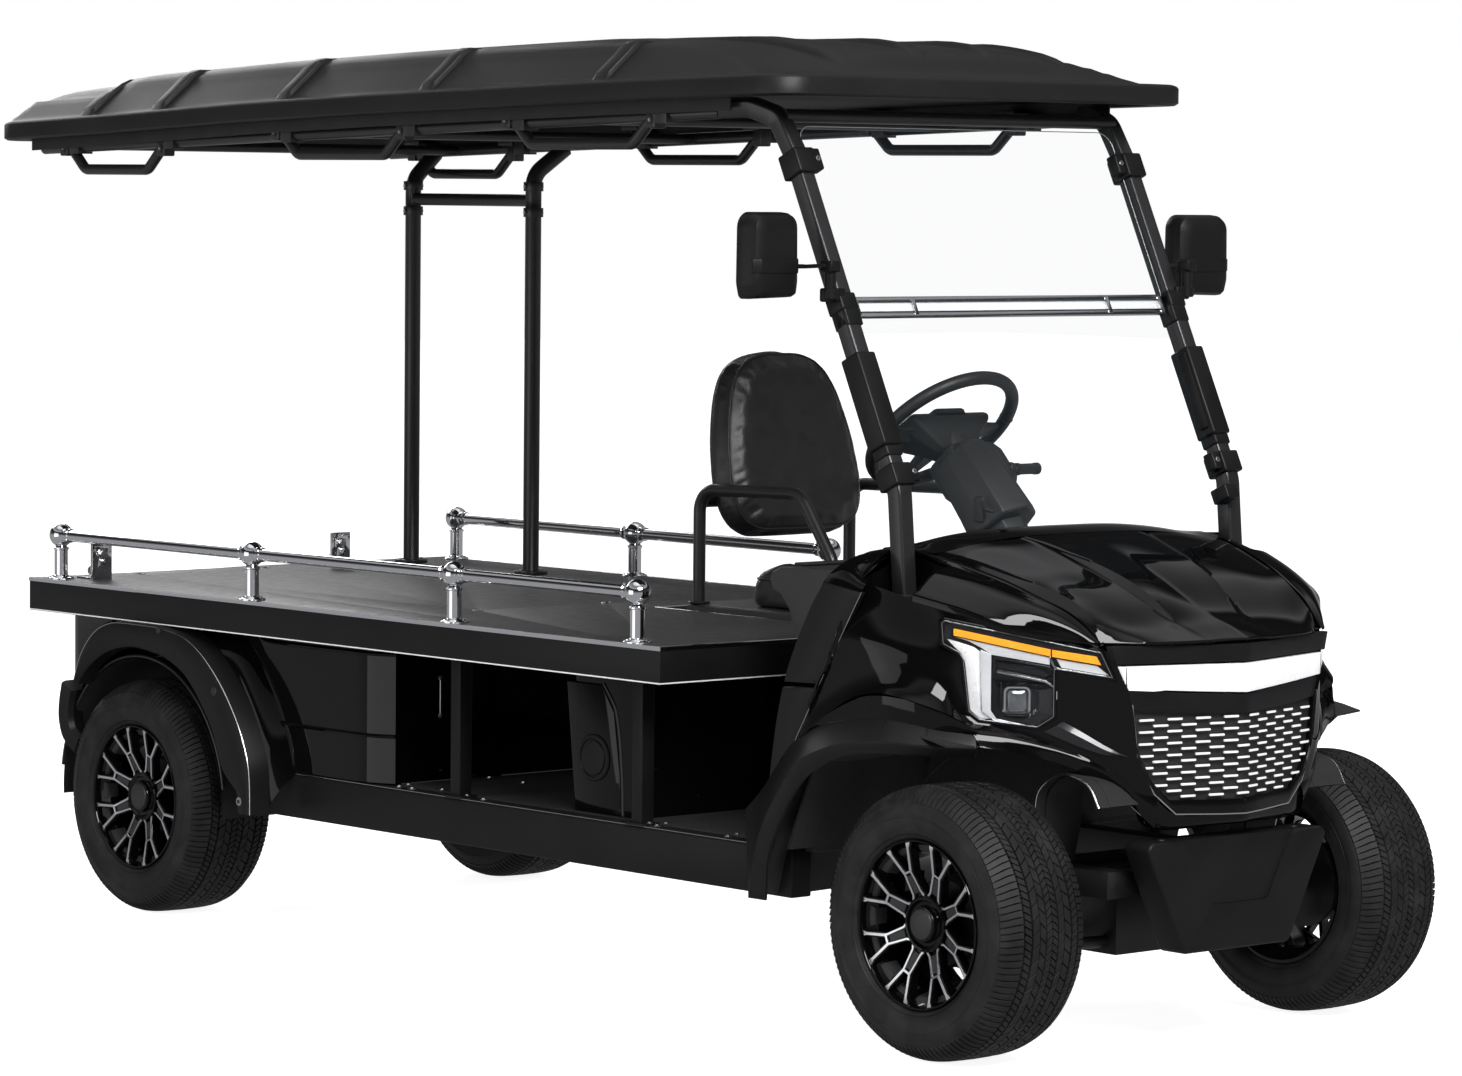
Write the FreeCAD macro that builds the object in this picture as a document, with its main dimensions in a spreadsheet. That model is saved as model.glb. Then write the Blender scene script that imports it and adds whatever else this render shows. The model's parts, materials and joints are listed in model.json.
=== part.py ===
# Open-sided electric hearse: a low cart with a canopy, one driver's seat and a long flat casket deck.
# Millimetres, +Z up, the nose towards -Y and the vehicle's left side towards +X. The origin is on the
# ground under the middle of the vehicle. Stations are lengths measured backwards from the front axle.
import FreeCAD, Part
import math
import os
import re
import Sketcher
from FreeCAD import Placement, Rotation, Vector

SIZES = {
    # running gear; stations behind the rear axle are the wheelbase plus a size named "behind"
    "front_axle_y": -1608,
    "wheelbase": 2848,
    "half_track": 551.5,
    "tyre_radius": 292,
    "tyre_width": 250,
    "bead_radius": 178,
    "rim_wall": 18,
    "rim_half": 112,
    "rim_lip": 8,
    "spoke_face": 62,
    "spoke_thick": 20,
    "window_inner": 74,
    "window_outer": 158,
    "hub_radius": 46,
    "cap_radius": 30,
    "cap_face": 76,
    "spindle_radius": 22,
    "spindle_end": 12,
    "running_gap": 0.1,
    "kingpin_x": 455,
    "kingpin_radius": 20,
    "eye_high": 30.7,
    "eye_radius": 22,
    "lower_eye": -85,
    "upper_eye": 64.3,
    "lower_root": 26,
    "upper_root": 37,
    "arm_radius": 13,
    "arm_spread": 70,
    "axle_radius": 36,
    "motor_radius": 84,
    "case_radius": 92,
    "leaf_thick": 6,
    "leaf_half": 420,
    "seat_gap": 0.3,
    # ladder frame, floor and sills
    "rail_x": 230,
    "rail_wide": 60,
    "rail_low": 335,
    "rail_high": 57,
    "member_wide": 50,
    "member_inset": 4,
    "cradle_half": 170,
    "cradle_low": 196,
    "cradle_long": 200,
    "horn_x": 100,
    "horn_wide": 40,
    "frame_front": -190,
    "frame_behind": 342,
    "floor_thick": 12,
    "floor_front": 430,
    "toe_lean": 130,
    "toe_top": 700,
    "sill_outer": 598,
    "sill_wide": 40,
    "sill_low": 292,
    "sill_high": 107,
    "sill_front_gap": 91,
    "sill_rear_gap": 38,
    # lower body
    "pedestal_half": 545,
    "pedestal_front": 1014,
    "pedestal_rear": 1290,
    "pedestal_toe": 24,
    "pedestal_round": 40,
    "body_half": 598,
    "body_ahead": 943,
    "body_behind": 402,
    "body_wall": 6,
    "corner_round": 60,
    "arch_gap": 58,
    "arch_depth": 185,
    "battery_long": 360,
    "battery_high": 240,
    # casket deck
    "deck_top": 815,
    "deck_deep": 83,
    "deck_skin": 5,
    "deck_half": 675,
    "deck_front": 815,
    "deck_step": 1660,
    "deck_inner": 40,
    "deck_behind": 449,
    "rib_wide": 40,
    "post_side": 36,
    "post_x": 580,
    "bier_x": -180,
    "bier_station": 2530,
    "bier_hole_x": 400,
    "bier_hole_y": 1400,
    "bier_hole_radius": 6.5,
    "bier_stop_behind": 292,
    "bier_stop_wide": 60,
    "bier_stop_high": 92,
    "bier_stop_thick": 8,
    # chrome rails on the deck
    "stanchion_inset": 35,
    "stanchion_first": 119,
    "stanchion_second": 775,
    "stanchion_third": 1568,
    "stanchion_end": 49,
    "stanchion_last": 91,
    "ball_height": 112,
    "ball_radius": 30,
    "stanchion_radius": 18.5,
    "foot_radius": 34,
    "foot_high": 8,
    "deck_rail_radius": 14.5,
    "deck_rail_over": 12,
    # nose
    "nose_tip": -314,
    "nose_half": 300,
    "nose_sweep": 66,
    "cheek_x": 480,
    "cheek": -160,
    "lamp_x": 590,
    "lamp_side": 30,
    "lamp_low": 721.5,
    "lamp_high": 201,
    "lamp_deep": 45,
    "lamp_gap": 0.5,
    "fender_half": 640,
    "fender_station": 180,
    "cowl_skin": 5,
    "cowl_rear": 522,
    "hood_tip": -290,
    "hood_half": 330,
    "hood_gap": 3,
    "hood_low": 900,
    "windshield_foot": 190,
    "band_half": 315,
    "band_sweep": 88,
    "band_thick": 10,
    "band_low": 776,
    "band_high": 44,
    "grille_half": 284,
    "grille_low_half": 200,
    "grille_low": 549,
    "grille_top": 740,
    "grille_thick": 8,
    "front_arch_gap": 78,
    "front_flare_wide": 28,
    "flare_half": 700,
    "flare_lap": 8,
    "flare_low": 301,
    "rear_flare_gap": 12,
    "rear_flare_wide": 70,
    "rear_flare_low": 319,
    "liner_thick": 4,
    "liner_inner": 400,
    "flap_low": 290,
    "bumper_half": 284,
    "bumper_low_half": 163,
    "bumper_top": 462,
    "bumper_low": 219,
    "bumper_face": -295,
    "bumper_deep": 75,
    "bumper_skin": 12,
    "bumper_round": 18,
    "dash_gap": 3,
    "dash_skin": 8,
    # windshield, pillars and canopy
    "pillar_x": 507,
    "pillar_radius": 22,
    "pillar_slope": 25.5,
    "pillar_knee": 1180,
    "pillar_knee_station": 232,
    "pillar_foot": 959,
    "pillar_foot_station": 213,
    "pillar_bend": 60,
    "clamp_high": 46,
    "clamp_long": 60,
    "head_bar_drop": 39,
    "head_bar_radius": 16,
    "pane_side_gap": 29,
    "pane_thick": 5,
    "pane_round": 22,
    "pane_low": 1108,
    "pane_split": 1568,
    "pane_gap": 14,
    "pane_drop": 61,
    "hinge_thick": 16,
    "roof_half": 640,
    "roof_front": 479,
    "roof_behind": 684,
    "roof_rim_front": 2021,
    "roof_rim_high": 50,
    "roof_crown_high": 98,
    "roof_crown_inset": 38,
    "roof_skin": 6,
    "roof_slope": 1.73,
    "roof_corner": 110,
    "roof_lip": 120,
    "roof_rail_x": 560,
    "roof_rail_radius": 14,
    "roof_rail_behind": 552,
    "cross_bar_radius": 13,
    "rail_drop": 24,
    "rail_join": 760,
    "handle_drop": 30,
    "handle_deep": 56,
    "handle_slant": 70,
    "handle_bend": 34,
    "handle_radius": 13,
    "ladder_x": 470,
    "ladder_radius": 21,
    "ladder_ahead": 171,
    "ladder_behind": 338,
    "ladder_rung": 1788,
    "rung_radius": 16,
    "mirror_x": 662,
    "mirror_station": 483,
    "mirror_height": 1680,
    "mirror_wide": 150,
    "mirror_deep": 62,
    "mirror_high": 186,
    "mirror_edge": 16,
    "mirror_turn": 8,
    "mirror_glass_thick": 2,
    # driver's place
    "seat_x": 320,
    "seat_half": 222,
    "seat_top_half": 118,
    "seat_base_margin": 38,
    "cushion_rise": 203,
    "cushion_thick": 105,
    "cushion_front": 1030,
    "cushion_round": 45,
    "back_rise": 65,
    "back_high": 452,
    "back_thick": 78,
    "back_foot": 1440,
    "back_lean": 12.4,
    "armrest_radius": 15,
    "armrest_rise": 175,
    "armrest_bend": 55,
    "bar_rise": 140,
    "wheel_x": 300,
    "wheel_station": 950,
    "wheel_height": 1266,
    "wheel_tilt": 43,
    "wheel_ring": 185,
    "wheel_grip": 16,
    "boss_radius": 48,
    "boss_high": 46,
    "boss_low": -34,
    "bore_deep": 24,
    "shaft_radius": 14,
    "cover_wide": 150,
    "cover_deep": 130,
    "cover_long": 330,
    "cover_drop": 62,
    "cover_round": 20,
    "stalk_radius": 9,
    "stalk_long": 80,
}

doc = FreeCAD.newDocument("Hearse")
sheet = doc.addObject("Spreadsheet::Sheet", "Sizes")
for row, (name, number) in enumerate(SIZES.items(), start=1):
    sheet.set(f"A{row}", name)
    sheet.set(f"B{row}", str(number))
    sheet.setAlias(f"B{row}", name)
doc.recompute()

nodes = []
NAMES = re.compile(r"\b(" + "|".join(SIZES) + r")\b")


def size(name):
    return float(sheet.get(name))


def bind(thing, prop, formula):
    thing.setExpression(prop, NAMES.sub(r"Sizes.\1", str(formula)))


def at(station):
    """Formula of the Y of a station."""
    return f"front_axle_y + {station}"


def y_of(station):
    return size("front_axle_y") + station


def behind(name):
    """Formula of a station that is given as a length behind the rear axle."""
    return f"(wheelbase + {name})"


def ahead(name):
    return f"(wheelbase - ({name}))"


FLOOR_TOP = "(rail_low + rail_high + floor_thick)"
SILL_TOP = "(sill_low + sill_high)"
DECK_LOW = "(deck_top - deck_deep)"
FRONT_ARCH = "(tyre_radius + front_arch_gap)"
REAR_ARCH = "(tyre_radius + arch_gap)"
TOE_STATION = "(floor_front - toe_lean)"
SILL_FRONT = f"({FRONT_ARCH} + sill_front_gap)"
CUSHION_TOP = f"({DECK_LOW} + cushion_rise)"
BACK_LOW = f"({CUSHION_TOP} + back_rise)"
PANE_HALF = "(pillar_x - pane_side_gap)"
DASH_HALF = "(pillar_x - pillar_radius - dash_gap)"


def place(thing, x=0, y=0, z=0):
    for axis, formula in zip("xyz", (x, y, z)):
        bind(thing, f"Placement.Base.{axis}", formula)
    return thing


def turn(thing, axis, angle):
    thing.Placement.Rotation = Rotation(axis, 1)
    bind(thing, "Placement.Rotation.Angle", angle)
    return thing


def node(thing, label):
    """Marks an object as one sub-part: its label names its file."""
    thing.Label = label
    nodes.append(thing)
    return thing


# ---- primitives bound to the sheet

def box(x, y, z, wide, long, high):
    """x, y, z are the low corner; wide, long, high run along X, Y, Z."""
    thing = doc.addObject("Part::Box", "Box")
    for prop, formula in (("Length", wide), ("Width", long), ("Height", high)):
        bind(thing, prop, formula)
    return place(thing, x, y, z)


def centred_box(half_x, y, z, long, high):
    return box(f"-({half_x})", y, z, f"2 * ({half_x})", long, high)


def rod(x, y, z, radius, length, along="Z"):
    """Cylinder from x, y, z towards the plus side of an axis."""
    thing = doc.addObject("Part::Cylinder", "Rod")
    bind(thing, "Radius", radius)
    bind(thing, "Height", length)
    if along == "X":
        thing.Placement.Rotation = Rotation(Vector(0, 1, 0), 90)
    if along == "Y":
        thing.Placement.Rotation = Rotation(Vector(1, 0, 0), -90)
    return place(thing, x, y, z)


def ball(x, y, z, radius):
    thing = doc.addObject("Part::Sphere", "Ball")
    bind(thing, "Radius", radius)
    return place(thing, x, y, z)


def fuse(*things):
    joined = doc.addObject("Part::MultiFuse", "Fuse")
    joined.Shapes = list(things)
    return joined


def cut(base, *tools):
    result = doc.addObject("Part::Cut", "Cut")
    result.Base = base
    result.Tool = tools[0] if len(tools) == 1 else fuse(*tools)
    return result


def common(first, second):
    result = doc.addObject("Part::Common", "Common")
    result.Base = first
    result.Tool = second
    return result


def mirrored(thing):
    other = doc.addObject("Part::Mirroring", "Mirror")
    other.Source = thing
    other.Normal = Vector(1, 0, 0)
    return other


def together(*things):
    """Solids of one node that don't touch."""
    group = doc.addObject("Part::Compound", "Group")
    group.Links = list(things)
    return group


def both_sides(thing):
    return together(thing, mirrored(thing))


def plain(shape):
    thing = doc.addObject("Part::Feature", "Form")
    thing.Shape = shape
    return thing


# ---- sketched bodies

def plane_of(body, role):
    return next(item for item in body.Origin.OriginFeatures if item.Role == role)


def outline(body, plane, points, offset="0"):
    """Closed outline whose corners' two coordinates are formulas."""
    sketch = body.newObject("Sketcher::SketchObject", "Outline")
    sketch.AttachmentSupport = (plane_of(body, plane), [""])
    sketch.MapMode = "FlatFace"
    bind(sketch, "AttachmentOffset.Base.z", offset)
    count = len(points)
    ring = [Vector(100 * math.cos(2 * math.pi * i / count), 100 * math.sin(2 * math.pi * i / count), 0)
            for i in range(count)]
    for i in range(count):
        sketch.addGeometry(Part.LineSegment(ring[i], ring[(i + 1) % count]), False)
    for i in range(count):
        sketch.addConstraint(Sketcher.Constraint("Coincident", i, 2, (i + 1) % count, 1))
    for i, (across, up) in enumerate(points):
        for kind, formula in (("DistanceX", across), ("DistanceY", up)):
            which = sketch.addConstraint(Sketcher.Constraint(kind, i, 1, 10.0 + i))
            bind(sketch, f"Constraints[{which}]", formula)
    return sketch


def slab(plane, points, start, depth):
    """Outline drawn on a plane and padded from start, along the plus side of the plane's axis.
    XY runs along Z; XZ runs along Y; YZ runs along X."""
    body = doc.addObject("PartDesign::Body", "Body")
    flipped = plane == "XZ_Plane"
    sketch = outline(body, plane, points, f"-({start})" if flipped else start)
    pad = body.newObject("PartDesign::Pad", "Pad")
    pad.Profile = sketch
    pad.Reversed = flipped
    bind(pad, "Length", depth)
    return body


def edges_along(shape, axis, where=lambda middle: True):
    names = []
    for i, edge in enumerate(shape.Edges, start=1):
        ends = [vertex.Point for vertex in edge.Vertexes]
        if len(ends) == 2 and abs((ends[1] - ends[0]).normalize().dot(axis)) > 0.999:
            if where((ends[0] + ends[1]) / 2):
                names.append(f"Edge{i}")
    return names


def rounded(body, axis, radius, where=lambda middle: True):
    """Rounds the edges of a body that run along an axis."""
    doc.recompute()
    last = body.Tip
    soft = body.newObject("PartDesign::Fillet", "Round")
    soft.Base = (last, edges_along(last.Shape, axis, where))
    bind(soft, "Radius", radius)
    return body


def turned(points, centre):
    """Ring about an axis along X: points are (distance along X, radius)."""
    body = doc.addObject("PartDesign::Body", "Body")
    sketch = outline(body, "XZ_Plane", points)
    ring = body.newObject("PartDesign::Revolution", "Turn")
    ring.Profile = sketch
    ring.ReferenceAxis = (plane_of(body, "X_Axis"), [""])
    return place(body, *centre)


X, Y, Z = Vector(1, 0, 0), Vector(0, 1, 0), Vector(0, 0, 1)


def tube(points, bend, radius):
    """Round bar along straight runs joined by tangent arcs."""
    points = [Vector(*point) for point in points]
    edges, start = [], points[0]
    for before, corner, after in zip(points, points[1:], points[2:]):
        back, ahead = (before - corner).normalize(), (after - corner).normalize()
        half = back.getAngle(ahead) / 2
        reach = bend / math.tan(half)
        first, last = corner + back * reach, corner + ahead * reach
        middle = corner + (back + ahead).normalize() * (bend / math.sin(half) - bend)
        edges += [Part.LineSegment(start, first).toShape(), Part.Arc(first, middle, last).toShape()]
        start = last
    edges.append(Part.LineSegment(start, points[-1]).toShape())
    ring = Part.Wire([Part.makeCircle(radius, points[0], (points[1] - points[0]).normalize())])
    return Part.Wire(edges).makePipeShell([ring], True, False)


def lengthwise_edges(shape, way):
    """Edges whose direction is mostly the way given."""
    return [edge for edge in shape.Edges if abs(edge.tangentAt(edge.FirstParameter).dot(way)) > 0.9]


# ---- chassis

def chassis_frame():
    rear = behind("frame_behind")
    rails = [box(x, at("frame_front"), "rail_low", "rail_wide", f"{rear} - frame_front", "rail_high")
             for x in ("rail_x", "-rail_x - rail_wide")]
    stations = ("frame_front", "-cradle_long / 2", "cradle_long / 2 - member_wide", "pedestal_front + 100",
                ahead("body_ahead - 20"), ahead("leaf_half"), f"{rear} - member_wide")
    members = [centred_box("rail_x + 1", at(station), "rail_low + member_inset", "member_wide",
                           "rail_high - 2 * member_inset") for station in stations]
    cradle = centred_box("cradle_half", at("-cradle_long / 2"), "cradle_low", "cradle_long",
                         "rail_low - cradle_low + 10")
    horn_start = "(bumper_face + bumper_deep)"
    horn_long = f"frame_front + 10 - {horn_start}"
    horns = [box(x, at(horn_start), "rail_low + 8", "horn_wide", horn_long, "horn_wide")
             for x in ("horn_x", "-horn_x - horn_wide")]
    return node(fuse(*rails, *members, cradle, *horns), "chassis_frame")


def floor_pan():
    """Flat floor on the rails, with a toe board that leans forward to the cowl."""
    floor = centred_box("sill_outer - sill_wide", at("floor_front"), f"{FLOOR_TOP} - floor_thick",
                        f"{ahead('body_ahead')} - floor_front", "floor_thick")
    profile = [(at("floor_front"), FLOOR_TOP), (at("floor_front + floor_thick"), FLOOR_TOP),
               (at(f"{TOE_STATION} + floor_thick"), "toe_top"), (at(TOE_STATION), "toe_top")]
    half = "(fender_half - cowl_skin)"
    toe_board = slab("YZ_Plane", profile, f"-{half}", f"2 * {half}")
    return node(fuse(floor, toe_board), "floor_pan")


def side_sills():
    rear = ahead(f"{REAR_ARCH} + sill_rear_gap")
    sill = box("sill_outer - sill_wide", at(SILL_FRONT), "sill_low", "sill_wide",
               f"{rear} - {SILL_FRONT}", "sill_high")
    return node(both_sides(sill), "side_sills")


def seat_pedestal():
    """Hollow box under the seat whose front leans forward above the toe kick."""
    half, front, rear, wall = "pedestal_half", "pedestal_front", "pedestal_rear", "body_wall"
    toe = f"{front} + pedestal_toe"
    profile = [(at(toe), FLOOR_TOP), (at(rear), FLOOR_TOP), (at(rear), DECK_LOW), (at(front), DECK_LOW)]
    outer = rounded(slab("YZ_Plane", profile, f"-{half}", f"2 * {half}"), Z, "pedestal_round",
                    lambda middle: middle.y > y_of(size(rear)) - 5)
    inner = centred_box(f"{half} - {wall}", at(f"{toe} + {wall}"), FLOOR_TOP,
                        f"{rear} - ({toe}) - 2 * {wall}", f"{DECK_LOW} - {FLOOR_TOP} - {wall}")
    return node(cut(outer, inner), "seat_pedestal")


def body_box(wall):
    """The rear body's plan, drawn in by a wall."""
    low_y, high_y = at(f"{ahead('body_ahead')} + {wall}"), at(f"{behind('body_behind')} - {wall}")
    half = f"body_half - {wall}"
    return [(f"-({half})", low_y), (half, low_y), (half, high_y), (f"-({half})", high_y)]


def rear_body():
    """Thin walled box over the rear axle, with housings that keep its inside clear of the wheels."""
    high = f"({DECK_LOW} - {SILL_TOP})"
    shell = rounded(slab("XY_Plane", body_box("0"), SILL_TOP, high), Z, "corner_round")
    cavity = rounded(slab("XY_Plane", body_box("body_wall"), f"{SILL_TOP} - 1", f"{high} - body_wall + 1"),
                     Z, "corner_round - body_wall")
    shell = cut(shell, cavity)
    housings, holes = [], []
    for start, inner in (("body_half - arch_depth", "body_half - arch_depth - body_wall"),
                         ("-body_half + 1", "-body_half + 1")):
        outer = rod(inner, at("wheelbase"), "tyre_radius", f"{REAR_ARCH} + body_wall",
                    "arch_depth + body_wall - 1", "X")
        above = box(f"{inner} - 20", at(f"wheelbase - {REAR_ARCH} - 50"), SILL_TOP, "arch_depth + 60",
                    f"2 * {REAR_ARCH} + 100", high)
        housings.append(common(outer, above))
        hole_start = start if inner != start else "-body_half - 20"
        holes.append(rod(hole_start, at("wheelbase"), "tyre_radius", REAR_ARCH, "arch_depth + 20", "X"))
    return node(cut(fuse(shell, *housings), *holes), "rear_body")


def deck_posts():
    """Columns: middle along x, station and foot."""
    rows = (("-post_x", "deck_front + 167", SILL_TOP), ("-post_x", "deck_step - 23", SILL_TOP),
            ("post_x", "deck_step + 50", SILL_TOP), ("-20", "deck_front + 40", FLOOR_TOP))
    posts = [box(f"{x} - post_side / 2", at(f"{station} - post_side / 2"), foot, "post_side", "post_side",
                 f"{DECK_LOW} - {foot}") for x, station, foot in rows]
    return node(together(*posts), "deck_posts")


# ---- casket deck

DECK_CORNERS = (("-deck_half", "deck_front", 1, 1), ("deck_inner", "deck_front", -1, 1),
                ("deck_inner", "deck_step", -1, 1), ("deck_half", "deck_step", -1, 1),
                ("deck_half", behind("deck_behind"), -1, -1), ("-deck_half", behind("deck_behind"), 1, -1))


def deck_outline(inset):
    """Corner columns: x, station, and the way inwards along x and y."""
    return [(f"{x} + {inward_x} * {inset}", at(f"{station} + {inward_y} * {inset}"))
            for x, station, inward_x, inward_y in DECK_CORNERS]


def deck():
    """Sheet tray with cross ribs under it and four tapped holes for the bier's pins."""
    tray = cut(slab("XY_Plane", deck_outline("0"), DECK_LOW, "deck_deep"),
               slab("XY_Plane", deck_outline("deck_skin"), f"{DECK_LOW} - 1", "deck_deep - deck_skin + 1"))
    ribs = []
    for station, right_end in (
            ("deck_front + 40", "deck_inner"), ("deck_front + 167", "deck_inner"),
            ("pedestal_front + 130", "deck_inner"), ("deck_step - 23", "deck_inner"),
            ("deck_step + 50", "deck_half"), (ahead("body_ahead - 200"), "deck_half"),
            (ahead("60"), "deck_half"), (behind("body_behind - 60"), "deck_half")):
        ribs.append(box("-deck_half + 2", at(f"{station} - rib_wide / 2"), DECK_LOW,
                        f"deck_half + {right_end} - 4", "rib_wide", "deck_deep - 2"))
    holes = [rod(f"bier_x {way_x} bier_hole_x / 2", at(f"bier_station {way_y} bier_hole_y / 2"),
                 f"{DECK_LOW} - 5", "bier_hole_radius", "deck_deep + 10")
             for way_x in "-+" for way_y in "-+"]
    return node(cut(fuse(tray, *ribs), *holes), "deck")


def stanchion_rail(x, stations):
    """One run of posts with ball tops and a rail through the balls."""
    pieces = []
    top = "deck_top + ball_height"
    first, last = stations[0], stations[-1]
    for station in stations:
        y = at(station)
        pieces.append(rod(x, y, "deck_top", "foot_radius", "foot_high"))
        pieces.append(rod(x, y, "deck_top", "stanchion_radius", "ball_height"))
        pieces.append(ball(x, y, top, "ball_radius"))
    pieces.append(rod(x, at(f"{first} - deck_rail_over"), top, "deck_rail_radius",
                      f"{last} - ({first}) + 2 * deck_rail_over", "Y"))
    return fuse(*pieces)


def deck_rails():
    x, last = "deck_half - stanchion_inset", behind("deck_behind - stanchion_last")
    right = stanchion_rail(f"-({x})", ["deck_front + stanchion_first", "deck_front + stanchion_second",
                                       "deck_front + stanchion_third", last])
    left_first = "deck_step + stanchion_end"
    left = stanchion_rail(x, [left_first, f"({left_first} + {last}) / 2", last])
    return node(together(right, left), "deck_rails")


def bier_stops():
    """Upright plates with a foot and a clamp knob that keep a casket from sliding back."""
    stops = []
    station = behind("bier_stop_behind")
    foot_high, foot_long, hole_radius, knob_radius = 6, 70, 9, 11
    for x in ("bier_x - 380", "bier_x + 380"):
        low_x = f"{x} - bier_stop_wide / 2"
        foot = box(low_x, at(station), "deck_top", "bier_stop_wide", foot_long, foot_high)
        plate = box(low_x, at(station), "deck_top", "bier_stop_wide", "bier_stop_thick", "bier_stop_high")
        hole = rod(x, at(f"{station} - 10"), "deck_top + 55", hole_radius, 30, "Y")
        knob = rod(x, at(f"{station} + bier_stop_thick - 1"), "deck_top + 20", knob_radius, 34, "Y")
        stops.append(fuse(cut(fuse(foot, plate), hole), knob))
    return node(together(*stops), "bier_stops")


# ---- nose

def cowl_side_profile(inset):
    """Side outline of the nose without its arches: station, height, and the way inwards."""
    rows = ((522, 375, -1, 1), (395, 375, 0, 1), (-60, 640, 0, 1), (-235, 486, 0, 1), (-300, 486, 1, 1),
            (-318, 560, 1, 0), (-318, 800, 1, 0), (-226, 880, 1, -1), (-199, 912, 1, -1),
            (-76, 985, 1, -1), (24, 1030, 1, -1), (148, 1072, 0, -1), (250, 1094, 0, -1),
            (300, 1040, -1, -1), (381, 881, -1, 0), (434, 770, -1, 0), (480, 636, -1, 0))
    return [(at(f"{s} + {in_y} * {inset}"), f"{z} + {in_z} * {inset}") for s, z, in_y, in_z in rows]


def cowl_plan(inset):
    half = (("nose_half", "nose_tip + nose_sweep"), ("cheek_x", "cheek"), ("lamp_x", "lamp_side"),
            ("fender_half", "fender_station"), ("fender_half", "cowl_rear + 10"))
    right = [(f"-({x}) + {inset}", at(f"{s} + {inset}")) for x, s in half]
    left = [(f"{x} - {inset}", at(f"{s} + {inset}")) for x, s in reversed(half)]
    return [("0", at(f"nose_tip + {inset}"))] + left[::-1] + right[::-1]


def cowl_front_view(inset):
    half = ((221, 486, 0, 1), (320, 575, -1, 1), (560, 655, -1, 1), (645, 370, -1, 0), (645, 930, -1, -1),
            (590, 1000, -1, -1), (505, 1054, 0, -1), (300, 1080, 0, -1), (90, 1096, 0, -1))
    left = [(f"{x} + {in_x} * {inset}", f"{z} + {in_z} * {inset}") for x, z, in_x, in_z in half]
    right = [(f"-({x} + {in_x} * {inset})", f"{z} + {in_z} * {inset}") for x, z, in_x, in_z in half]
    return left + right[::-1]


def cowl_block(inset):
    side = slab("YZ_Plane", cowl_side_profile(inset), "-fender_half - 10", "2 * fender_half + 20")
    plan = slab("XY_Plane", cowl_plan(inset), 200, 1000)
    front = slab("XZ_Plane", cowl_front_view(inset), at(-400), 1000)
    return common(common(side, plan), front)


def front_cowl():
    """One moulded skin: both fenders, the nose and the scuttle round the hood."""
    shell = cut(cowl_block("0"), cowl_block("cowl_skin"))
    arch = rod("-fender_half - 20", "front_axle_y", "tyre_radius", f"{FRONT_ARCH} - flare_lap",
               "2 * fender_half + 40", "X")
    open_rear = centred_box("fender_half - cowl_skin", at("windshield_foot + 10"), 300, 400, "toe_top + 40")
    hood_hole = slab("XY_Plane", hood_outline("hood_gap"), "hood_low", 300)
    grille_hole = slab("XZ_Plane", grille_corners("0.5"), at(-400), 200)
    lamp_holes = [lamp_block(side, "lamp_gap") for side in (1, -1)]
    pillar_holes = [rod(x, at("pillar_foot_station + 9"), 900, "pillar_radius + 8", 240)
                    for x in ("pillar_x", "-pillar_x")]
    tools = [arch, open_rear, hood_hole, grille_hole, band_slot()] + lamp_holes + pillar_holes
    return node(cut(shell, *tools), "front_cowl")


def hood_outline(gap):
    half = ((f"hood_half + {gap}", f"-185 - {gap}"), (f"hood_half + 90 + {gap}", 30),
            (f"hood_half + 110 + {gap}", f"windshield_foot + {gap}"))
    left = [(x, at(s)) for x, s in half]
    right = [(f"-({x})", at(s)) for x, s in half]
    return [("0", at(f"hood_tip - {gap}"))] + left + right[::-1]


def hood():
    shell = cut(cowl_block("0"), cowl_block("cowl_skin"))
    above = slab("XY_Plane", hood_outline(0), "hood_low", 300)
    return node(common(shell, above), "hood")


def lamp_block(side, gap):
    """Upright block over a headlight's corner of the nose."""
    x1, x2 = f"nose_half + 22 - {gap}", f"lamp_x + 40 + {gap}"
    front, rear = at(-300), at(f"lamp_side + {gap}")
    points = [(x1, front), (x2, front), (x2, rear), (f"{x1} + 90", at(f"-60 + {gap}"))]
    if side < 0:
        points = [(f"-({x})", y) for x, y in points][::-1]
    return slab("XY_Plane", points, f"lamp_low - {gap}", f"lamp_high + 2 * {gap}")


def headlights():
    skin = cut(cowl_block("0"), cowl_block("lamp_deep"))
    return node(together(*[common(skin, lamp_block(side, 0)) for side in (1, -1)]), "headlights")


def grille_corners(gap):
    top, low = f"grille_top + {gap}", f"grille_low - {gap}"
    return [(f"-grille_half - {gap}", top), (f"grille_half + {gap}", top),
            (f"grille_low_half + {gap}", low), (f"-grille_low_half - {gap}", low)]


def chevron(half, front, sweep, thick, low, high):
    """Upright V plate whose point leads at a station."""
    face = [(f"-{half}", at(f"{front} + {sweep}")), ("0", at(front)), (half, at(f"{front} + {sweep}"))]
    back = [(half, at(f"{front} + {sweep} + {thick}")), ("0", at(f"{front} + {thick}")),
            (f"-{half}", at(f"{front} + {sweep} + {thick}"))]
    return slab("XY_Plane", face + back, low, high)


def grille():
    """V-shaped mesh panel that fills the opening of the nose."""
    panel = chevron("nose_half", "nose_tip + 1", "nose_sweep", "grille_thick", "grille_low - 49",
                    "grille_top - grille_low + 109")
    return node(common(panel, slab("XZ_Plane", grille_corners("0"), at(-400), 200)), "grille")


def nose_band():
    """Bright V across the nose above the grille."""
    band = chevron("band_half", "nose_tip", "band_sweep", "band_thick", "band_low", "band_high")
    return node(band, "nose_band")


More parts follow.
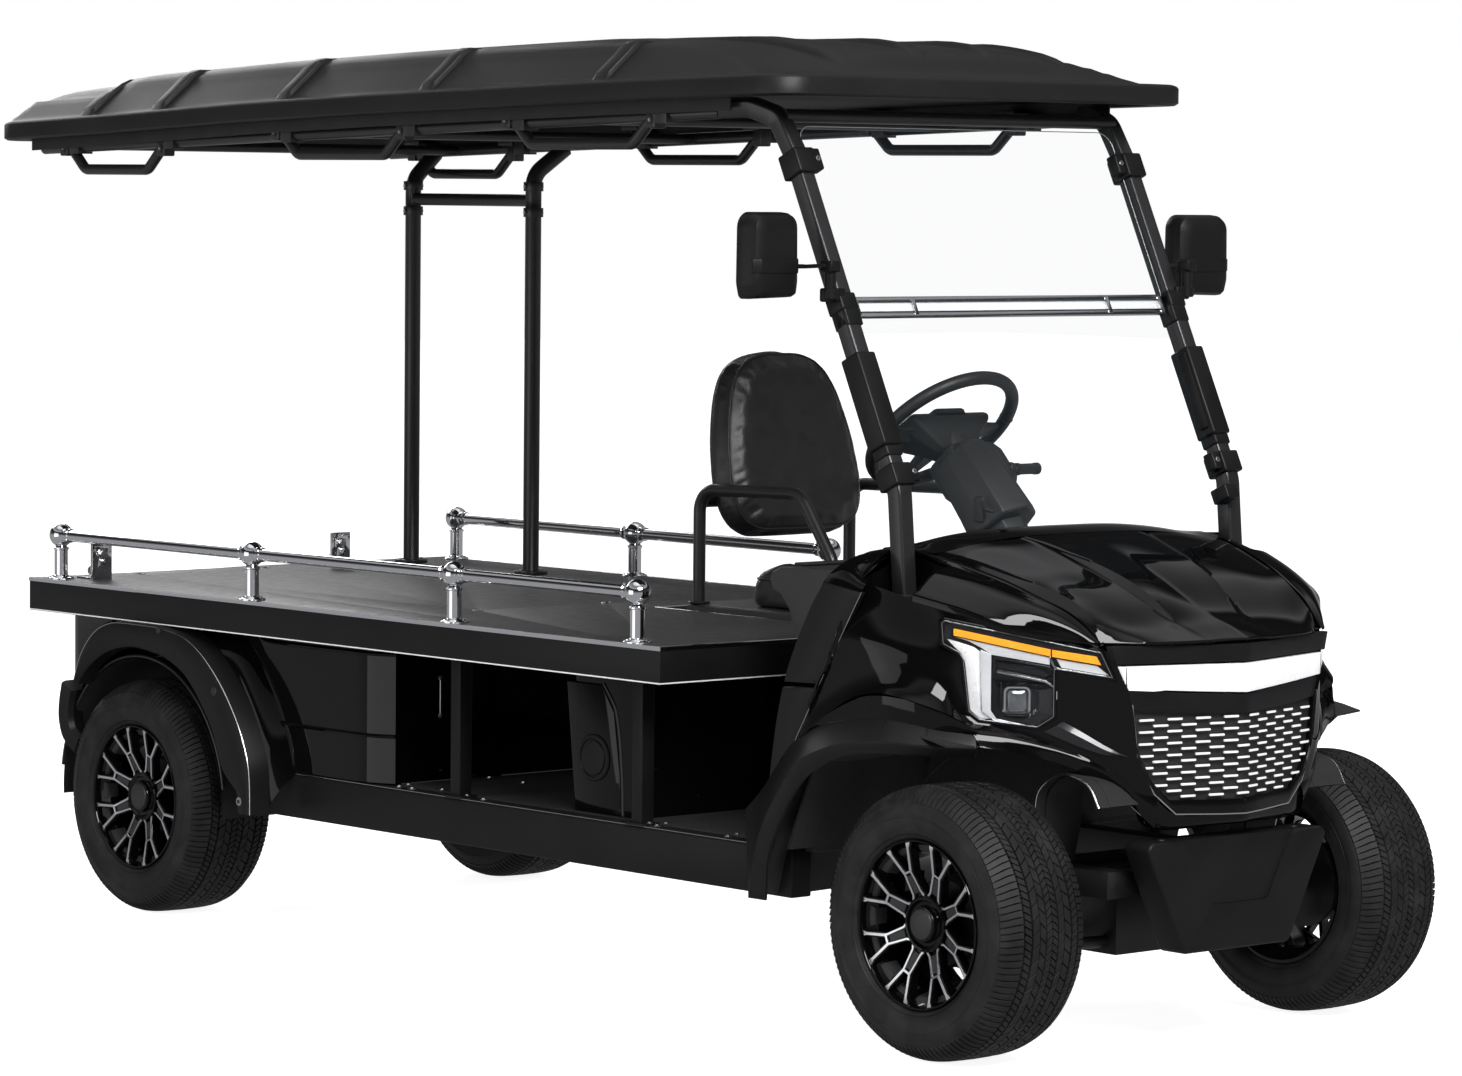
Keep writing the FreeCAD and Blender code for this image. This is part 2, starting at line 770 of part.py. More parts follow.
def band_slot():
    """What the band takes out of the nose, open to the front."""
    rear = [("band_half", "band_sweep"), ("0", "0"), ("-band_half", "band_sweep")]
    points = [("-band_half", at("nose_tip - 50")), ("band_half", at("nose_tip - 50"))]
    points += [(x, at(f"nose_tip + {sweep} + band_thick")) for x, sweep in rear]
    return slab("XY_Plane", points, "band_low", "band_high")


def front_bumper():
    points = [("-bumper_half", "bumper_top"), ("-bumper_low_half", "bumper_low"),
              ("bumper_low_half", "bumper_low"), ("bumper_half", "bumper_top")]
    bar = rounded(slab("XZ_Plane", points, at("bumper_face"), "bumper_deep"), Y, "bumper_round")
    pocket = centred_box("bumper_low_half - 73", at("bumper_face + bumper_skin"), "bumper_low + 31",
                         "bumper_deep", "bumper_top - bumper_low - 63")
    return node(cut(bar, pocket), "front_bumper")


def arch_band(station, inner, outer, start_x, end_x, low):
    """Upper part of a ring round a wheel, between two distances from the middle."""
    wide = f"({end_x} - {start_x})"
    ring = cut(rod(start_x, at(station), "tyre_radius", outer, wide, "X"),
               rod(f"{start_x} - 5", at(station), "tyre_radius", inner, f"{wide} + 10", "X"))
    above = box(f"{start_x} - 10", at(f"{station} - {outer} - 20"), low, f"{wide} + 20", f"2 * {outer} + 40",
                outer)
    return common(ring, above)


def front_flares():
    """Bands outside the front fenders; their front ends stop above the hub."""
    band = arch_band("0", f"({FRONT_ARCH} - flare_lap)", f"({FRONT_ARCH} + front_flare_wide)", "fender_half",
                     "flare_half", "flare_low")
    front_cut = box("fender_half - 40", at(-520), 0, 120, 370, f"{FRONT_ARCH} + 270")
    return node(both_sides(cut(band, front_cut)), "front_flares")


def rear_flares():
    inner = f"({REAR_ARCH} + rear_flare_gap)"
    band = arch_band("wheelbase", inner, f"({inner} + rear_flare_wide)", "body_half", "flare_half",
                     "rear_flare_low")
    rear_cut = box("body_half - 20", at("wheelbase + 150"), 0, 200, 400, f"{REAR_ARCH} + 210")
    top_cut = box("body_half - 20", at("wheelbase - 600"), f"{DECK_LOW} - 1", 200, 1200, 200)
    return node(both_sides(cut(band, rear_cut, top_cut)), "rear_flares")


def dashboard():
    """Hollow shelf between the pillars, carried by the toe board, round the steering column."""
    profile = [(at(235), 985), (at(330), 1005), (at(720), 1000), (at(770), 960), (at(760), 880),
               (at(560), 800), (at(470), "toe_top"), (at(TOE_STATION), "toe_top"), (at(292), 740)]
    inner_profile = [(at(f"{TOE_STATION} + 20"), 690), (at(302), 744), (at(254), 978), (at(335), 990),
                     (at(712), 985), (at(754), 954), (at(746), 892), (at(550), 814), (at(455), 690)]
    outer = slab("YZ_Plane", profile, f"-{DASH_HALF}", f"2 * {DASH_HALF}")
    inner = slab("YZ_Plane", inner_profile, f"dash_skin - {DASH_HALF}", f"2 * ({DASH_HALF} - dash_skin)")
    return node(cut(outer, inner, steering_column()), "dashboard")


# ---- windshield, canopy

def pillar_station(height):
    """Station of the pillar line above its knee."""
    lean = math.tan(math.radians(size("pillar_slope")))
    return size("pillar_knee_station") + (height - size("pillar_knee")) * lean


def windshield_frame(floor):
    """Pillars from the toe board to the roof rails, with clamp blocks for the panes and a head bar."""
    x, knee, rail_x = size("pillar_x"), size("pillar_knee"), size("roof_rail_x")
    join = size("rail_join")
    bar_height = size("roof_rim_front") - size("head_bar_drop")
    foot = size("floor_front") - size("toe_lean") + 6
    high, long = size("clamp_high"), size("clamp_long")
    wide = 2 * (size("pane_side_gap") - 0.3)
    posts = []
    for side in (1, -1):
        posts.append(tube([(side * x, y_of(foot), size("toe_top")),
                           (side * x, y_of(size("pillar_foot_station")), size("pillar_foot")),
                           (side * x, y_of(size("pillar_knee_station")), knee),
                           (side * x, y_of(pillar_station(bar_height - 18)), bar_height - 18),
                           (side * rail_x, y_of(join), roof_line(join) - size("rail_drop"))],
                          size("pillar_bend"), size("pillar_radius")))
        for height in (knee + 31, bar_height - 106):
            middle = y_of(pillar_station(height))
            posts.append(Part.makeBox(wide, long, high, Vector(side * x - wide / 2, middle - long / 2 - 2,
                                                               height - high / 2)))
    bar_y = y_of(pillar_station(bar_height) - 2)
    bar = tube([(-x, bar_y, bar_height), (x, bar_y, bar_height)], 0, size("head_bar_radius"))
    return node(cut(plain(posts[0].multiFuse(posts[1:] + [bar])), floor), "windshield_frame")


def leaning(low, high, half, thick):
    """Plate in the windshield's plane between two heights."""
    long = f"(({high}) - ({low})) / cos(pillar_slope)"
    points = [(f"-({half})", 0), (half, 0), (half, long), (f"-({half})", long)]
    body = slab("XZ_Plane", points, f"-{thick} / 2", thick)
    turn(body, X, "-pillar_slope")
    return place(body, 0, at(f"pillar_knee_station + (({low}) - pillar_knee) * tan(pillar_slope)"), low)


def windshield():
    spans = (("pane_low", "pane_split - pane_gap"), ("pane_split + pane_gap", "roof_rim_front - pane_drop"))
    panes = [rounded(leaning(low, high, PANE_HALF, "pane_thick"), Y, "pane_round") for low, high in spans]
    return node(together(*panes), "windshield")


def windshield_hinge():
    strip = leaning("pane_split - pane_gap", "pane_split + pane_gap", f"{PANE_HALF} + 4", "hinge_thick")
    return node(strip, "windshield_hinge")


def rectangle(inset, length, front=0):
    """Corners of the roof's plan drawn in by an inset, from its front edge."""
    half = f"(roof_half - {inset})"
    near, far = f"{inset} + {front}", f"{length} - {inset}"
    return [(f"-{half}", near), (half, near), (half, far), (f"-{half}", far)]


def roof():
    """Thin canopy: an upright rim, a crown with sloping sides and an inturned lip."""
    length = f"({behind('roof_behind')} - roof_front)"
    body = doc.addObject("PartDesign::Body", "Body")
    rim = body.newObject("PartDesign::Pad", "Rim")
    rim.Profile = outline(body, "XY_Plane", rectangle("0", length))
    bind(rim, "Length", "roof_rim_high")
    rounded(body, Z, "roof_corner")
    doc.recompute()
    crown = body.newObject("PartDesign::Pad", "Crown")
    crown.Profile = outline(body, "XY_Plane", rectangle("roof_crown_inset", length, 30), "roof_rim_high")
    bind(crown, "Length", "roof_crown_high")
    crown.TaperAngle = -45
    doc.recompute()
    under = body.newObject("PartDesign::Thickness", "Skin")
    floor_face = next(f"Face{i}" for i, face in enumerate(crown.Shape.Faces, start=1)
                      if abs(face.CenterOfMass.z) < 1)
    under.Base = (crown, [floor_face])
    bind(under, "Value", "roof_skin")
    under.Reversed = True
    lip = cut(rounded(slab("XY_Plane", rectangle("0", length), 0, "roof_skin"), Z, "roof_corner"),
              slab("XY_Plane", rectangle("roof_lip", length), -1, "roof_skin + 2"))
    canopy = together(fuse(body, lip))
    turn(canopy, X, "-roof_slope")
    place(canopy, 0, at("roof_front"), "roof_rim_front")
    return node(canopy, "roof")


def roof_line(station):
    """Height of the roof's lower rim at a station."""
    fall = math.tan(math.radians(size("roof_slope")))
    return size("roof_rim_front") - (station - size("roof_front")) * fall


def rear_station(name):
    return size("wheelbase") + size(name)


def handle_spans():
    """First and last stations of the three grab handles on a side."""
    middle, last = size("wheelbase") - 957, rear_station("ladder_behind")
    return (985, 1490), (middle, middle + 491), (last - 318, last + 102)


def roof_rails(frame):
    """Tubes under the roof, hung from blocks, with three cross bars."""
    x, drop, last = size("roof_rail_x"), size("rail_drop"), rear_station("roof_rail_behind")
    block_wide, block_long = 44, 40
    hung = [first - 45 for first, _ in handle_spans()] + [end - 50 for _, end in handle_spans()]
    rails = []
    for side in (1, -1):
        route = [(side * x, y_of(s), roof_line(s) - drop) for s in (size("rail_join"), last)]
        rail = tube(route, 0, size("roof_rail_radius"))
        blocks = [Part.makeBox(block_wide, block_long, drop + 17,
                               Vector(side * x - block_wide / 2, y_of(s) - block_long / 2,
                                      roof_line(s) - drop - 17.6)) for s in hung]
        rails.append(rail.multiFuse(blocks))
    crosses = [tube([(-x, y_of(s), roof_line(s) - drop), (x, y_of(s), roof_line(s) - drop)], 0,
                    size("cross_bar_radius")) for s in (1190, 2140, last - 300)]
    return node(cut(plain(rails[0].multiFuse(rails[1:] + crosses)), frame), "roof_rails")


def grab_handles(rails):
    x, slant = size("roof_rail_x"), size("handle_slant")
    bars = []
    for side in (1, -1):
        for first, last in handle_spans():
            top = roof_line((first + last) / 2) - size("handle_drop")
            low = top - size("handle_deep")
            route = [(side * x, y_of(first), top), (side * x, y_of(first + slant), low),
                     (side * x, y_of(last - slant), low), (side * x, y_of(last), top)]
            bars.append(tube(route, size("handle_bend"), size("handle_radius")))
    return node(cut(plain(Part.makeCompound(bars)), rails), "grab_handles")


def rear_posts(rails):
    """Two tubes from the deck to the left roof rail, joined by a rung and ringed by collars."""
    x, radius, rung = size("ladder_x"), size("ladder_radius"), size("ladder_rung")
    collar_high, foot_radius, foot_high = 24, 44, 8
    stations = (size("wheelbase") - size("ladder_ahead"), rear_station("ladder_behind"))
    pieces = []
    for s, splay in zip(stations, (-20, 20)):
        top = roof_line(s) - size("rail_drop") - 6
        route = [(x, y_of(s), size("deck_top")), (x, y_of(s), top - 70),
                 (size("roof_rail_x"), y_of(s + splay), top)]
        pieces.append(tube(route, 60, radius))
        for height in (rung - 43, rung + 24):
            pieces.append(Part.makeCylinder(radius + 5, collar_high, Vector(x, y_of(s), height)))
        pieces.append(Part.makeCylinder(foot_radius, foot_high, Vector(x, y_of(s), size("deck_top"))))
    pieces.append(tube([(x, y_of(s), rung) for s in stations], 0, size("rung_radius")))
    return node(cut(plain(pieces[0].multiFuse(pieces[1:])), rails), "rear_posts")


def mirror_place(side):
    spot = Vector(side * size("mirror_x"), y_of(size("mirror_station")), size("mirror_height"))
    return Placement(spot, Rotation(Z, -side * size("mirror_turn")))


def mirrors(frame):
    """A case, an arm and a clamp on each pillar."""
    wide, deep, high = size("mirror_wide"), size("mirror_deep"), size("mirror_high")
    clamp_x, clamp_high, arm_radius, corner = 50, 60, 11, 22
    station, height = size("mirror_station"), size("mirror_height")
    post = pillar_station(height - 94)
    pair = []
    for side in (1, -1):
        case = Part.makeBox(wide, deep, high, Vector(-wide / 2, -deep / 2, -high / 2))
        case = case.makeFillet(corner, lengthwise_edges(case, Y))
        case.Placement = mirror_place(side)
        arm = tube([(side * (size("pillar_x") + clamp_x / 2 - 8), y_of(post - 6), height - 90),
                    (side * (size("mirror_x") - 62), y_of(station - 53), height - 84),
                    (side * (size("mirror_x") - 22), y_of(station - 28), height - 40)], 12, arm_radius)
        clamp = Part.makeBox(clamp_x, 56, clamp_high,
                             Vector(side * size("pillar_x") - clamp_x / 2, y_of(post - 28), height - 124))
        pair.append(case.multiFuse([arm, clamp]))
    return node(cut(plain(Part.makeCompound(pair)), frame), "mirrors")


def mirror_glass():
    wide = size("mirror_wide") - 2 * size("mirror_edge")
    high = size("mirror_high") - 2 * size("mirror_edge")
    panes = []
    for side in (1, -1):
        glass = Part.makeBox(wide, size("mirror_glass_thick"), high,
                             Vector(-wide / 2, size("mirror_deep") / 2, -high / 2))
        glass.Placement = mirror_place(side)
        panes.append(glass)
    return node(plain(Part.makeCompound(panes)), "mirror_glass")


# ---- driver's place

def seat_base():
    """Plinth on the pedestal that carries the cushion and both armrest hoops."""
    half = "(seat_half + seat_base_margin)"
    base = box(f"seat_x - {half}", at("pedestal_front + 10"), DECK_LOW, f"2 * {half}",
               "back_foot - pedestal_front + 130", "cushion_rise - cushion_thick")
    return node(base, "seat_base")


def seat_cushion():
    low = f"{CUSHION_TOP} - cushion_thick"
    near, far = at("cushion_front"), at("back_foot - 20")
    points = [("seat_x - seat_half", near), ("seat_x + seat_half", near),
              ("seat_x + seat_half", far), ("seat_x - seat_half", far)]
    return node(rounded(slab("XY_Plane", points, low, "cushion_thick"), Z, "cushion_round"), "seat_cushion")


def seat_back():
    """Tall pad that narrows towards its top and leans back."""
    half = (("seat_half - 40", "0"), ("seat_half", "30"), ("seat_half", "150"),
            ("seat_top_half + 22", "back_high - 60"), ("seat_top_half - 30", "back_high"))
    points = list(half) + [(f"-({across})", up) for across, up in half[::-1]]
    body = slab("XZ_Plane", points, 0, "back_thick")
    turn(body, X, "-back_lean")
    place(body, "seat_x", at("back_foot"), BACK_LOW)
    return node(body, "seat_back")


def armrests(base):
    """Bent tubes that rise behind the seat, carry its back and curve forward as armrests."""
    x, half, radius = size("seat_x"), size("seat_half") + 22, size("armrest_radius")
    cushion_top = size("deck_top") - size("deck_deep") + size("cushion_rise")
    foot, top = cushion_top - size("cushion_thick"), cushion_top + size("armrest_rise")
    bar_height = cushion_top + size("bar_rise")
    lean = math.radians(size("back_lean"))
    behind_back = (size("back_foot") + (size("bar_rise") - size("back_rise")) * math.tan(lean)
                   + (size("back_thick") + radius + size("seat_gap")) / math.cos(lean))
    front = size("cushion_front") + 34
    hoops = []
    for hoop_x in (x - half, x + half):
        route = [(hoop_x, y_of(behind_back), foot), (hoop_x, y_of(behind_back), top - 6),
                 (hoop_x, y_of(front + 126), top), (hoop_x, y_of(front + 16), top - 150),
                 (hoop_x, y_of(front), foot)]
        hoops.append(tube(route, size("armrest_bend"), radius))
    bar = tube([(end, y_of(behind_back), bar_height) for end in (x - half, x + half)], 0, radius)
    return node(cut(plain(hoops[0].multiFuse([hoops[1], bar])), base), "armrests")


def wheel_hub():
    return Vector(size("wheel_x"), y_of(size("wheel_station")), size("wheel_height"))


def steering_column():
    """Shaft in a moulded cover that leans back towards the driver, with a stalk."""
    tilt = math.radians(size("wheel_tilt"))
    axis = Vector(0, math.sin(tilt), math.cos(tilt))
    top = wheel_hub() - axis * size("cover_drop")
    wide, deep, long = size("cover_wide"), size("cover_deep"), size("cover_long")
    cover = Part.makeBox(wide, deep, long, Vector(-wide / 2, -deep / 2, -long))
    cover = cover.makeFillet(size("cover_round"), lengthwise_edges(cover, Z))
    cover.Placement = Placement(top, Rotation(X, -size("wheel_tilt")))
    shaft_end = size("cover_drop") + size("boss_low")
    shaft = Part.makeCylinder(size("shaft_radius"), shaft_end + 12, top - axis * 12, axis)
    stalk = Part.makeCylinder(size("stalk_radius"), size("stalk_long"),
                              top - axis * 70 + Vector(wide / 2 - 5, 0, 0), X)
    return node(plain(cover.multiFuse([shaft, stalk])), "steering_column")


def steering_wheel():
    """Ring, boss and three spokes; the boss is bored for the column's shaft."""
    ring = Part.makeTorus(size("wheel_ring"), size("wheel_grip"))
    boss = Part.makeCylinder(size("boss_radius"), size("boss_high"), Vector(0, 0, size("boss_low")))
    spoke_wide, spoke_thick = 40, 12
    spokes = []
    for angle in (0, 90, 180):
        arm = Part.makeBox(size("wheel_ring") - spoke_wide, spoke_wide, spoke_thick,
                           Vector(30, -spoke_wide / 2, -14))
        arm.rotate(Vector(0, 0, 0), Z, angle)
        spokes.append(arm)
    bore = Part.makeCylinder(size("shaft_radius") + size("running_gap"), size("bore_deep"),
                             Vector(0, 0, size("boss_low")))
    wheel = ring.multiFuse([boss] + spokes).cut(bore)
    wheel.Placement = Placement(wheel_hub(), Rotation(X, -size("wheel_tilt")))
    return node(plain(wheel), "steering_wheel")


def pedals():
    """Columns: middle along x and pad width."""
    pads = []
    for x, wide in (("wheel_x - 50", 74), ("wheel_x + 90", 56)):
        pad = box(f"{x} - {wide} / 2", at("floor_front + 40"), f"{FLOOR_TOP} + 48", wide, 14, 90)
        stem = box(f"{x} - 8", at("floor_front + 16"), FLOOR_TOP, 16, 36, 60)
        pads.append(fuse(pad, stem))
    return node(together(*pads), "pedals")


# ---- suspension and wheels

def front_suspension(frame):
    """Two V arms on each side, from the cradle and the rails to the kingpin's ends.
    Row columns: the eye's place above the axle, the root's distance from the middle and its height."""
    reach, spread, high = size("kingpin_x"), size("arm_spread"), size("eye_high")
    rows = ((size("lower_eye"), size("cradle_half") - 20, size("cradle_low") + size("lower_root")),
            (size("upper_eye"), size("rail_x") + 20, size("rail_low") + size("upper_root")))
    arms = []
    for side in (1, -1):
        for lift, root, root_height in rows:
            low = size("tyre_radius") + lift
            legs = [tube([(side * root, y_of(way * spread), root_height),
                          (side * reach, y_of(way * spread / 10), low + high / 2)], 0, size("arm_radius"))
                    for way in (-1, 1)]
            eye = Part.makeCylinder(size("eye_radius"), high, Vector(side * reach, y_of(0), low))
            arms.append(eye.multiFuse(legs))
    return node(cut(plain(Part.makeCompound(arms)), frame), "front_suspension")


def rear_axle():
    """Live axle with its drive motor, carried on two leaf springs."""
    reach = "(half_track - 60)"
    axle = rod(f"-{reach}", at("wheelbase"), "tyre_radius", "axle_radius", f"2 * {reach}", "X")
    case = rod(-75, at("wheelbase"), "tyre_radius", "case_radius", 150, "X")
    motor = rod("75 - 115", at("wheelbase - 330"), "tyre_radius", "motor_radius", 300, "Y")
    shafts = [rod(start, at("wheelbase"), "tyre_radius", "spindle_radius", "60 + spindle_end", "X")
              for start in ("half_track - 60", "-half_track - spindle_end")]
    saddles = [box(x, at("wheelbase - 40"), "tyre_radius", "rail_wide - 10", 80,
                   "rail_low - leaf_thick - 2 * seat_gap - tyre_radius")
               for x in ("rail_x + 5", "-rail_x - rail_wide + 5")]
    return node(fuse(axle, case, motor, *shafts, *saddles), "rear_axle")


def rear_springs():
    leaf = box("rail_x + 5", at(ahead("leaf_half")), "rail_low - leaf_thick - seat_gap", "rail_wide - 10",
               "2 * leaf_half", "leaf_thick")
    return node(both_sides(leaf), "rear_springs")


def battery_pack():
    """The traction battery as one plain block on the rails."""
    block = centred_box("rail_x + rail_wide", at(ahead("body_ahead - 90")), "rail_low + rail_high",
                        "battery_long", "battery_high")
    return node(block, "battery_pack")


def tail_lights():
    lamp = box("body_half - 128", at(behind("body_behind")), f"{DECK_LOW} - 172", 90, 14, 120)
    return node(both_sides(lamp), "tail_lights")


def wheel_liners():
    """Thin arches inside the front fenders, and flaps behind the rear wheels."""
    arch = arch_band("0", f"({FRONT_ARCH} - liner_thick)", FRONT_ARCH, "liner_inner",
                     "(fender_half - cowl_skin - 0.5)", "(tyre_radius + 178)")
    flap = box("body_half - arch_depth + 20", at(f"{behind('body_behind')} - 10"), "flap_low",
               "arch_depth - 40", 6, f"{SILL_TOP} - flap_low")
    return node(together(common(both_sides(arch), cowl_block("cowl_skin")), both_sides(flap)), "wheel_liners")


def knuckle(side, label):
    """Upright with its kingpin eyes and the spindle that carries the wheel."""
    x = f"({side} * kingpin_x)"
    low = "tyre_radius + lower_eye + eye_high + seat_gap"
    post = rod(x, "front_axle_y", low, "kingpin_radius", f"tyre_radius + upper_eye - seat_gap - ({low})")
    block = box(f"{x} - 26", "front_axle_y - 30", "tyre_radius - 34", 52, 60, 68)
    start = "kingpin_x" if side > 0 else "-half_track - spindle_end"
    spindle = rod(start, "front_axle_y", "tyre_radius", "spindle_radius",
                  "half_track + spindle_end - kingpin_x", "X")
    arm = box(f"{x} - 12", "front_axle_y + 20", "tyre_radius - 16", 24, 92, 16)
    return node(fuse(post, block, spindle, arm), label)


WHEELS = (("front_left", 1, "0"), ("front_right", -1, "0"),
          ("rear_left", 1, "wheelbase"), ("rear_right", -1, "wheelbase"))


def tyre(corner, side, station):
    """Section columns: distance from the wheel's middle plane, radius."""
    half, low, high = "tyre_width / 2", "bead_radius", "tyre_radius"
    wall = f"({high} - {low})"
    right = [("rim_half - 14", low), ("rim_half - 4", f"{low} + rim_lip + 6"), (half, f"{low} + {wall} / 2"),
             (f"{half} - 5", f"{high} - {wall} / 4"), (f"{half} - 26", f"{high} - 3"), (f"{half} - 65", high)]
    left = [(f"-({x})", radius) for x, radius in right]
    return node(turned(right + left[::-1], (f"{side} * half_track", at(station), "tyre_radius")),
                f"{corner}_tyre")


def rim(corner, side, station):
    """Barrel, a disc with sixteen windows, a hub bored for the spindle and a cap."""
    bead, lip, half = "bead_radius", "bead_radius + rim_lip", "rim_half"
    right = [(half, "bead_radius - rim_wall"), (half, lip), (f"{half} - 8", lip), (f"{half} - 14", bead)]
    left = [(f"-({x})", radius) for x, radius in right]
    barrel = turned(right + left[::-1], (0, 0, 0))
    disc = rod("spoke_face - spoke_thick", 0, 0, "bead_radius - 8", "spoke_thick", "X")
    hub = rod(0, 0, 0, "hub_radius", "spoke_face", "X")
    cap = rod("spoke_face - 1", 0, 0, "cap_radius", "cap_face - spoke_face + 1", "X")
    inner, outer, narrow, broad, count = size("window_inner"), size("window_outer"), 6, 22, 16
    windows = []
    for i in range(count):
        angle = math.radians((i + 0.5) * 360 / count)
        out = Vector(0, math.cos(angle), math.sin(angle))
        across = X.cross(out)
        corners = ((inner, -narrow), (outer, -broad), (outer, broad), (inner, narrow), (inner, -narrow))
        ring = Part.makePolygon([out * radius + across * wide for radius, wide in corners])
        windows.append(Part.Face(ring).extrude(X * (size("spoke_face") + 40)))
    bore = rod(-2, 0, 0, "spindle_radius + running_gap", "spindle_end + 2", "X")
    wheel = cut(fuse(barrel, disc, hub, cap), plain(Part.makeCompound(windows)), bore)
    if side < 0:
        wheel = mirrored(wheel)
    wheel = together(wheel)
    place(wheel, f"{side} * half_track", at(station), "tyre_radius")
    return node(wheel, f"{corner}_rim")


for make in (side_sills, seat_pedestal, rear_body, deck_posts, deck, deck_rails, bier_stops, nose_band,
             hood, headlights, grille, front_bumper, front_flares, rear_flares, dashboard, windshield,
             windshield_hinge, roof, mirror_glass, seat_cushion, seat_back, pedals, rear_axle, rear_springs,
             battery_pack, tail_lights, steering_wheel, front_cowl, wheel_liners):
    make()
front_suspension(chassis_frame())
armrests(seat_base())
screen_frame = windshield_frame(floor_pan())
mirrors(screen_frame)
rails = roof_rails(screen_frame)
grab_handles(rails)
rear_posts(rails)
for side, label in ((1, "front_left_knuckle"), (-1, "front_right_knuckle")):
    knuckle(side, label)
for corner, side, station in WHEELS:
    tyre(corner, side, station)
    rim(corner, side, station)

doc.recompute()
faults = [thing.Label for thing in doc.Objects if {"Invalid", "Error"} & set(thing.State)]
faults += [thing.Label for thing in nodes if thing.Shape.isNull() or not thing.Shape.isValid()]
if faults:
    raise SystemExit("not built: " + ", ".join(faults))
os.makedirs("parts", exist_ok=True)
for thing in nodes:
    thing.Shape.exportStep(f"parts/{thing.Label}.step")
    solids = thing.Shape.Solids
    print(f"{thing.Label}: {len(solids)} solid(s), {sum(s.Volume for s in solids) / 1e3:.0f} cm3")
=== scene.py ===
# Looks of the open electric hearse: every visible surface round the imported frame.
import json
import math

import bmesh
import bpy
from mathutils import Matrix, Vector
from mathutils.bvhtree import BVHTree
from mathutils.kdtree import KDTree

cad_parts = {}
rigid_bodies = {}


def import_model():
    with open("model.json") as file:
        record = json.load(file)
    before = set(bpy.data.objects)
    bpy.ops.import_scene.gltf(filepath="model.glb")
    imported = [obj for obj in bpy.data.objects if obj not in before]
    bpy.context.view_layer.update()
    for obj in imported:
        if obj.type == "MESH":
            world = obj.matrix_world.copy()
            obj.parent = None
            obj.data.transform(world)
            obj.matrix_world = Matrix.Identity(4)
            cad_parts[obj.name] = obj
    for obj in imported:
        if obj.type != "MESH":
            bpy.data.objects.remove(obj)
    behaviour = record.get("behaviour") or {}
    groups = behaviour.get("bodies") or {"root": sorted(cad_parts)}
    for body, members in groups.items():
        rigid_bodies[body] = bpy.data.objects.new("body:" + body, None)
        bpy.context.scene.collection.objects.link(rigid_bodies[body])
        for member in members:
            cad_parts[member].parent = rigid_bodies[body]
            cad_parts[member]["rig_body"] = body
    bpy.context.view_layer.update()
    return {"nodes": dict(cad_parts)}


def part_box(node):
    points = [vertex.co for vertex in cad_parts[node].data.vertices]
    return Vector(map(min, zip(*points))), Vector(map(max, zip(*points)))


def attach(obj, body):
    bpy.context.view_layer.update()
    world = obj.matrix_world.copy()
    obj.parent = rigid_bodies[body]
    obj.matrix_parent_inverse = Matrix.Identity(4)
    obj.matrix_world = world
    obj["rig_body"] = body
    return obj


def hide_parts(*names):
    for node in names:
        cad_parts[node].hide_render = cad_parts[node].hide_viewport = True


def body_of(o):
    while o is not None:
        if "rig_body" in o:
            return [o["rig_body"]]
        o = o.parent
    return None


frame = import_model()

scene = bpy.context.scene
chassis = "chassis"
xAxis, yAxis, zAxis = Vector((1, 0, 0)), Vector((0, 1, 0)), Vector((0, 0, 1))

low, high = (Vector(corner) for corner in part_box("front_left_tyre"))
frontAxle = (low.y + high.y) / 2          # Y of the front axle; a station is a distance behind it
tyreRadius = (high.z - low.z) / 2
halfTrack = (low.x + high.x) / 2
low, high = (Vector(corner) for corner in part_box("rear_left_tyre"))
wheelbase = (low.y + high.y) / 2 - frontAxle


def at(x, station, z):
    return Vector((x, frontAxle + station, z))


def snake(name):
    return "".join("_" + letter.lower() if letter.isupper() else letter for letter in name)


def clamp(value, least=0.0, most=1.0):
    return max(least, min(most, value))


def smooth(value):
    value = clamp(value)
    return value * value * (3 - 2 * value)


def between(rows, x):
    # value at x of a table of (x, value) rows, with smooth tangents
    rows = [tuple(row) for row in rows]
    if x <= rows[0][0]:
        return rows[0][1]
    if x >= rows[-1][0]:
        return rows[-1][1]
    i = next(i for i in range(len(rows) - 1) if rows[i][0] <= x <= rows[i + 1][0])

    def slope(k):
        if k <= 0 or k >= len(rows) - 1:
            a, b = (rows[0], rows[1]) if k <= 0 else (rows[-2], rows[-1])
            return (b[1] - a[1]) / (b[0] - a[0])
        return (rows[k + 1][1] - rows[k - 1][1]) / (rows[k + 1][0] - rows[k - 1][0])
    (x0, y0), (x1, y1) = rows[i], rows[i + 1]
    step = x1 - x0
    t = (x - x0) / step
    return ((2 * t ** 3 - 3 * t ** 2 + 1) * y0 + (t ** 3 - 2 * t ** 2 + t) * step * slope(i)
            + (3 * t ** 2 - 2 * t ** 3) * y1 + (t ** 3 - t ** 2) * step * slope(i + 1))


def along(rows, x):
    # straight runs between (x, value) rows
    if x <= rows[0][0]:
        return rows[0][1]
    for (x0, y0), (x1, y1) in zip(rows, rows[1:]):
        if x <= x1:
            return y0 + (y1 - y0) * (x - x0) / (x1 - x0)
    return rows[-1][1]


# shader maths: an expression on links adds its Math nodes

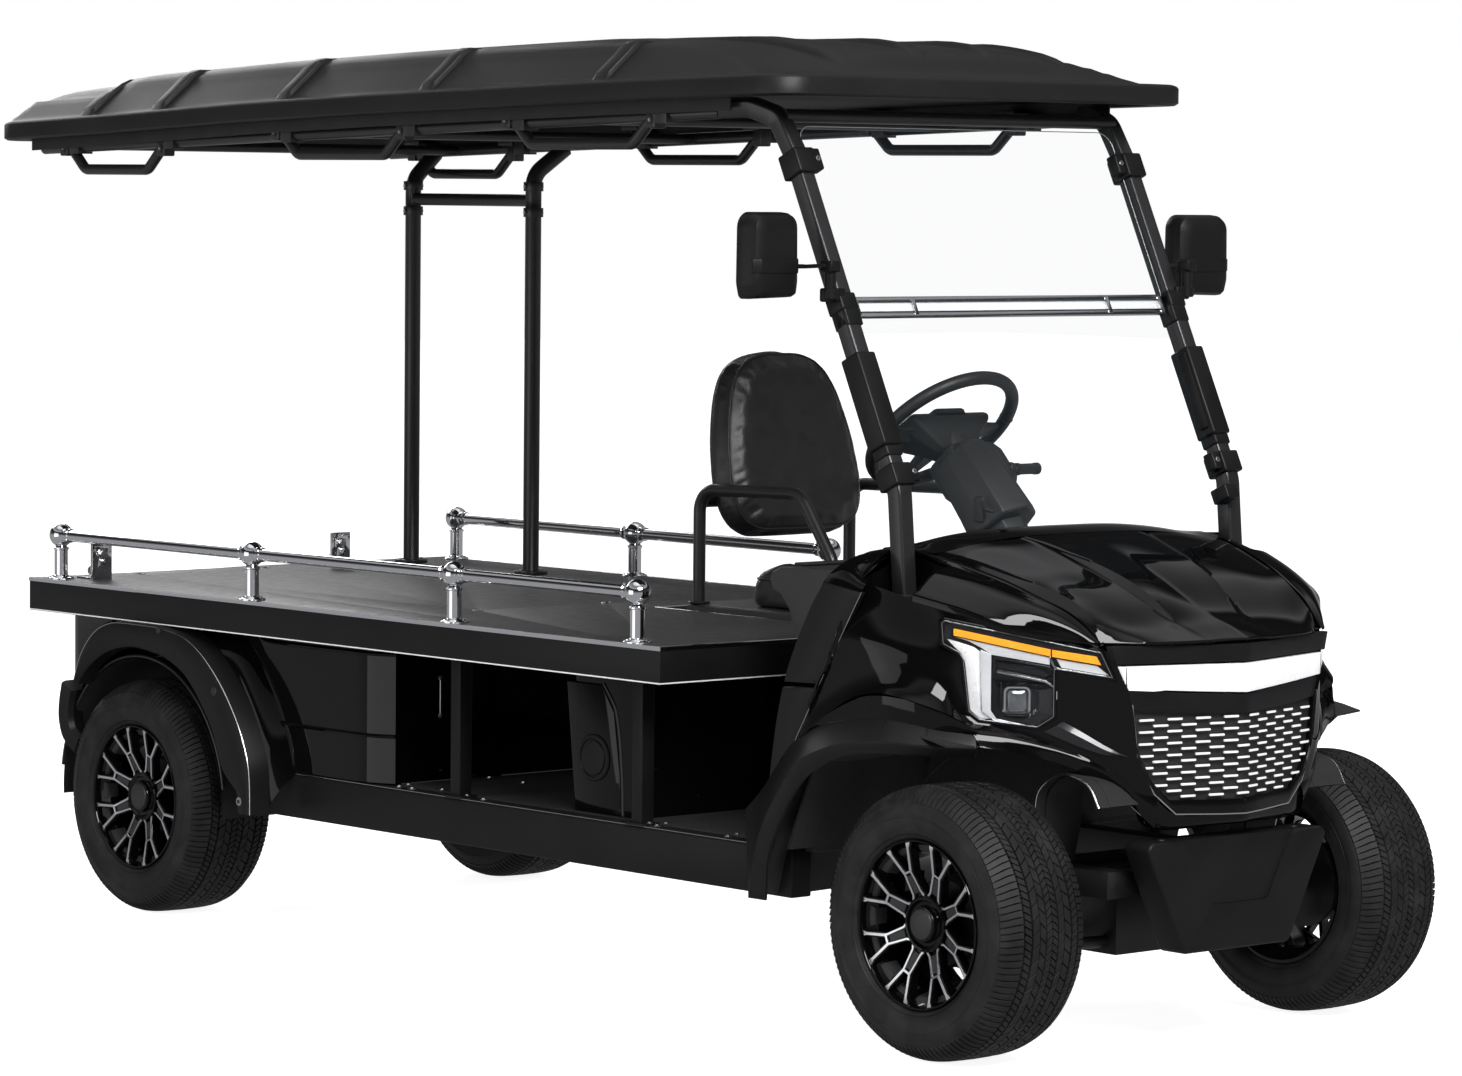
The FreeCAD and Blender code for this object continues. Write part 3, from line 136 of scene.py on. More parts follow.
class Link:
    def __init__(self, look, socket):
        self.look, self.socket = look, socket

    def maths(self, operation, *others):
        return self.look.add("ShaderNodeMath", {"operation": operation},
                             {0: self, **dict(enumerate(others, 1))})

    def __add__(self, other):
        return self.maths("ADD", other)

    __radd__ = __add__

    def __mul__(self, other):
        return self.maths("MULTIPLY", other)

    __rmul__ = __mul__

    def wave(self):
        return self.maths("SINE")

    def share(self, least, most):
        # 0 at least, 1 at most, smooth in between
        sockets = {"Value": self, "From Min": least, "From Max": most}
        return self.look.add("ShaderNodeMapRange", {"interpolation_type": "SMOOTHSTEP"}, sockets)


class Look:
    def __init__(self, name, color, roughness, metallic=0.0, **fixed):
        self.material = bpy.data.materials.new(name)
        self.material.use_nodes = True
        self.nodes = self.material.node_tree.nodes
        self.links = self.material.node_tree.links
        self.nodes.clear()
        self.shader = self.nodes.new("ShaderNodeBsdfPrincipled")
        output = self.nodes.new("ShaderNodeOutputMaterial")
        self.links.new(self.shader.outputs[0], output.inputs[0])
        self.set("Base Color", color)
        self.set("Roughness", roughness)
        self.set("Metallic", metallic)
        for socket, value in fixed.items():
            self.set(socket.replace("_", " ").title(), value)
        self.place = None

    def feed(self, socket, value):
        if isinstance(value, Link):
            self.links.new(value.socket, socket)
        elif hasattr(value, "__len__") and len(value) == 3 and socket.type == "RGBA":
            socket.default_value = (*value, 1)
        else:
            socket.default_value = value

    def set(self, name, value):
        self.feed(self.shader.inputs[name], value)
        return self

    def add(self, kind, settings=None, sockets=None, output=0):
        made = self.nodes.new(kind)
        for name, value in (settings or {}).items():
            setattr(made, name, value)
        for name, value in (sockets or {}).items():
            self.feed(made.inputs[name], value)
        return Link(self, made.outputs[output])

    def spot(self, **sockets):
        # object coordinates, moved or scaled by a Mapping node where sockets are given
        if self.place is None:
            self.place = self.add("ShaderNodeTexCoord", output=3)
        if not sockets:
            return self.place
        return self.add("ShaderNodeMapping", sockets={"Vector": self.place, **sockets})

    def noise(self, scale, detail=3, rough=0.5, place=None):
        return self.add("ShaderNodeTexNoise", sockets={
            "Vector": place or self.spot(), "Scale": scale, "Detail": detail, "Roughness": rough})

    def cells(self, scale, feature="F1"):
        return self.add("ShaderNodeTexVoronoi", {"feature": feature},
                        {"Vector": self.spot(), "Scale": scale})

    def part(self, axis):
        return self.add("ShaderNodeSeparateXYZ", sockets={0: self.spot()}, output=axis)

    def ridges(self, scale):
        # moulded prisms of a lens
        return (self.part(0) * scale).wave() + (self.part(2) * scale).wave()

    def mix(self, factor, first, second):
        return self.add("ShaderNodeMix", {"data_type": "RGBA"}, {"Factor": factor, 6: first, 7: second}, 2)

    def bump(self, height, strength, distance):
        sockets = {"Height": height, "Strength": strength, "Distance": distance}
        if self.shader.inputs["Normal"].links:
            sockets["Normal"] = Link(self, self.shader.inputs["Normal"].links[0].from_socket)
        return self.set("Normal", self.add("ShaderNodeBump", sockets=sockets))


def glossBlack():
    look = Look("glossBlack", (0.002, 0.002, 0.0022), 0.05)
    look.set("Specular IOR Level", 0.32)
    haze = look.noise(5, 4, 0.6)
    look.set("Roughness", haze * 0.05 + 0.015)
    look.bump(look.noise(140, 2), 0.04, 0.0004)
    return look


def matteTrim():
    look = Look("matteTrim", (0.007, 0.007, 0.0075), 0.5)
    look.set("Specular IOR Level", 0.22)
    patch = look.noise(7, 3)
    look.set("Base Color", look.mix(patch, (0.004, 0.004, 0.0045), (0.009, 0.009, 0.0095)))
    look.set("Roughness", patch * 0.14 + 0.34)
    look.bump(look.cells(1100), 0.2, 0.0003)
    look.bump(look.noise(60, 2), 0.05, 0.0006)
    return look


def roofPlastic():
    look = Look("roofPlastic", (0.014, 0.014, 0.015), 0.55)
    look.set("Specular IOR Level", 0.3)
    patch = look.noise(4, 4)
    look.set("Base Color", look.mix(patch, (0.006, 0.006, 0.0065), (0.012, 0.012, 0.0125)))
    look.set("Roughness", patch * 0.15 + 0.38)
    look.bump(look.cells(420), 0.3, 0.0005)
    look.bump(look.noise(900, 2), 0.15, 0.0002)
    return look


def framePaint():
    look = Look("framePaint", (0.012, 0.012, 0.013), 0.45)
    dust = look.noise(9, 5, 0.65)
    look.set("Base Color", look.mix(dust.share(0.5, 0.75), (0.006, 0.006, 0.0065), (0.018, 0.0175, 0.017)))
    look.set("Roughness", dust * 0.35 + 0.27)
    look.bump(look.noise(400, 3), 0.2, 0.0003)
    return look


def linerPlastic():
    look = Look("linerPlastic", (0.010, 0.010, 0.011), 0.7)
    look.set("Base Color", look.mix(look.noise(12, 5), (0.006, 0.006, 0.006), (0.018, 0.018, 0.018)))
    look.bump(look.noise(260, 4), 0.4, 0.0006)
    return look


def satinSilver():
    look = Look("satinSilver", (0.92, 0.92, 0.93), 0.3, 0.12, coat_weight=0.5, coat_roughness=0.08)
    look.set("Roughness", look.noise(40, 3) * 0.12 + 0.22)
    look.set("Base Color", look.mix(look.noise(3, 2), (0.88, 0.88, 0.89), (0.94, 0.94, 0.95)))
    return look


def machined():
    # turned faces of the spokes: fine rings round the wheel's own axis
    look = Look("machined", (0.80, 0.81, 0.83), 0.22, 1.0)
    ring = look.add("ShaderNodeVectorMath", {"operation": "LENGTH"}, {0: look.spot(Scale=(0, 1, 1))}, 1)
    look.set("Roughness", look.noise(60, 3) * 0.12 + 0.16)
    look.bump((ring * 5200).wave(), 0.05, 0.0002)
    return look


def brightStrip():
    look = Look("brightStrip", (0.72, 0.73, 0.75), 0.22, 1.0)
    look.set("Roughness", look.noise(12, 2, place=look.spot(Scale=(4, 60, 60))) * 0.2 + 0.12)
    return look


def zincBolt():
    look = Look("zincBolt", (0.58, 0.58, 0.57), 0.3, 1.0)
    stain = look.noise(90, 4)
    look.set("Base Color", look.mix(stain, (0.45, 0.45, 0.44), (0.68, 0.68, 0.67)))
    look.set("Roughness", stain * 0.3 + 0.15)
    return look


def tyreRubber():
    look = Look("tyreRubber", (0.010, 0.010, 0.0105), 0.72)
    look.set("Specular IOR Level", 0.32)
    dust = look.noise(14, 5, 0.6)
    look.set("Base Color", look.mix(dust.share(0.4, 0.75), (0.008, 0.008, 0.0085), (0.018, 0.018, 0.0175)))
    look.set("Roughness", dust * 0.22 + 0.46)
    look.bump(look.noise(420, 4), 0.25, 0.0004)
    return look


def leatherLook():
    look = Look("leather", (0.014, 0.014, 0.015), 0.36, coat_weight=0.12, coat_roughness=0.3)
    grain = look.cells(330, "DISTANCE_TO_EDGE").share(0.0, 0.22)
    crease = look.noise(22, 5, 0.6)
    # the colour follows the crease bump: darker in its hollows, which is painted shade in the creases
    look.set("Base Color", look.mix(crease, (0.010, 0.010, 0.011), (0.019, 0.019, 0.020)))
    look.set("Roughness", crease * 0.22 + 0.26)
    look.bump(grain, 0.35, 0.0004)
    look.bump(crease, 0.10, 0.004)
    return look


def rubberMat():
    look = Look("rubberMat", (0.014, 0.014, 0.015), 0.75)
    look.bump((look.part(0) * 900).wave(), 0.4, 0.0008)
    look.bump(look.noise(300, 3), 0.2, 0.0003)
    look.set("Base Color", look.mix(look.noise(6, 5), (0.010, 0.010, 0.011), (0.024, 0.024, 0.024)))
    return look


def deckPanel():
    # dark textured deck sheet with pale flecks
    look = Look("deckPanel", (0.03, 0.03, 0.032), 0.4)
    fleck = look.noise(520, 2).share(0.60, 0.68)
    look.set("Base Color", look.mix(fleck, (0.026, 0.025, 0.026), (0.22, 0.21, 0.21)))
    look.set("Roughness", look.noise(40, 3) * 0.25 + 0.28)
    look.bump(look.noise(420, 3), 0.35, 0.0006)
    return look


def amberLens():
    look = Look("amberLens", (0.95, 0.36, 0.015), 0.14, coat_weight=0.8, coat_roughness=0.03)
    look.set("Base Color", look.mix(look.noise(40, 2), (0.95, 0.32, 0.01), (1.0, 0.47, 0.03)))
    # faint painted glow: the lens gives off a little amber light of its own though the lamp is not lit
    look.set("Emission Color", (1.0, 0.36, 0.01))
    look.set("Emission Strength", 0.06)
    look.bump(look.ridges(700), 0.12, 0.0006)
    return look


def lightGuide():
    look = Look("lightGuide", (0.72, 0.75, 0.79), 0.18, 0.3, coat_weight=0.7, coat_roughness=0.04)
    look.set("Base Color", look.mix(look.noise(14, 3), (0.62, 0.65, 0.69), (0.94, 0.95, 0.96)))
    look.bump((look.part(2) * 900).wave(), 0.1, 0.0005)
    return look


def lensGlass():
    look = Look("lensGlass", (0.05, 0.055, 0.06), 0.03, 0.0, coat_weight=1.0, coat_roughness=0.01)
    look.set("Base Color", look.mix(look.noise(20, 2), (0.02, 0.022, 0.026), (0.16, 0.17, 0.18)))
    return look


def clearCover():
    look = Look("clearCover", (0.02, 0.022, 0.025), 0.03)
    look.set("Alpha", 0.05)
    look.set("Roughness", look.noise(25, 2) * 0.03 + 0.01)
    return look


def windowGlass():
    look = Look("windowGlass", (0.10, 0.14, 0.16), 0.03)
    look.set("Alpha", look.noise(1.5, 2) * 0.012 + 0.018)
    look.set("Roughness", look.noise(8, 2) * 0.04 + 0.01)
    return look


def clearStrip():
    look = Look("clearStrip", (0.80, 0.84, 0.86), 0.08)
    look.set("Alpha", look.noise(6, 2) * 0.1 + 0.5)
    return look


def redLens():
    look = Look("redLens", (0.35, 0.006, 0.008), 0.14, coat_weight=0.9, coat_roughness=0.03)
    look.bump(look.ridges(900), 0.25, 0.0008)
    look.set("Roughness", look.noise(30, 2) * 0.1 + 0.08)
    return look


# finishes whose roughness follows one noise: name, colour, roughness, metallic, fixed values,
# roughness noise as scale, detail, share and least, then bumps
simpleLooks = {
    "tubeBlack": ("tubeBlack", (0.012, 0.012, 0.013), 0.35, 0.0,
                  {"coat_weight": 0.15, "coat_roughness": 0.2},
                  (18, 4, 0.2, 0.24), [("noise", 700, 3, 0.12, 0.0002)]),
    "cabinPlastic": ("cabinPlastic", (0.018, 0.018, 0.019), 0.45, 0.0, {}, (10, 3, 0.2, 0.33),
                     [("edges", 520, 0.16, 0.25, 0.0003)]),
    "chromeLook": ("chrome", (0.86, 0.87, 0.89), 0.06, 1.0, {}, (30, 4, 0.07, 0.02),
                   [("noise", 35, 2, 0.02, 0.0005)]),
    "threadLook": ("thread", (0.03, 0.03, 0.032), 0.6, 0.0, {}, None, [("noise", 1500, 2, 0.5, 0.0004)]),
    "gripLook": ("grip", (0.013, 0.013, 0.014), 0.5, 0.0, {}, (25, 3, 0.2, 0.38),
                 [("cells", 900, 0, 0.35, 0.0003)]),
    "lampShell": ("lampShell", (0.012, 0.012, 0.014), 0.22, 0.2,
                  {"coat_weight": 0.4, "coat_roughness": 0.05},
                  (30, 3, 0.2, 0.12), []),
    "paneEdge": ("paneEdge", (0.20, 0.23, 0.24), 0.15, 0.0, {}, (30, 2, 0.1, 0.1), []),
    "mirrorLook": ("mirror", (0.85, 0.87, 0.9), 0.02, 1.0, {}, (15, 2, 0.02, 0.005), []),
    "dashSilver": ("dashSilver", (0.93, 0.93, 0.94), 0.2, 0.2, {}, (60, 2, 0.2, 0.12), []),
}


def simpleLook(name, color, roughness, metallic, fixed, grain, bumps):
    look = Look(name, color, roughness, metallic, **fixed)
    if grain:
        scale, detail, share, least = grain
        look.set("Roughness", look.noise(scale, detail) * share + least)
    for kind, scale, detail, strength, distance in bumps:
        height = {
            "noise": lambda: look.noise(scale, detail),
            "cells": lambda: look.cells(scale),
            "edges": lambda: look.cells(scale, "DISTANCE_TO_EDGE").share(0.0, detail),
        }[kind]()
        look.bump(height, strength, distance)
    return look


looks = {make.__name__: make().material for make in (
    glossBlack, matteTrim, roofPlastic, framePaint, linerPlastic, satinSilver, machined, brightStrip,
    zincBolt,
    tyreRubber, leatherLook, rubberMat, deckPanel, amberLens, lightGuide, lensGlass, clearCover,
    windowGlass,
    clearStrip, redLens)}
looks.update({key: simpleLook(*row).material for key, row in simpleLooks.items()})
print("finishes", len(looks))


# mesh making

doubles = 0.00002          # points nearer than this are one point, in metres

class Form:
    # gathers points and faces, each face with its finish, for one piece
    def __init__(self):
        self.points, self.faces, self.finish = [], [], []

    def add(self, shape, look):
        points, faces = shape
        start = len(self.points)
        self.points += [Vector(point) for point in points]
        self.faces += [tuple(start + i for i in face) for face in faces]
        self.finish += [look] * len(faces)
        return self

    def mirror(self):
        points = [Vector((-point.x, point.y, point.z)) for point in self.points]
        start = len(self.points)
        self.finish += self.finish
        self.faces += [tuple(start + i for i in reversed(face)) for face in self.faces]
        self.points += points
        return self

    def make(self, name, body, slot, nodes=(), sharp=32, closed=True):
        mesh = rawMesh((self.points, self.faces), name)
        names = sorted(set(self.finish))
        for look in names:
            mesh.materials.append(looks[look])
        order = {look: i for i, look in enumerate(names)}
        mesh.polygons.foreach_set("material_index", [order[look] for look in self.finish])
        joined(mesh, closed)
        mesh.shade_smooth()
        mesh.set_sharp_from_angle(angle=math.radians(sharp))
        thing = placed(mesh, name)
        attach(thing, body)
        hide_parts(*nodes)
        return thing


def rawMesh(shape, name="scratch"):
    mesh = bpy.data.meshes.new(name)
    mesh.from_pydata([tuple(point) for point in shape[0]], [], shape[1])
    return mesh


def joined(mesh, outwards=True):
    # merges doubles and points the faces outwards
    cage = bmesh.new()
    cage.from_mesh(mesh)
    bmesh.ops.remove_doubles(cage, verts=cage.verts, dist=doubles)
    if outwards:
        bmesh.ops.recalc_face_normals(cage, faces=cage.faces)
    cage.to_mesh(mesh)
    cage.free()


def placed(mesh, name="scratch"):
    thing = bpy.data.objects.new(name, mesh)
    scene.collection.objects.link(thing)
    return thing


def shapeOf(mesh):
    return [vertex.co.copy() for vertex in mesh.vertices], [tuple(face.vertices) for face in mesh.polygons]


def plainMesh(thing):
    # turns an object with modifiers into the mesh they give
    graph = bpy.context.evaluated_depsgraph_get()
    made = bpy.data.meshes.new_from_object(thing.evaluated_get(graph))
    thing.modifiers.clear()
    thing.data = made
    return thing


def softened(shape, width, segments=2, angle=25, dissolve=False):
    # rounds every edge that is sharper than the angle
    mesh = rawMesh(shape)
    cage = bmesh.new()
    cage.from_mesh(mesh)
    bpy.data.meshes.remove(mesh)
    bmesh.ops.remove_doubles(cage, verts=cage.verts, dist=doubles)
    if dissolve:
        bmesh.ops.dissolve_limit(cage, angle_limit=math.radians(1), verts=cage.verts, edges=cage.edges)
    bmesh.ops.recalc_face_normals(cage, faces=cage.faces)
    edges = [edge for edge in cage.edges
             if len(edge.link_faces) == 2 and edge.calc_face_angle() > math.radians(angle)]
    bmesh.ops.bevel(cage, geom=edges, offset=width, segments=segments, profile=0.5, affect="EDGES",
                    clamp_overlap=True)
    cage.verts.index_update()
    faces = [tuple(vert.index for vert in face.verts) for face in cage.faces]
    shape = [vert.co.copy() for vert in cage.verts], faces
    cage.free()
    return shape


def cadShape(node):
    return shapeOf(frame["nodes"][node].data)


def grid(rows, closeRows=False, closeRing=False):
    # quads between rows of points
    count, wide = len(rows), len(rows[0])
    faces = []
    for i in range(count if closeRows else count - 1):
        for j in range(wide if closeRing else wide - 1):
            a, b = i, (i + 1) % count
            c, d = j, (j + 1) % wide
            faces.append((a * wide + c, a * wide + d, b * wide + d, b * wide + c))
    return [point for row in rows for point in row], faces


def loft(rings, caps=True):
    # closed rings of points, with flat ends
    points, faces = grid(rings, closeRing=True)
    if caps:
        wide, last = len(rings[0]), len(points) - len(rings[0])
        faces += [tuple(reversed(range(wide))), tuple(range(last, last + wide))]
    return points, faces


def block(low, high):
    x0, y0, z0 = low
    x1, y1, z1 = high
    ring = ((x0, y0), (x1, y0), (x1, y1), (x0, y1))
    return loft([[Vector((x, y, z)) for x, y in ring] for z in (z0, z1)])


def boxAbout(centre, size, turn=None):
    half = Vector(size) / 2
    points, faces = block(-half, half)
    spin = turn or Matrix.Identity(3)
    return [Vector(centre) + spin @ point for point in points], faces


def prism(outline, depth):
    # flat outline moved by a vector
    depth = Vector(depth)
    return loft([[Vector(point) for point in outline], [Vector(point) + depth for point in outline]])


def basis(axis):
    axis = Vector(axis).normalized()
    side = axis.cross(zAxis if abs(axis.z) < 0.9 else xAxis).normalized()
    return side, axis.cross(side).normalized(), axis


def lathe(profile, centre, axis=(0, 0, 1), count=32, closed=False):
    # profile rows: radius and distance along the axis
    side, up, axis = basis(axis)
    rings = []
    for radius, height in profile:
        radius = max(radius, 0.00001)
        rings.append([Vector(centre) + axis * height + side * radius * math.cos(2 * math.pi * i / count)
                      + up * radius * math.sin(2 * math.pi * i / count) for i in range(count)])
    points, faces = grid(rings, closeRows=closed, closeRing=True)
    if not closed:
        last = len(points) - count
        faces += [tuple(reversed(range(count))), tuple(range(last, last + count))]
    return points, faces


def pin(centre, axis, radius, length, bevel=0.0, count=24):
    # rod from its centre point along the axis, with bevelled ends
    return lathe([(radius - bevel, 0), (radius, bevel), (radius, length - bevel), (radius - bevel, length)],
                 centre, axis, count)


def bent(points, bend, steps=6):
    # straight runs joined by arcs
    points = [Vector(point) for point in points]
    if bend <= 0 or len(points) < 3:
        return points
    path = [points[0]]
    for before, corner, after in zip(points, points[1:], points[2:]):
        back, ahead = (before - corner).normalized(), (after - corner).normalized()
        half = back.angle(ahead) / 2
        reach = min(bend / math.tan(half), 0.48 * min((before - corner).length, (after - corner).length))
        radius = reach * math.tan(half)
        middle = corner + (back + ahead).normalized() * (radius / math.sin(half))
        first, last = corner + back * reach - middle, corner + ahead * reach - middle
        for i in range(steps + 1):
            path.append(middle + first.normalized().slerp(last.normalized(), i / steps) * radius)
    path.append(points[-1])
    return path


def sweep(path, section, caps=True, closed=False):
    # section rows (across, up) carried along a path without twist
    path = [Vector(point) for point in path]
    count = len(path)
    rings, side = [], None
    for i, point in enumerate(path):
        ahead = path[(i + 1) % count] if closed or i < count - 1 else point
        back = path[i - 1] if closed or i > 0 else point
        way = (ahead - back).normalized()
        side = basis(way)[0] if side is None else (side - way * side.dot(way)).normalized()
        up = way.cross(side)
        rings.append([point + side * a + up * b for a, b in section])
    if closed:
        return grid(rings, closeRows=True, closeRing=True)
    return loft(rings, caps)


def circle(radius, count=16):
    return [(radius * math.cos(2 * math.pi * i / count), radius * math.sin(2 * math.pi * i / count))
            for i in range(count)]


def tube(points, radius, bend=0.0, count=16):
    return sweep(bent(points, bend), circle(radius, count))


def roundedOutline(corners, radius, steps=4):
    # closed outline with its corners rounded; radius is a number or one for each corner
    corners = [Vector(corner) for corner in corners]
    count = len(corners)
    path = []
    for i, corner in enumerate(corners):
        size = radius[i] if hasattr(radius, "__len__") else radius
        before, after = corners[i - 1], corners[(i + 1) % count]
        if size <= 0:
            path.append(corner)
            continue
        path += bent([before.lerp(corner, 0.5), corner, after.lerp(corner, 0.5)], size, steps)[1:-1]
    return path


def course(points, count, smoothly=True):
    # evenly spaced points along a line through the given ones
    points = [Vector(point) for point in points]
    reach = [0.0]
    for before, after in zip(points, points[1:]):
        reach.append(reach[-1] + (after - before).length)
    read = between if smoothly else along
    columns = [[(r, point[k]) for r, point in zip(reach, points)] for k in range(3)]
    return [Vector([read(column, reach[-1] * i / count) for column in columns]) for i in range(count + 1)]


def skin(courses, rows, smoothly=True):
    # surface through several courses of equal count
    lines = [course(line, rows, smoothly) for line in zip(*courses)]
    return grid([[line[i] for line in lines] for i in range(rows + 1)])


def ribbon(path, place, high, deep=0.0, edge=0.0):
    # bar along a flat path of (u, v, half width); place(u, v, height) puts it in space
    rings = []
    count = len(path)
    for i, (u, v, half) in enumerate(path):
        before, after = path[max(i - 1, 0)], path[min(i + 1, count - 1)]
        way = Vector((after[0] - before[0], after[1] - before[1])).normalized()
        across = Vector((-way.y, way.x))
        section = ((-half, -deep), (-half, high - edge), (-half + edge, high), (half - edge, high),
                   (half, high - edge), (half, -deep))
        rings.append([place(u + across.x * a, v + across.y * a, h) for a, h in section])
    return loft(rings)


def insetOutline(points, by):
    # flat closed outline (plan) moved inwards with sharp corners; the outline turns anticlockwise
    points = [Vector(point[:2]) for point in points]
    count = len(points)
    result = []
    for i, point in enumerate(points):
        before, after = (point - points[i - 1]).normalized(), (points[(i + 1) % count] - point).normalized()
        left, right = Vector((-before.y, before.x)), Vector((-after.y, after.x))
        both = (left + right).normalized()
        result.append(point + both * (by / max(both.dot(left), 0.2)))
    return result


def banded(outline, rows, caps=True):
    # closed plan outline carried through rows of (inset, z)
    rings = []
    for inset, z in rows:
        rings.append([Vector((point.x, point.y, z)) for point in insetOutline(outline, inset)])
    return loft(rings, caps)


def standIn(shape):
    # scratch object with its faces pointing outwards
    mesh = rawMesh(shape)
    joined(mesh)
    return placed(mesh)


def taken(*things):
    # shape of the first scratch object with its modifiers; all of them go
    bpy.context.view_layer.update()
    shape = shapeOf(plainMesh(things[0]).data)
    for thing in things:
        bpy.data.objects.remove(thing)
    return shape


def carved(shape, *cutters):
    # closed shapes cut out of a closed shape
    things = [standIn(part) for part in (shape, *cutters)]
    for cutter in things[1:]:
        modifier = things[0].modifiers.new("cut", "BOOLEAN")
        modifier.operation = "DIFFERENCE"
        modifier.solver = "EXACT"
        modifier.object = cutter
    return taken(*things)


def shell(shape, depth):
    # open surface given a thickness; a positive depth goes to the left of its faces' back
    thing = placed(rawMesh(shape))
    modifier = thing.modifiers.new("thick", "SOLIDIFY")
    modifier.thickness = depth
    modifier.offset = -1
    return taken(thing)


def dot(x, station, z):
    # a point from millimetres
    return at(x / 1000, station / 1000, z / 1000)


def mm(rows):
    return [dot(*row) for row in rows]


def slab(low, high, edge, segments=2):
    # rounded box between two corners in millimetres
    return softened(block(*mm([low, high])), edge, segments)


def rounded(node, edge, segments, look):
    # a form that starts from a CAD node with rounded edges
    return Form().add(softened(cadShape(node), edge, segments, dissolve=True), look)


# Geometry Nodes trees for what repeats

class Tree:
    def __init__(self, name, inputs):
        self.group = bpy.data.node_groups.new(name, "GeometryNodeTree")
        face = self.group.interface
        face.new_socket("Geometry", in_out="INPUT", socket_type="NodeSocketGeometry")
        for title, kind in inputs.items():
            face.new_socket(title, in_out="INPUT", socket_type="NodeSocket" + kind)
        face.new_socket("Geometry", in_out="OUTPUT", socket_type="NodeSocketGeometry")
        self.given = self.group.nodes.new("NodeGroupInput").outputs

    def add(self, kind, settings=None, sockets=None, output=0):
        made = self.group.nodes.new(kind)
        for name, value in (settings or {}).items():
            setattr(made, name, value)
        for name, value in (sockets or {}).items():
            if isinstance(value, bpy.types.NodeSocket):
                self.group.links.new(value, made.inputs[name])
            else:
                made.inputs[name].default_value = value
        return made.outputs[output]

    def maths(self, operation, *values):
        return self.add("ShaderNodeMath", {"operation": operation}, dict(enumerate(values)))

    def close(self, instances):
        real = self.add("GeometryNodeRealizeInstances", sockets={0: instances})
        last = self.add("GeometryNodeSetMaterial",
                        sockets={"Geometry": real, "Material": self.given["Finish"]})
        output = self.group.nodes.new("NodeGroupOutput")
        self.group.links.new(last, output.inputs[0])
        return self.group


def ringTree():
    # copies of a shape turned about the X axis
    tree = Tree("ring", {"Count": "Int", "Finish": "Material"})
    line = tree.add("GeometryNodeMeshLine", sockets={"Count": tree.given["Count"], "Offset": (0, 0, 0)})
    index = tree.add("GeometryNodeInputIndex")
    angle = tree.maths("MULTIPLY", index, tree.maths("DIVIDE", 2 * math.pi, tree.given["Count"]))
    turn = tree.add("ShaderNodeCombineXYZ", sockets={"X": angle})
    made = tree.add("GeometryNodeInstanceOnPoints", sockets={
        "Points": line, "Instance": tree.given["Geometry"], "Rotation": turn})
    return tree.close(made)


def headTree():
    # round or six-sided heads on points, aimed along the points' own "aim"
    tree = Tree("heads",
                {"Head radius": "Float", "Head height": "Float", "Sides": "Int", "Finish": "Material"})
    half = tree.maths("MULTIPLY", tree.given["Head height"], 0.5)
    wide = tree.maths("MULTIPLY", tree.given["Head radius"], 1.5)
    narrow = tree.maths("MULTIPLY", tree.given["Head radius"], 0.86)
    washer = tree.add("GeometryNodeMeshCylinder", sockets={"Vertices": 20, "Radius": wide, "Depth": half})
    head = tree.add("GeometryNodeMeshCone", sockets={
        "Vertices": tree.given["Sides"], "Radius Bottom": tree.given["Head radius"], "Radius Top": narrow,
        "Depth": tree.given["Head height"]})
    both = tree.group.nodes.new("GeometryNodeJoinGeometry")
    for part in (washer, head):
        tree.group.links.new(part, both.inputs[0])
    aim = tree.add("GeometryNodeInputNamedAttribute", {"data_type": "FLOAT_VECTOR"}, {"Name": "aim"})
    turn = tree.add("FunctionNodeAlignRotationToVector", {"axis": "Z"}, {"Vector": aim})
    made = tree.add("GeometryNodeInstanceOnPoints", sockets={
        "Points": tree.given["Geometry"], "Instance": both.outputs[0], "Rotation": turn})
    return tree.close(made)


def rowsTree():
    # staggered rows of a shape on a flat field: across X, down Z
    names = {"Columns": "Int", "Rows": "Int", "Across": "Float", "Down": "Float", "Finish": "Material"}
    tree = Tree("rows", names)
    total = tree.maths("MULTIPLY", tree.given["Columns"], tree.given["Rows"])
    line = tree.add("GeometryNodeMeshLine", sockets={"Count": total, "Offset": (0, 0, 0)})
    index = tree.add("GeometryNodeInputIndex")
    row = tree.maths("FLOOR", tree.maths("DIVIDE", index, tree.given["Columns"]))
    column = tree.maths("MODULO", index, tree.given["Columns"])
    shift = tree.maths("MULTIPLY_ADD", tree.maths("MODULO", row, 2.0), 0.5, column)
    x = tree.maths("MULTIPLY", shift, tree.given["Across"])
    z = tree.maths("MULTIPLY", row, tree.given["Down"])
    spot = tree.add("ShaderNodeCombineXYZ", sockets={"X": x, "Z": z})
    spots = tree.add("GeometryNodeSetPosition", sockets={"Geometry": line, "Position": spot})
    made = tree.add("GeometryNodeInstanceOnPoints", sockets={
        "Points": spots, "Instance": tree.given["Geometry"]})
    return tree.close(made)


trees = {make.__name__: make() for make in (ringTree, headTree, rowsTree)}


def grown(shape, tree, look, aims=None, **values):
    # runs a tree on a shape and gives the plain shape back; an input's name has a capital first
    mesh = rawMesh(shape)
    if aims:
        mesh.attributes.new("aim", "FLOAT_VECTOR", "POINT").data.foreach_set(
            "vector", [number for way in aims for number in Vector(way).normalized()])
    thing = placed(mesh)
    modifier = thing.modifiers.new("grow", "NODES")
    modifier.node_group = trees[tree]
    values = {name.replace("_", " ").capitalize(): value for name, value in values.items()}
    values["Finish"] = looks[look]
    for item in trees[tree].interface.items_tree:
        if item.in_out == "INPUT" and item.name in values:
            modifier[item.identifier] = values[item.name]
    bpy.context.view_layer.update()
    plain = plainMesh(thing).data
    shape = shapeOf(plain)
    bpy.data.objects.remove(thing)
    bpy.data.meshes.remove(plain)
    bpy.data.meshes.remove(mesh)
    return shape


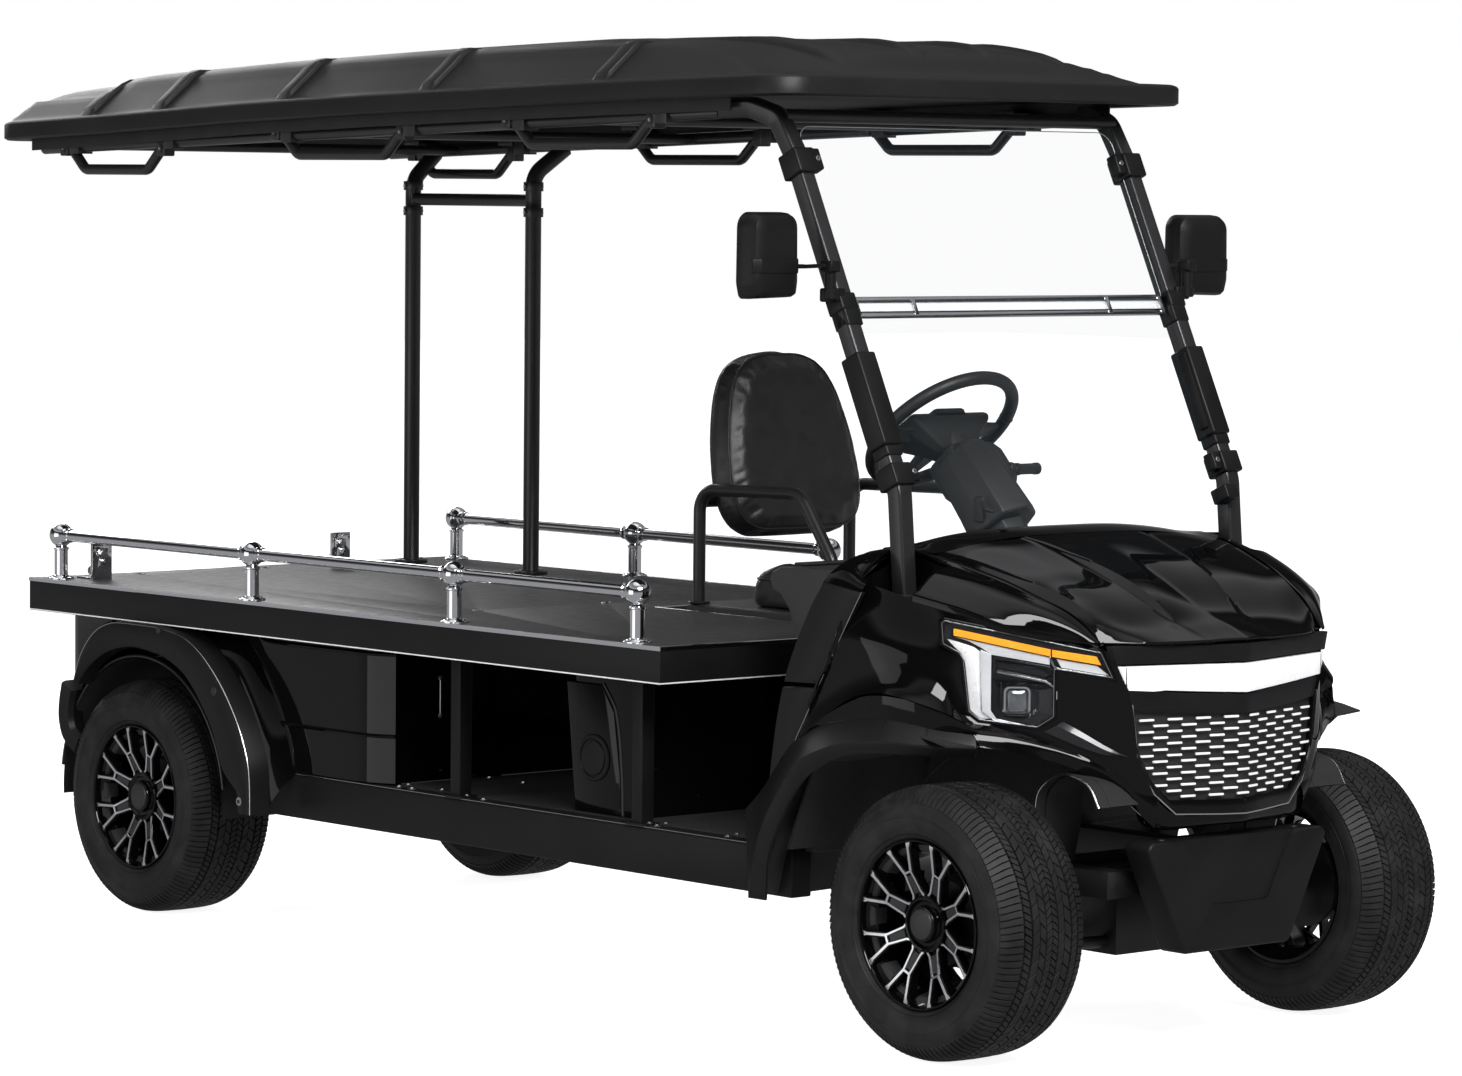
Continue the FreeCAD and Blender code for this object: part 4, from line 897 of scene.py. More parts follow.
def heads(spots, look, radius, height, sides=6):
    # screw or bolt heads on (point, way) spots
    return grown(([point for point, _ in spots], []), "headTree", look, [way for _, way in spots],
                 Head_radius=radius, Head_height=height, Sides=sides)


# camera, floor and light

def addCamera():
    view = {"place": (-8.027, -9.387, 1.812), "round": 41.3206, "down": 3.8165, "roll": 0.57,
            "lens": 127.24}
    camera = bpy.data.objects.new("camera", bpy.data.cameras.new("camera"))
    turn = (Matrix.Rotation(math.radians(-view["round"]), 3,
                            "Z") @ Matrix.Rotation(math.radians(90 - view["down"]), 3, "X")
            @ Matrix.Rotation(math.radians(view["roll"]), 3, "Z"))
    camera.matrix_world = Matrix.Translation(view["place"]) @ turn.to_4x4()
    camera.data.lens = view["lens"]
    camera.data.sensor_width = 36
    camera.data.clip_end = 200
    scene.collection.objects.link(camera)
    scene.camera = camera


def rayShare(look, *names):
    # 1 for the named kinds of ray
    path = look.add("ShaderNodeLightPath")
    sockets = {socket.name: socket for socket in path.socket.node.outputs}
    first = Link(look, sockets[names[0]])
    for name in names[1:]:
        first = first.maths("MAXIMUM", Link(look, sockets[name]))
    return first


def addStudioFloor():
    # pale floor: white to the eye, and its shadow stays
    studio = {"half": 40.0, "paint": (0.86, 0.86, 0.87), "lift": 0.9, "gloss": 0.2}
    half = studio["half"]
    corners = [(-half, -half, 0), (half, -half, 0), (half, half, 0), (-half, half, 0)]
    mesh = rawMesh((corners, [(0, 1, 2, 3)]), "floor")
    floor = placed(mesh, "floor")
    look = Look("floorPaint", studio["paint"], 0.9)
    look.set("Specular IOR Level", 0.1)
    look.set("Emission Color", (1.0, 1.0, 1.0))
    look.set("Emission Strength", rayShare(look, "Is Camera Ray", "Is Transmission Ray") * studio["lift"])
    mesh.materials.append(look.material)
    floor.visible_glossy = False


def addLight():
    world = bpy.data.worlds.new("studio")
    scene.world = world
    world.use_nodes = True
    sky = Look.__new__(Look)
    sky.material, sky.nodes, sky.links = None, world.node_tree.nodes, world.node_tree.links
    sky.nodes.clear()
    sky.place = None
    way = sky.add("ShaderNodeTexCoord", output=0)
    height = sky.add("ShaderNodeSeparateXYZ", sockets={0: way}, output=2)
    bands = [(0.0, 0.30), (0.12, 0.10), (0.30, 0.02), (0.46, 0.015), (0.50, 0.10), (0.56, 0.42),
             (0.66, 0.30), (0.80, 0.14), (0.95, 0.95)]
    ramp = sky.nodes.new("ShaderNodeValToRGB")
    for _ in bands[2:]:
        ramp.color_ramp.elements.new(0.5)
    for stop, (spot, grey) in zip(ramp.color_ramp.elements, bands):
        stop.position, stop.color = spot, (grey, grey, grey * 1.03, 1)
    sky.feed(ramp.inputs[0], height)
    seen = Link(sky, ramp.outputs[0])
    glossy = rayShare(sky, "Is Glossy Ray")
    white = rayShare(sky, "Is Camera Ray", "Is Transmission Ray")
    color = sky.mix(glossy, (1.0, 1.0, 1.0), seen)
    strength = white.maths("MAXIMUM", glossy) * 0.64 + 0.36
    background = sky.add("ShaderNodeBackground", sockets={"Color": color, "Strength": strength})
    output = sky.nodes.new("ShaderNodeOutputWorld")
    sky.links.new(background.socket, output.inputs[0])
    lamps = (("key", (-2.2, -6.0, 5.2), (4.0, 2.5), 520), ("side", (-7.5, 1.0, 3.4), (3.0, 4.0), 190),
             ("far", (6.5, -3.0, 3.5), (3.0, 3.0), 130), ("back", (1.5, 7.0, 4.0), (5.0, 2.0), 150),
             ("card", (-6.0, 0.9, 1.1), (4.8, 3.0), 46))
    for name, place, size, power in lamps:
        lamp = bpy.data.lights.new(name, "AREA")
        lamp.shape = "RECTANGLE"
        lamp.size, lamp.size_y = size
        lamp.energy = power
        thing = bpy.data.objects.new(name, lamp)
        thing.visible_glossy = name in ("key", "back", "card")
        thing.visible_diffuse = name != "card"
        aim = (Vector((0, 0, 0.9)) - Vector(place)).to_track_quat("-Z", "Y")
        thing.matrix_world = Matrix.Translation(place) @ aim.to_matrix().to_4x4()
        scene.collection.objects.link(thing)


scene.view_settings.view_transform = "Standard"
addCamera()
addStudioFloor()
addLight()
print("studio ready")


# tyres: a plain carcass with separate tread blocks, one pitch turned round the wheel

tyre = {
    "crown": [(0.0, 0.292), (0.060, 0.2905), (0.086, 0.2865), (0.102, 0.279), (0.1135, 0.267),
              (0.1205, 0.252),
              (0.1245, 0.236)],                                       # distance from the middle, radius
    "wall": [(0.1250, 0.228), (0.1243, 0.212), (0.1205, 0.197), (0.1135, 0.1865), (0.108, 0.182)],
    "pitches": 60,
    "groove": 0.0075,
    "edge": 0.0007,
}


def tyreRadiusAt(across):
    return between(tyre["crown"], abs(across))


def treadBlock(corners):
    # corners: distance across, share of a pitch
    pitch = 2 * math.pi / tyre["pitches"]
    middle = sum((Vector(corner) for corner in corners), Vector((0, 0))) / len(corners)
    rings = []
    for drop, shrink in ((tyre["groove"], -0.0006), (tyre["edge"], 0.0), (0.0, tyre["edge"])):
        ring = []
        for corner in corners:
            across, turn = Vector(corner)
            away = Vector((middle.x - across, (middle.y - turn) * 0.0278))
            away = away.normalized() * shrink if away.length else away
            across += away.x
            angle = (turn + away.y / 0.0278) * pitch
            radius = tyreRadiusAt(across) - drop
            lean = clamp((abs(across) - 0.1) / 0.018) * drop * 0.7     # shoulder grooves run into the wall
            across -= math.copysign(lean, across)
            ring.append(Vector((across, radius * math.cos(angle), radius * math.sin(angle))))
        rings.append(ring)
    return loft(rings)


def treadPitch():
    # rows from the middle outwards: the two sides mirror each other half a pitch on
    gap, slit = 0.0016, 0.09
    form = Form()
    for side in (1, -1):
        start = 0.0 if side > 0 else 0.5
        rows = ((0.0012, 0.0155, 0.34, 2), (0.0155 + 2 * gap, 0.0345, -0.46, 1),
                (0.0345 + gap, 0.0540, 0.42, 1),
                (0.0540 + 3 * gap, 0.0745, -0.30, 2))                    # inner, outer, slant, blocks
        for inner, outer, slant, blocks in rows:
            for part in range(blocks):
                low, high = start + part / blocks, start + (part + 1) / blocks - slit
                form.add(treadBlock([(side * inner, low), (side * outer, low + slant),
                                     (side * outer, high + slant), (side * inner, high)]), "tyreRubber")
        for part in range(2):
            low, high = start + part / 2, start + (part + 1) / 2 - 0.075
            corners = [(0.0745 + 2.6 * gap, low), (0.094, low + 0.05), (0.110, low + 0.16),
                       (0.1185, low + 0.20),
                       (0.1185, high + 0.20), (0.110, high + 0.16), (0.094, high + 0.05),
                       (0.0745 + 2.6 * gap, high)]
            form.add(treadBlock([(side * across, turn) for across, turn in corners]), "tyreRubber")
    return form.points, form.faces


def addTyre(name, body, centre):
    tread = grown(treadPitch(), "ringTree", "tyreRubber", Count=tyre["pitches"])
    outer = [(radius - tyre["groove"] * clamp((0.122 - across) / 0.012), across)
             for across, radius in tyre["crown"]]
    wall = [(radius, across) for across, radius in tyre["wall"]]
    # guard rib on the wall
    bulge = [(0.2345, 0.12585), (0.2325, 0.1259), (0.2315, 0.1250)]
    half = outer[:-1] + [(0.2405, 0.1240)] + bulge + wall
    bead = [(0.1785, 0.104), (0.1785, 0.098)]
    inner = [(0.1790, 0.090), (0.200, 0.100), (0.262, 0.098), (0.276, 0.0)]
    profile = half + bead + inner
    back = [(radius, -across) for radius, across in reversed(profile[1:-1])]
    carcass = lathe(profile + back, (0, 0, 0), xAxis, 132, closed=True)
    form = Form().add(carcass, "tyreRubber").add(tread, "tyreRubber")
    for side in (1, -1):
        for radius in (0.1905, 0.2275):                                                # fine moulding rings
            across = 0.1171 if radius < 0.2 else 0.1250
            ring = [(radius - 0.0012, side * (across - 0.0015)), (radius, side * (across + 0.0006)),
                    (radius + 0.0012, side * (across - 0.0015))]
            form.add(lathe(ring, (0, 0, 0), xAxis, 96, closed=True), "tyreRubber")
    form.points = [point + centre for point in form.points]
    form.make(name + "Tyre", body, "tyre", (snake(name) + "_tyre",), sharp=38)


# rims: gloss black dish, forked spokes with turned bright faces, dark inserts, bare cap

rim = {
    "forks": 8, "tipRadius": 0.1725, "knotRadius": 0.1135, "knotHalf": 0.0098, "insertInner": 0.067,
    "insertOuter": 0.1075, "insertHalf": 0.0084, "armHalf": 0.0025, "spokeHalf": 0.0031, "tipHalf": 0.0062,
    "cap": 0.0325, "lipFace": 0.112, "tipFace": 0.105, "hubFace": 0.083,
}


def rimFace(radius):
    return rim["hubFace"] + (rim["tipFace"] - rim["hubFace"]) * smooth((radius - 0.05) / 0.11)


def addRim(name, body, centre, side):
    def place(u, v, height):
        radius = math.hypot(u, v)
        return centre + Vector((side * (rimFace(radius) + height), u, v))

    form = Form()
    forks = rim["forks"]
    black, bright = dict(high=-0.0015, deep=0.024, edge=0.001), dict(high=0.0012, deep=0.0015, edge=0.0006)
    for i in range(forks):
        middle = 2 * math.pi * (i + 0.5) / forks

        def inLine(rows, middle=middle):
            # rows of distance out, distance aside, half width
            out = Vector((math.cos(middle), math.sin(middle)))
            return [(out.x * r - out.y * a, out.y * r + out.x * a, half) for r, a, half in rows]
        half, wide = rim["spokeHalf"], rim["tipHalf"]
        for way in (1, -1):
            knot, aside = rim["knotRadius"], rim["knotHalf"] * way
            tip = Vector((rim["tipRadius"], rim["tipRadius"] * math.tan(math.radians(10.6)) * way))
            root = Vector((knot, aside))
            prong = [(*tip.lerp(root, share), width) for share, width in (
                (0.0, wide), (0.10, wide * 0.9), (0.22, half * 1.05), (1.0, half * 1.05))]
            thin = rim["armHalf"]
            arm = [(knot + 0.001, aside * 0.98, thin * 1.1),
                   (rim["insertOuter"] - 0.006, 0.0107 * way, thin),
                   (rim["insertInner"], 0.0128 * way, thin), (0.057, 0.0168 * way, thin * 1.2)]
            for rows in (prong, arm):
                form.add(ribbon(inLine(rows), place, **bright), "machined")
                form.add(ribbon([(u, v, h + 0.0024) for u, v, h in inLine(rows)], place, **black),
                         "glossBlack")
        bar = [(rim["knotRadius"], way * rim["knotHalf"], rim["armHalf"]) for way in (-1, 1)]
        form.add(ribbon(inLine(bar), place, **bright), "machined")
        plate = [(rim["insertInner"] + 0.001, 0, rim["insertHalf"]),
                 (rim["insertOuter"] - 0.001, 0, rim["insertHalf"] * 0.96)]
        form.add(ribbon(inLine(plate), place, high=-0.0005, deep=0.020, edge=0.0012), "cabinPlastic")
        web = [(0.045, 0, 0.0175), (rim["insertInner"], 0, 0.0150), (0.1125, 0, 0.0110)]
        form.add(ribbon(inLine(web), place, high=-0.006, deep=0.026, edge=0.001), "glossBlack")
    lip = [(0.1722, 0.094), (0.1735, 0.1095), (0.1750, rim["lipFace"]), (0.1775, rim["lipFace"]),
           (0.1795, 0.1095),
           (0.1795, 0.100), (0.1775, 0.096), (0.1775, -0.100), (0.1795, -0.110), (0.172, -0.112),
           (0.168, -0.106),
           (0.166, -0.086), (0.150, -0.070), (0.146, 0.030), (0.1485, 0.052), (0.1525, 0.078),
           (0.1585, 0.0815)]
    form.add(lathe([(radius, side * across) for radius, across in lip], centre, xAxis, 96, closed=True),
             "glossBlack")
    for i in range(2 * forks):
        # dark facets of the barrel between the spoke roots
        angle = math.pi * i / forks
        out = Vector((0, math.cos(angle), math.sin(angle)))
        aside = Vector((0, -math.sin(angle), math.cos(angle)))
        points = []
        for face, radius, half in ((0.090, 0.1710, 0.024), (0.086, 0.155, 0.018), (0.060, 0.148, 0.0165)):
            points.append([centre + xAxis * side * face + out * radius + aside * a for a in (-half, half)])
        points, faces = grid(points)
        back = [point - out * 0.002 - xAxis * side * 0.002 for point in points]
        faces += [tuple(6 + k for k in reversed(face)) for face in faces]
        ring = (0, 1, 3, 5, 4, 2)
        faces += [(ring[(k + 1) % 6], ring[k], 6 + ring[k], 6 + ring[(k + 1) % 6]) for k in range(6)]
        form.add((points + back, faces), "cabinPlastic")
    hub = [(0.0, 0.040), (0.060, 0.040), (0.062, 0.070), (0.0595, 0.0875), (0.0560, 0.0905),
           (0.0520, 0.0895),
           (0.0485, 0.0840), (0.0465, 0.0825), (0.0405, 0.0825), (0.0385, 0.0850), (0.0380, 0.0930),
           (0.0365, 0.0955), (0.0335, 0.0958), (0.0, 0.0958)]
    form.add(lathe([(radius, side * across) for radius, across in hub], centre, xAxis, 64), "glossBlack")
    cap = [(0.0, 0.093), (rim["cap"] - 0.0010, 0.0930), (rim["cap"], 0.0965), (rim["cap"] - 0.0015, 0.0992),
           (0.026, 0.1008), (0.014, 0.1018), (0.0, 0.1020)]
    form.add(lathe([(radius, side * across) for radius, across in cap], centre, xAxis, 48), "cabinPlastic")
    drum = [(0.0, 0.030), (0.090, 0.030), (0.0965, 0.022), (0.0985, -0.018), (0.104, -0.022),
            (0.104, -0.030), (0.0, -0.030)]
    form.add(lathe([(radius, side * across) for radius, across in drum], centre, xAxis, 48), "framePaint")
    spots = []
    for i in range(4):
        angle = math.pi * (i / 2 + 0.25)
        spots.append((centre + Vector((side * 0.031, 0.072 * math.cos(angle), 0.072 * math.sin(angle))),
                      (side, 0, 0)))
    form.add(heads(spots, "zincBolt", 0.0095, 0.014), "zincBolt")
    form.make(name + "Rim", body, "rim_alloy", (snake(name) + "_rim",), sharp=30)


for name in ("frontLeft", "frontRight", "rearLeft", "rearRight"):
    side = 1 if "Left" in name else -1
    centre = at(side * halfTrack, 0 if "front" in name else wheelbase, tyreRadius)
    addTyre(name, snake(name) + "_wheel", centre)
    addRim(name, snake(name) + "_wheel", centre, side)
print("wheels done")


# nose: feature lines of the left half in millimetres, as (x, station, z); skins run between them

nose = {
    "middle": [(0, -307, 884), (0, -250, 909), (0, -187, 931), (0, -135, 955), (0, -76, 984), (0, 4, 1019),
               (0, 90, 1052), (0, 148, 1070), (0, 186, 1078)],
    "innerRidge": [(104, -295, 883), (105, -240, 902), (106, -190, 920), (113, -135, 964), (125, -76, 997),
                   (141, 4, 1028), (163, 90, 1052), (174, 148, 1068), (180, 186, 1076)],
    "innerFoot": [(108, -294, 883), (110, -239, 901), (113, -190, 918), (130, -135, 952), (147, -76, 984),
                  (162, 4, 1018), (173, 90, 1048), (180, 148, 1066), (186, 186, 1074)],
    "flat": [(245, -262, 883), (247, -225, 899), (250, -188, 916), (252, -135, 954), (258, -76, 986),
             (268, 4, 1014), (285, 90, 1042), (298, 148, 1059), (306, 186, 1067)],
    "outerRidge": [(327, -206, 884), (328, -199, 899), (329, -186, 917), (334, -135, 957), (353, -76, 984),
                   (378, 4, 1007), (402, 90, 1031), (420, 148, 1044), (432, 186, 1050)],
    "hoodEdge": [(335, -204, 882), (338, -193, 893), (343, -172, 914), (357, -128, 944), (376, -70, 969),
                 (398, 6, 999), (418, 90, 1024), (432, 148, 1039), (442, 186, 1047)],
    "panelEdge": [(342, -204, 878), (346, -188, 893), (352, -166, 912), (367, -124, 940), (386, -64, 966),
                  (408, 10, 996), (428, 92, 1021), (442, 150, 1036), (456, 210, 1048), (470, 260, 1054),
                  (482, 296, 1052)],
    "panelBelly": [(350, -203, 880), (376, -172, 904), (408, -130, 929), (440, -80, 952), (466, -20, 974),
                   (488, 42, 995), (505, 100, 1012), (516, 150, 1026), (528, 210, 1042), (538, 258, 1048),
                   (546, 300, 1042)],
    "crest": [(356, -200, 881), (388, -162, 891), (432, -117, 902), (480, -74, 914), (512, -42, 929),
              (536, 0, 945), (557, 52, 958), (574, 108, 970), (590, 174, 985), (602, 232, 997),
              (612, 296, 1000)],
}


def noseLine(name, count=40):
    return course(mm(nose[name]), count)


def turnedEdge(line, steps):
    # rolled edge: the line, then copies of it moved by steps in millimetres
    rows = [line] + [[point + Vector(step) / 1000 for point in line] for step in steps]
    return grid(rows)


def hoodRow(lines, end):
    # one line across the hood, from the middle to its edge
    middle, crown, ridge, foot, flat, outer, edge = (line[end] for line in lines)
    row = course([middle, crown, ridge], 10)
    row += course([ridge, foot], 3)[1:]
    row += course([foot, flat, outer], 14)[1:]
    return row + course([outer, edge], 4)[1:]


def addHood():
    form = Form()
    middle, ridge, foot, flat, outer, edge = (noseLine(name) for name in (
        "middle", "innerRidge", "innerFoot", "flat", "outerRidge", "hoodEdge"))
    crown = [a.lerp(b, 0.5) + zAxis * 0.001 for a, b in zip(middle, ridge)]
    lines = middle, crown, ridge, foot, flat, outer, edge
    form.add(skin([middle, crown, ridge], 10), "glossBlack")
    form.add(skin([ridge, foot], 3), "glossBlack")
    form.add(skin([foot, flat, outer], 14), "glossBlack")
    form.add(skin([outer, edge], 4), "glossBlack")
    form.add(turnedEdge(edge, ((0.5, 0, -2), (-1, 0, -14))), "glossBlack")
    form.add(turnedEdge(hoodRow(lines, 0), ((0, -1.5, -2.5), (0, -1, -5), (0, 6, -9), (0, 24, -10))),
             "glossBlack")
    form.add(turnedEdge(hoodRow(lines, -1), ((0, 1.5, -1.5), (0, 1.5, -14))), "glossBlack")
    form.mirror()
    form.make("hoodPanel", chassis, "body_gloss", ("hood",), sharp=26, closed=False)


# lamp: flat coordinates on its plane, x and z in millimetres, and how far out

lampPlane = {"x": 336, "station": -204, "slope": 0.921}


def lampAt(x, z, out=0.0):
    long = math.hypot(1, lampPlane["slope"])
    station = lampPlane["station"] + (x - lampPlane["x"]) * lampPlane["slope"]
    return dot(x + out * lampPlane["slope"] / long, station - out / long, z)


def lampPlate(outline, low, high, edge=0.0):
    shape = loft([[lampAt(x, z, out) for x, z in outline] for out in (low, high)])
    return softened(shape, edge / 1000, 2, 20) if edge else shape


def lampInset(outline, by):
    long = math.hypot(1, lampPlane["slope"])
    return [(x / long, z) for x, z in insetOutline([(x * long, z) for x, z in outline], by)]


def lampRing(outline, width, low, high, edge=0.0):
    inner = lampInset(outline, width)
    rings = [[lampAt(x, z, out) for x, z in line] for line, out in (
        (outline, low), (outline, high), (inner, high), (inner, low))]
    shape = grid(rings, closeRows=True, closeRing=True)
    return softened(shape, edge / 1000, 2, 20) if edge else shape


lamp = {
    "outline": [(577, 931), (332, 866), (309, 801), (402, 819), (402, 722), (430, 697), (523, 712),
                (541, 731), (551, 842), (557, 854), (582, 873), (585, 922)],
    "amber": [(562, 908), (412, 866), (412, 851), (562, 893)],
    "amberTail": [(410, 865.5), (341, 852), (334, 834), (410, 850.5)],
    "above": [(576, 922), (345, 861), (342, 855), (411, 868), (565, 911), (566, 890), (576, 884)],
    "band": [(560, 890), (413, 849), (413, 833), (503, 853), (517, 866), (540, 882)],
    "cell": [(403, 846), (340, 832), (321, 812), (395, 827)],
    "cellEdge": [(412, 850), (405, 831), (397, 826), (322, 810.5), (322, 808), (399, 823.5), (408, 830),
                 (414.5, 850)],
    "guide": [(520, 864), (503, 854), (503, 736), (494, 719), (433, 702), (431, 698), (497, 713),
              (517, 735)],
    "panel": [(573, 886), (552, 878), (530, 868), (518, 857), (518, 736), (500, 717), (520, 717),
              (535, 736), (544, 838), (551, 856)],
    "louvre": [(500, 850), (414, 830), (402, 817), (402, 808), (418, 799), (492, 819), (500, 812)],
    "louvreFloor": [(492, 840), (424, 824), (414, 812), (420, 803), (492, 822)],
    "line": [(494, 820), (418, 800), (404, 788), (402.5, 724), (431, 700), (432.5, 703), (406, 726),
             (407.5, 786), (420, 796), (494, 816)],
    "bowl": [(500, 798), (419, 793), (409, 784), (407, 727), (433, 705), (489, 719), (500, 734)],
    "bowlFloor": [(488, 780), (445, 785), (434, 776), (434, 738), (444, 728), (484, 730), (488, 740)],
    "eye": (462.5, 756.5), "eyeOuter": (30, 32), "eyeInner": (21.5, 24),
}


def eyeOutline(size, round_):
    x, z = lamp["eye"]
    long = math.hypot(1, lampPlane["slope"])
    corners = [(a * size[0], b * size[1]) for a, b in ((-1, -1), (1, -1), (1, 1), (-1, 1))]
    path = roundedOutline([Vector((a, b, 0)) for a, b in corners], round_, 5)
    return [(x + point.x / long, z + point.y) for point in path]


def addLamps():
    form = Form()
    outline = lamp["outline"]
    form.add(lampRing(outline, 5.5, -34, 2.5, 1.2), "glossBlack")
    form.add(lampRing(lampInset(outline, 5.5), 1.3, -6, 1.8, 0.3), "brightStrip")
    form.add(lampPlate(lampInset(outline, 5), -36, -30), "lampShell")
    # inner pieces: bottom and top of each above the lamp's plane, edge radius
    for name, low, high, edge, look in (
            ("amber", -24, -4, 0.8, "amberLens"), ("amberTail", -24, -4, 0.8, "amberLens"),
            ("above", -24, -7, 1.0, "lampShell"), ("band", -24, -9, 1.2, "lightGuide"),
            ("cell", -24, -10, 1.5, "lightGuide"), ("cellEdge", -24, -5, 0.5, "chromeLook"),
            ("guide", -24, -7, 1.5, "lightGuide"), ("panel", -28, -14, 2.0, "satinSilver"),
            ("louvreFloor", -30, -18, 1.5, "lampShell"), ("line", -24, -6, 0.5, "brightStrip")):
        form.add(lampPlate(lamp[name], low, high, edge), look)
    form.add(lampRing(lamp["louvre"], 3.5, -28, -9, 0.8), "lampShell")
    bowl, floor = ([lampAt(x, z, out) for x, z in lamp[name]]
                   for name, out in (("bowl", -10), ("bowlFloor", -27)))
    form.add(grid([bowl, floor], closeRing=True), "lampShell")
    form.add((floor, [tuple(range(len(floor)))]), "lampShell")
    outer, inner = eyeOutline(lamp["eyeOuter"], 13), eyeOutline(lamp["eyeInner"], 8)
    rings = [[lampAt(x, z, out) for x, z in line] for line, out in (
        (outer, -27), (outer, -12), (eyeOutline((28, 30), 12), -9), (eyeOutline((24, 26.5), 10), -10),
        (inner, -15),
        (inner, -20))]
    form.add(grid(rings, closeRing=True), "chromeLook")
    eyeX, eyeZ = lamp["eye"]
    dome = [[lampAt(eyeX + (x - eyeX) * share, eyeZ + (z - eyeZ) * share, out) for x, z in inner]
            for share, out in ((1.0, -18), (0.9, -13.5), (0.7, -10.5), (0.4, -9), (0.02, -8.5))]
    form.add(grid(dome, closeRing=True), "lensGlass")
    form.add(lampPlate(lampInset(outline, 5), -1.4, -0.6), "clearCover")
    form.mirror()
    form.make("headlampUnits", chassis, "lamp_clear", ("headlights",), sharp=25, closed=False)


# body sides: columns from the crest down to the arch, with the lamp and the pillar pockets cut out

side = {
    # each column: points from top to bottom
    "columns": [
        [(300, -248, 830), (299, -248.5, 790), (284, -252, 740), (270, -255, 650), (246, -260, 598),
         (221, -265, 555)],
        [(336, -210, 868), (330, -216, 800), (322, -226, 740), (312, -234, 680), (294, -243, 620),
         (266, -252, 566)],
        [(362, -184, 873), (362, -184, 800), (360, -184, 740), (352, -190, 690), (338, -203, 634),
         (300, -236, 596)],
        [(400, -145, 882), (400, -145, 800), (400, -146, 740), (396, -150, 700), (388, -158, 672),
         (367, -177, 646)],
        [(450, -99, 894), (450, -99, 800), (450, -99, 750), (449, -101, 716), (446, -105, 694),
         (436, -116, 678)],
        [(500, -53, 908), (500, -53, 820), (500, -53, 760), (500, -53, 730), (500, -54, 714),
         (497, -60, 702)],
        [(532, -20, 928), (542, -14, 840), (545, -11, 780), (547, -12, 745), (550, -16, 725),
         (553, -24, 712)],
        [(556, 40, 944), (576, 22, 860), (582, 12, 800), (585, 0, 765), (588, -12, 742), (591, -20, 729)],
        [(572, 90, 957), (602, 62, 870), (610, 48, 812), (615, 34, 780), (621, 22, 760), (628, 18, 749)],
        [(586, 150, 972), (624, 120, 880), (632, 108, 832), (636, 98, 800), (640, 88, 778), (648, 80, 763)],
        [(596, 210, 985), (638, 185, 880), (640, 170, 840), (641, 160, 806), (645, 150, 782),
         (651, 145, 766)],
        [(604, 240, 984), (640, 262, 880), (640, 250, 830), (641, 240, 790), (645, 230, 765),
         (651, 225, 748)],
        [(612, 262, 970), (640, 290, 850), (640, 315, 790), (641, 320, 745), (645, 318, 720),
         (651, 315, 698)],
        [(640, 264, 880), (640, 310, 805), (640, 340, 758), (641, 362, 715), (645, 366, 690),
         (651, 366, 660)],
        [(640, 327, 779), (640, 348, 745), (640, 366, 712), (641, 385, 675), (645, 398, 645),
         (651, 408, 620)],
    ],
    "lower": [(225, -263, 489), (246, -250, 511), (265, -238, 532), (296, -219, 564), (327, -200, 589),
              (364, -178, 610), (401, -155, 627), (451, -126, 643), (493, -99, 653), (548, -66, 664)],
    "ledge": [(221, -265, 555), (266, -252, 566), (300, -236, 596), (367, -177, 646), (436, -116, 678),
              (497, -60, 702), (553, -24, 712)],
}


def addCowl():
    form = Form()
    count = 36
    columns = [course(mm(rows), count) for rows in side["columns"]]
    across = [course(line, 90) for line in zip(*columns)]
    panel = grid([[line[i] for line in across] for i in range(91)])
    solid = shell(panel, 0.010)
    hole = lampPlate(lampInset(lamp["outline"], -0.8), -60, 60)
    form.add(softened(carved(solid, hole), 0.0016, 2, 38), "glossBlack")
    form.mirror()
    form.make("cowlSides", chassis, "body_gloss", ("front_cowl",), sharp=26)


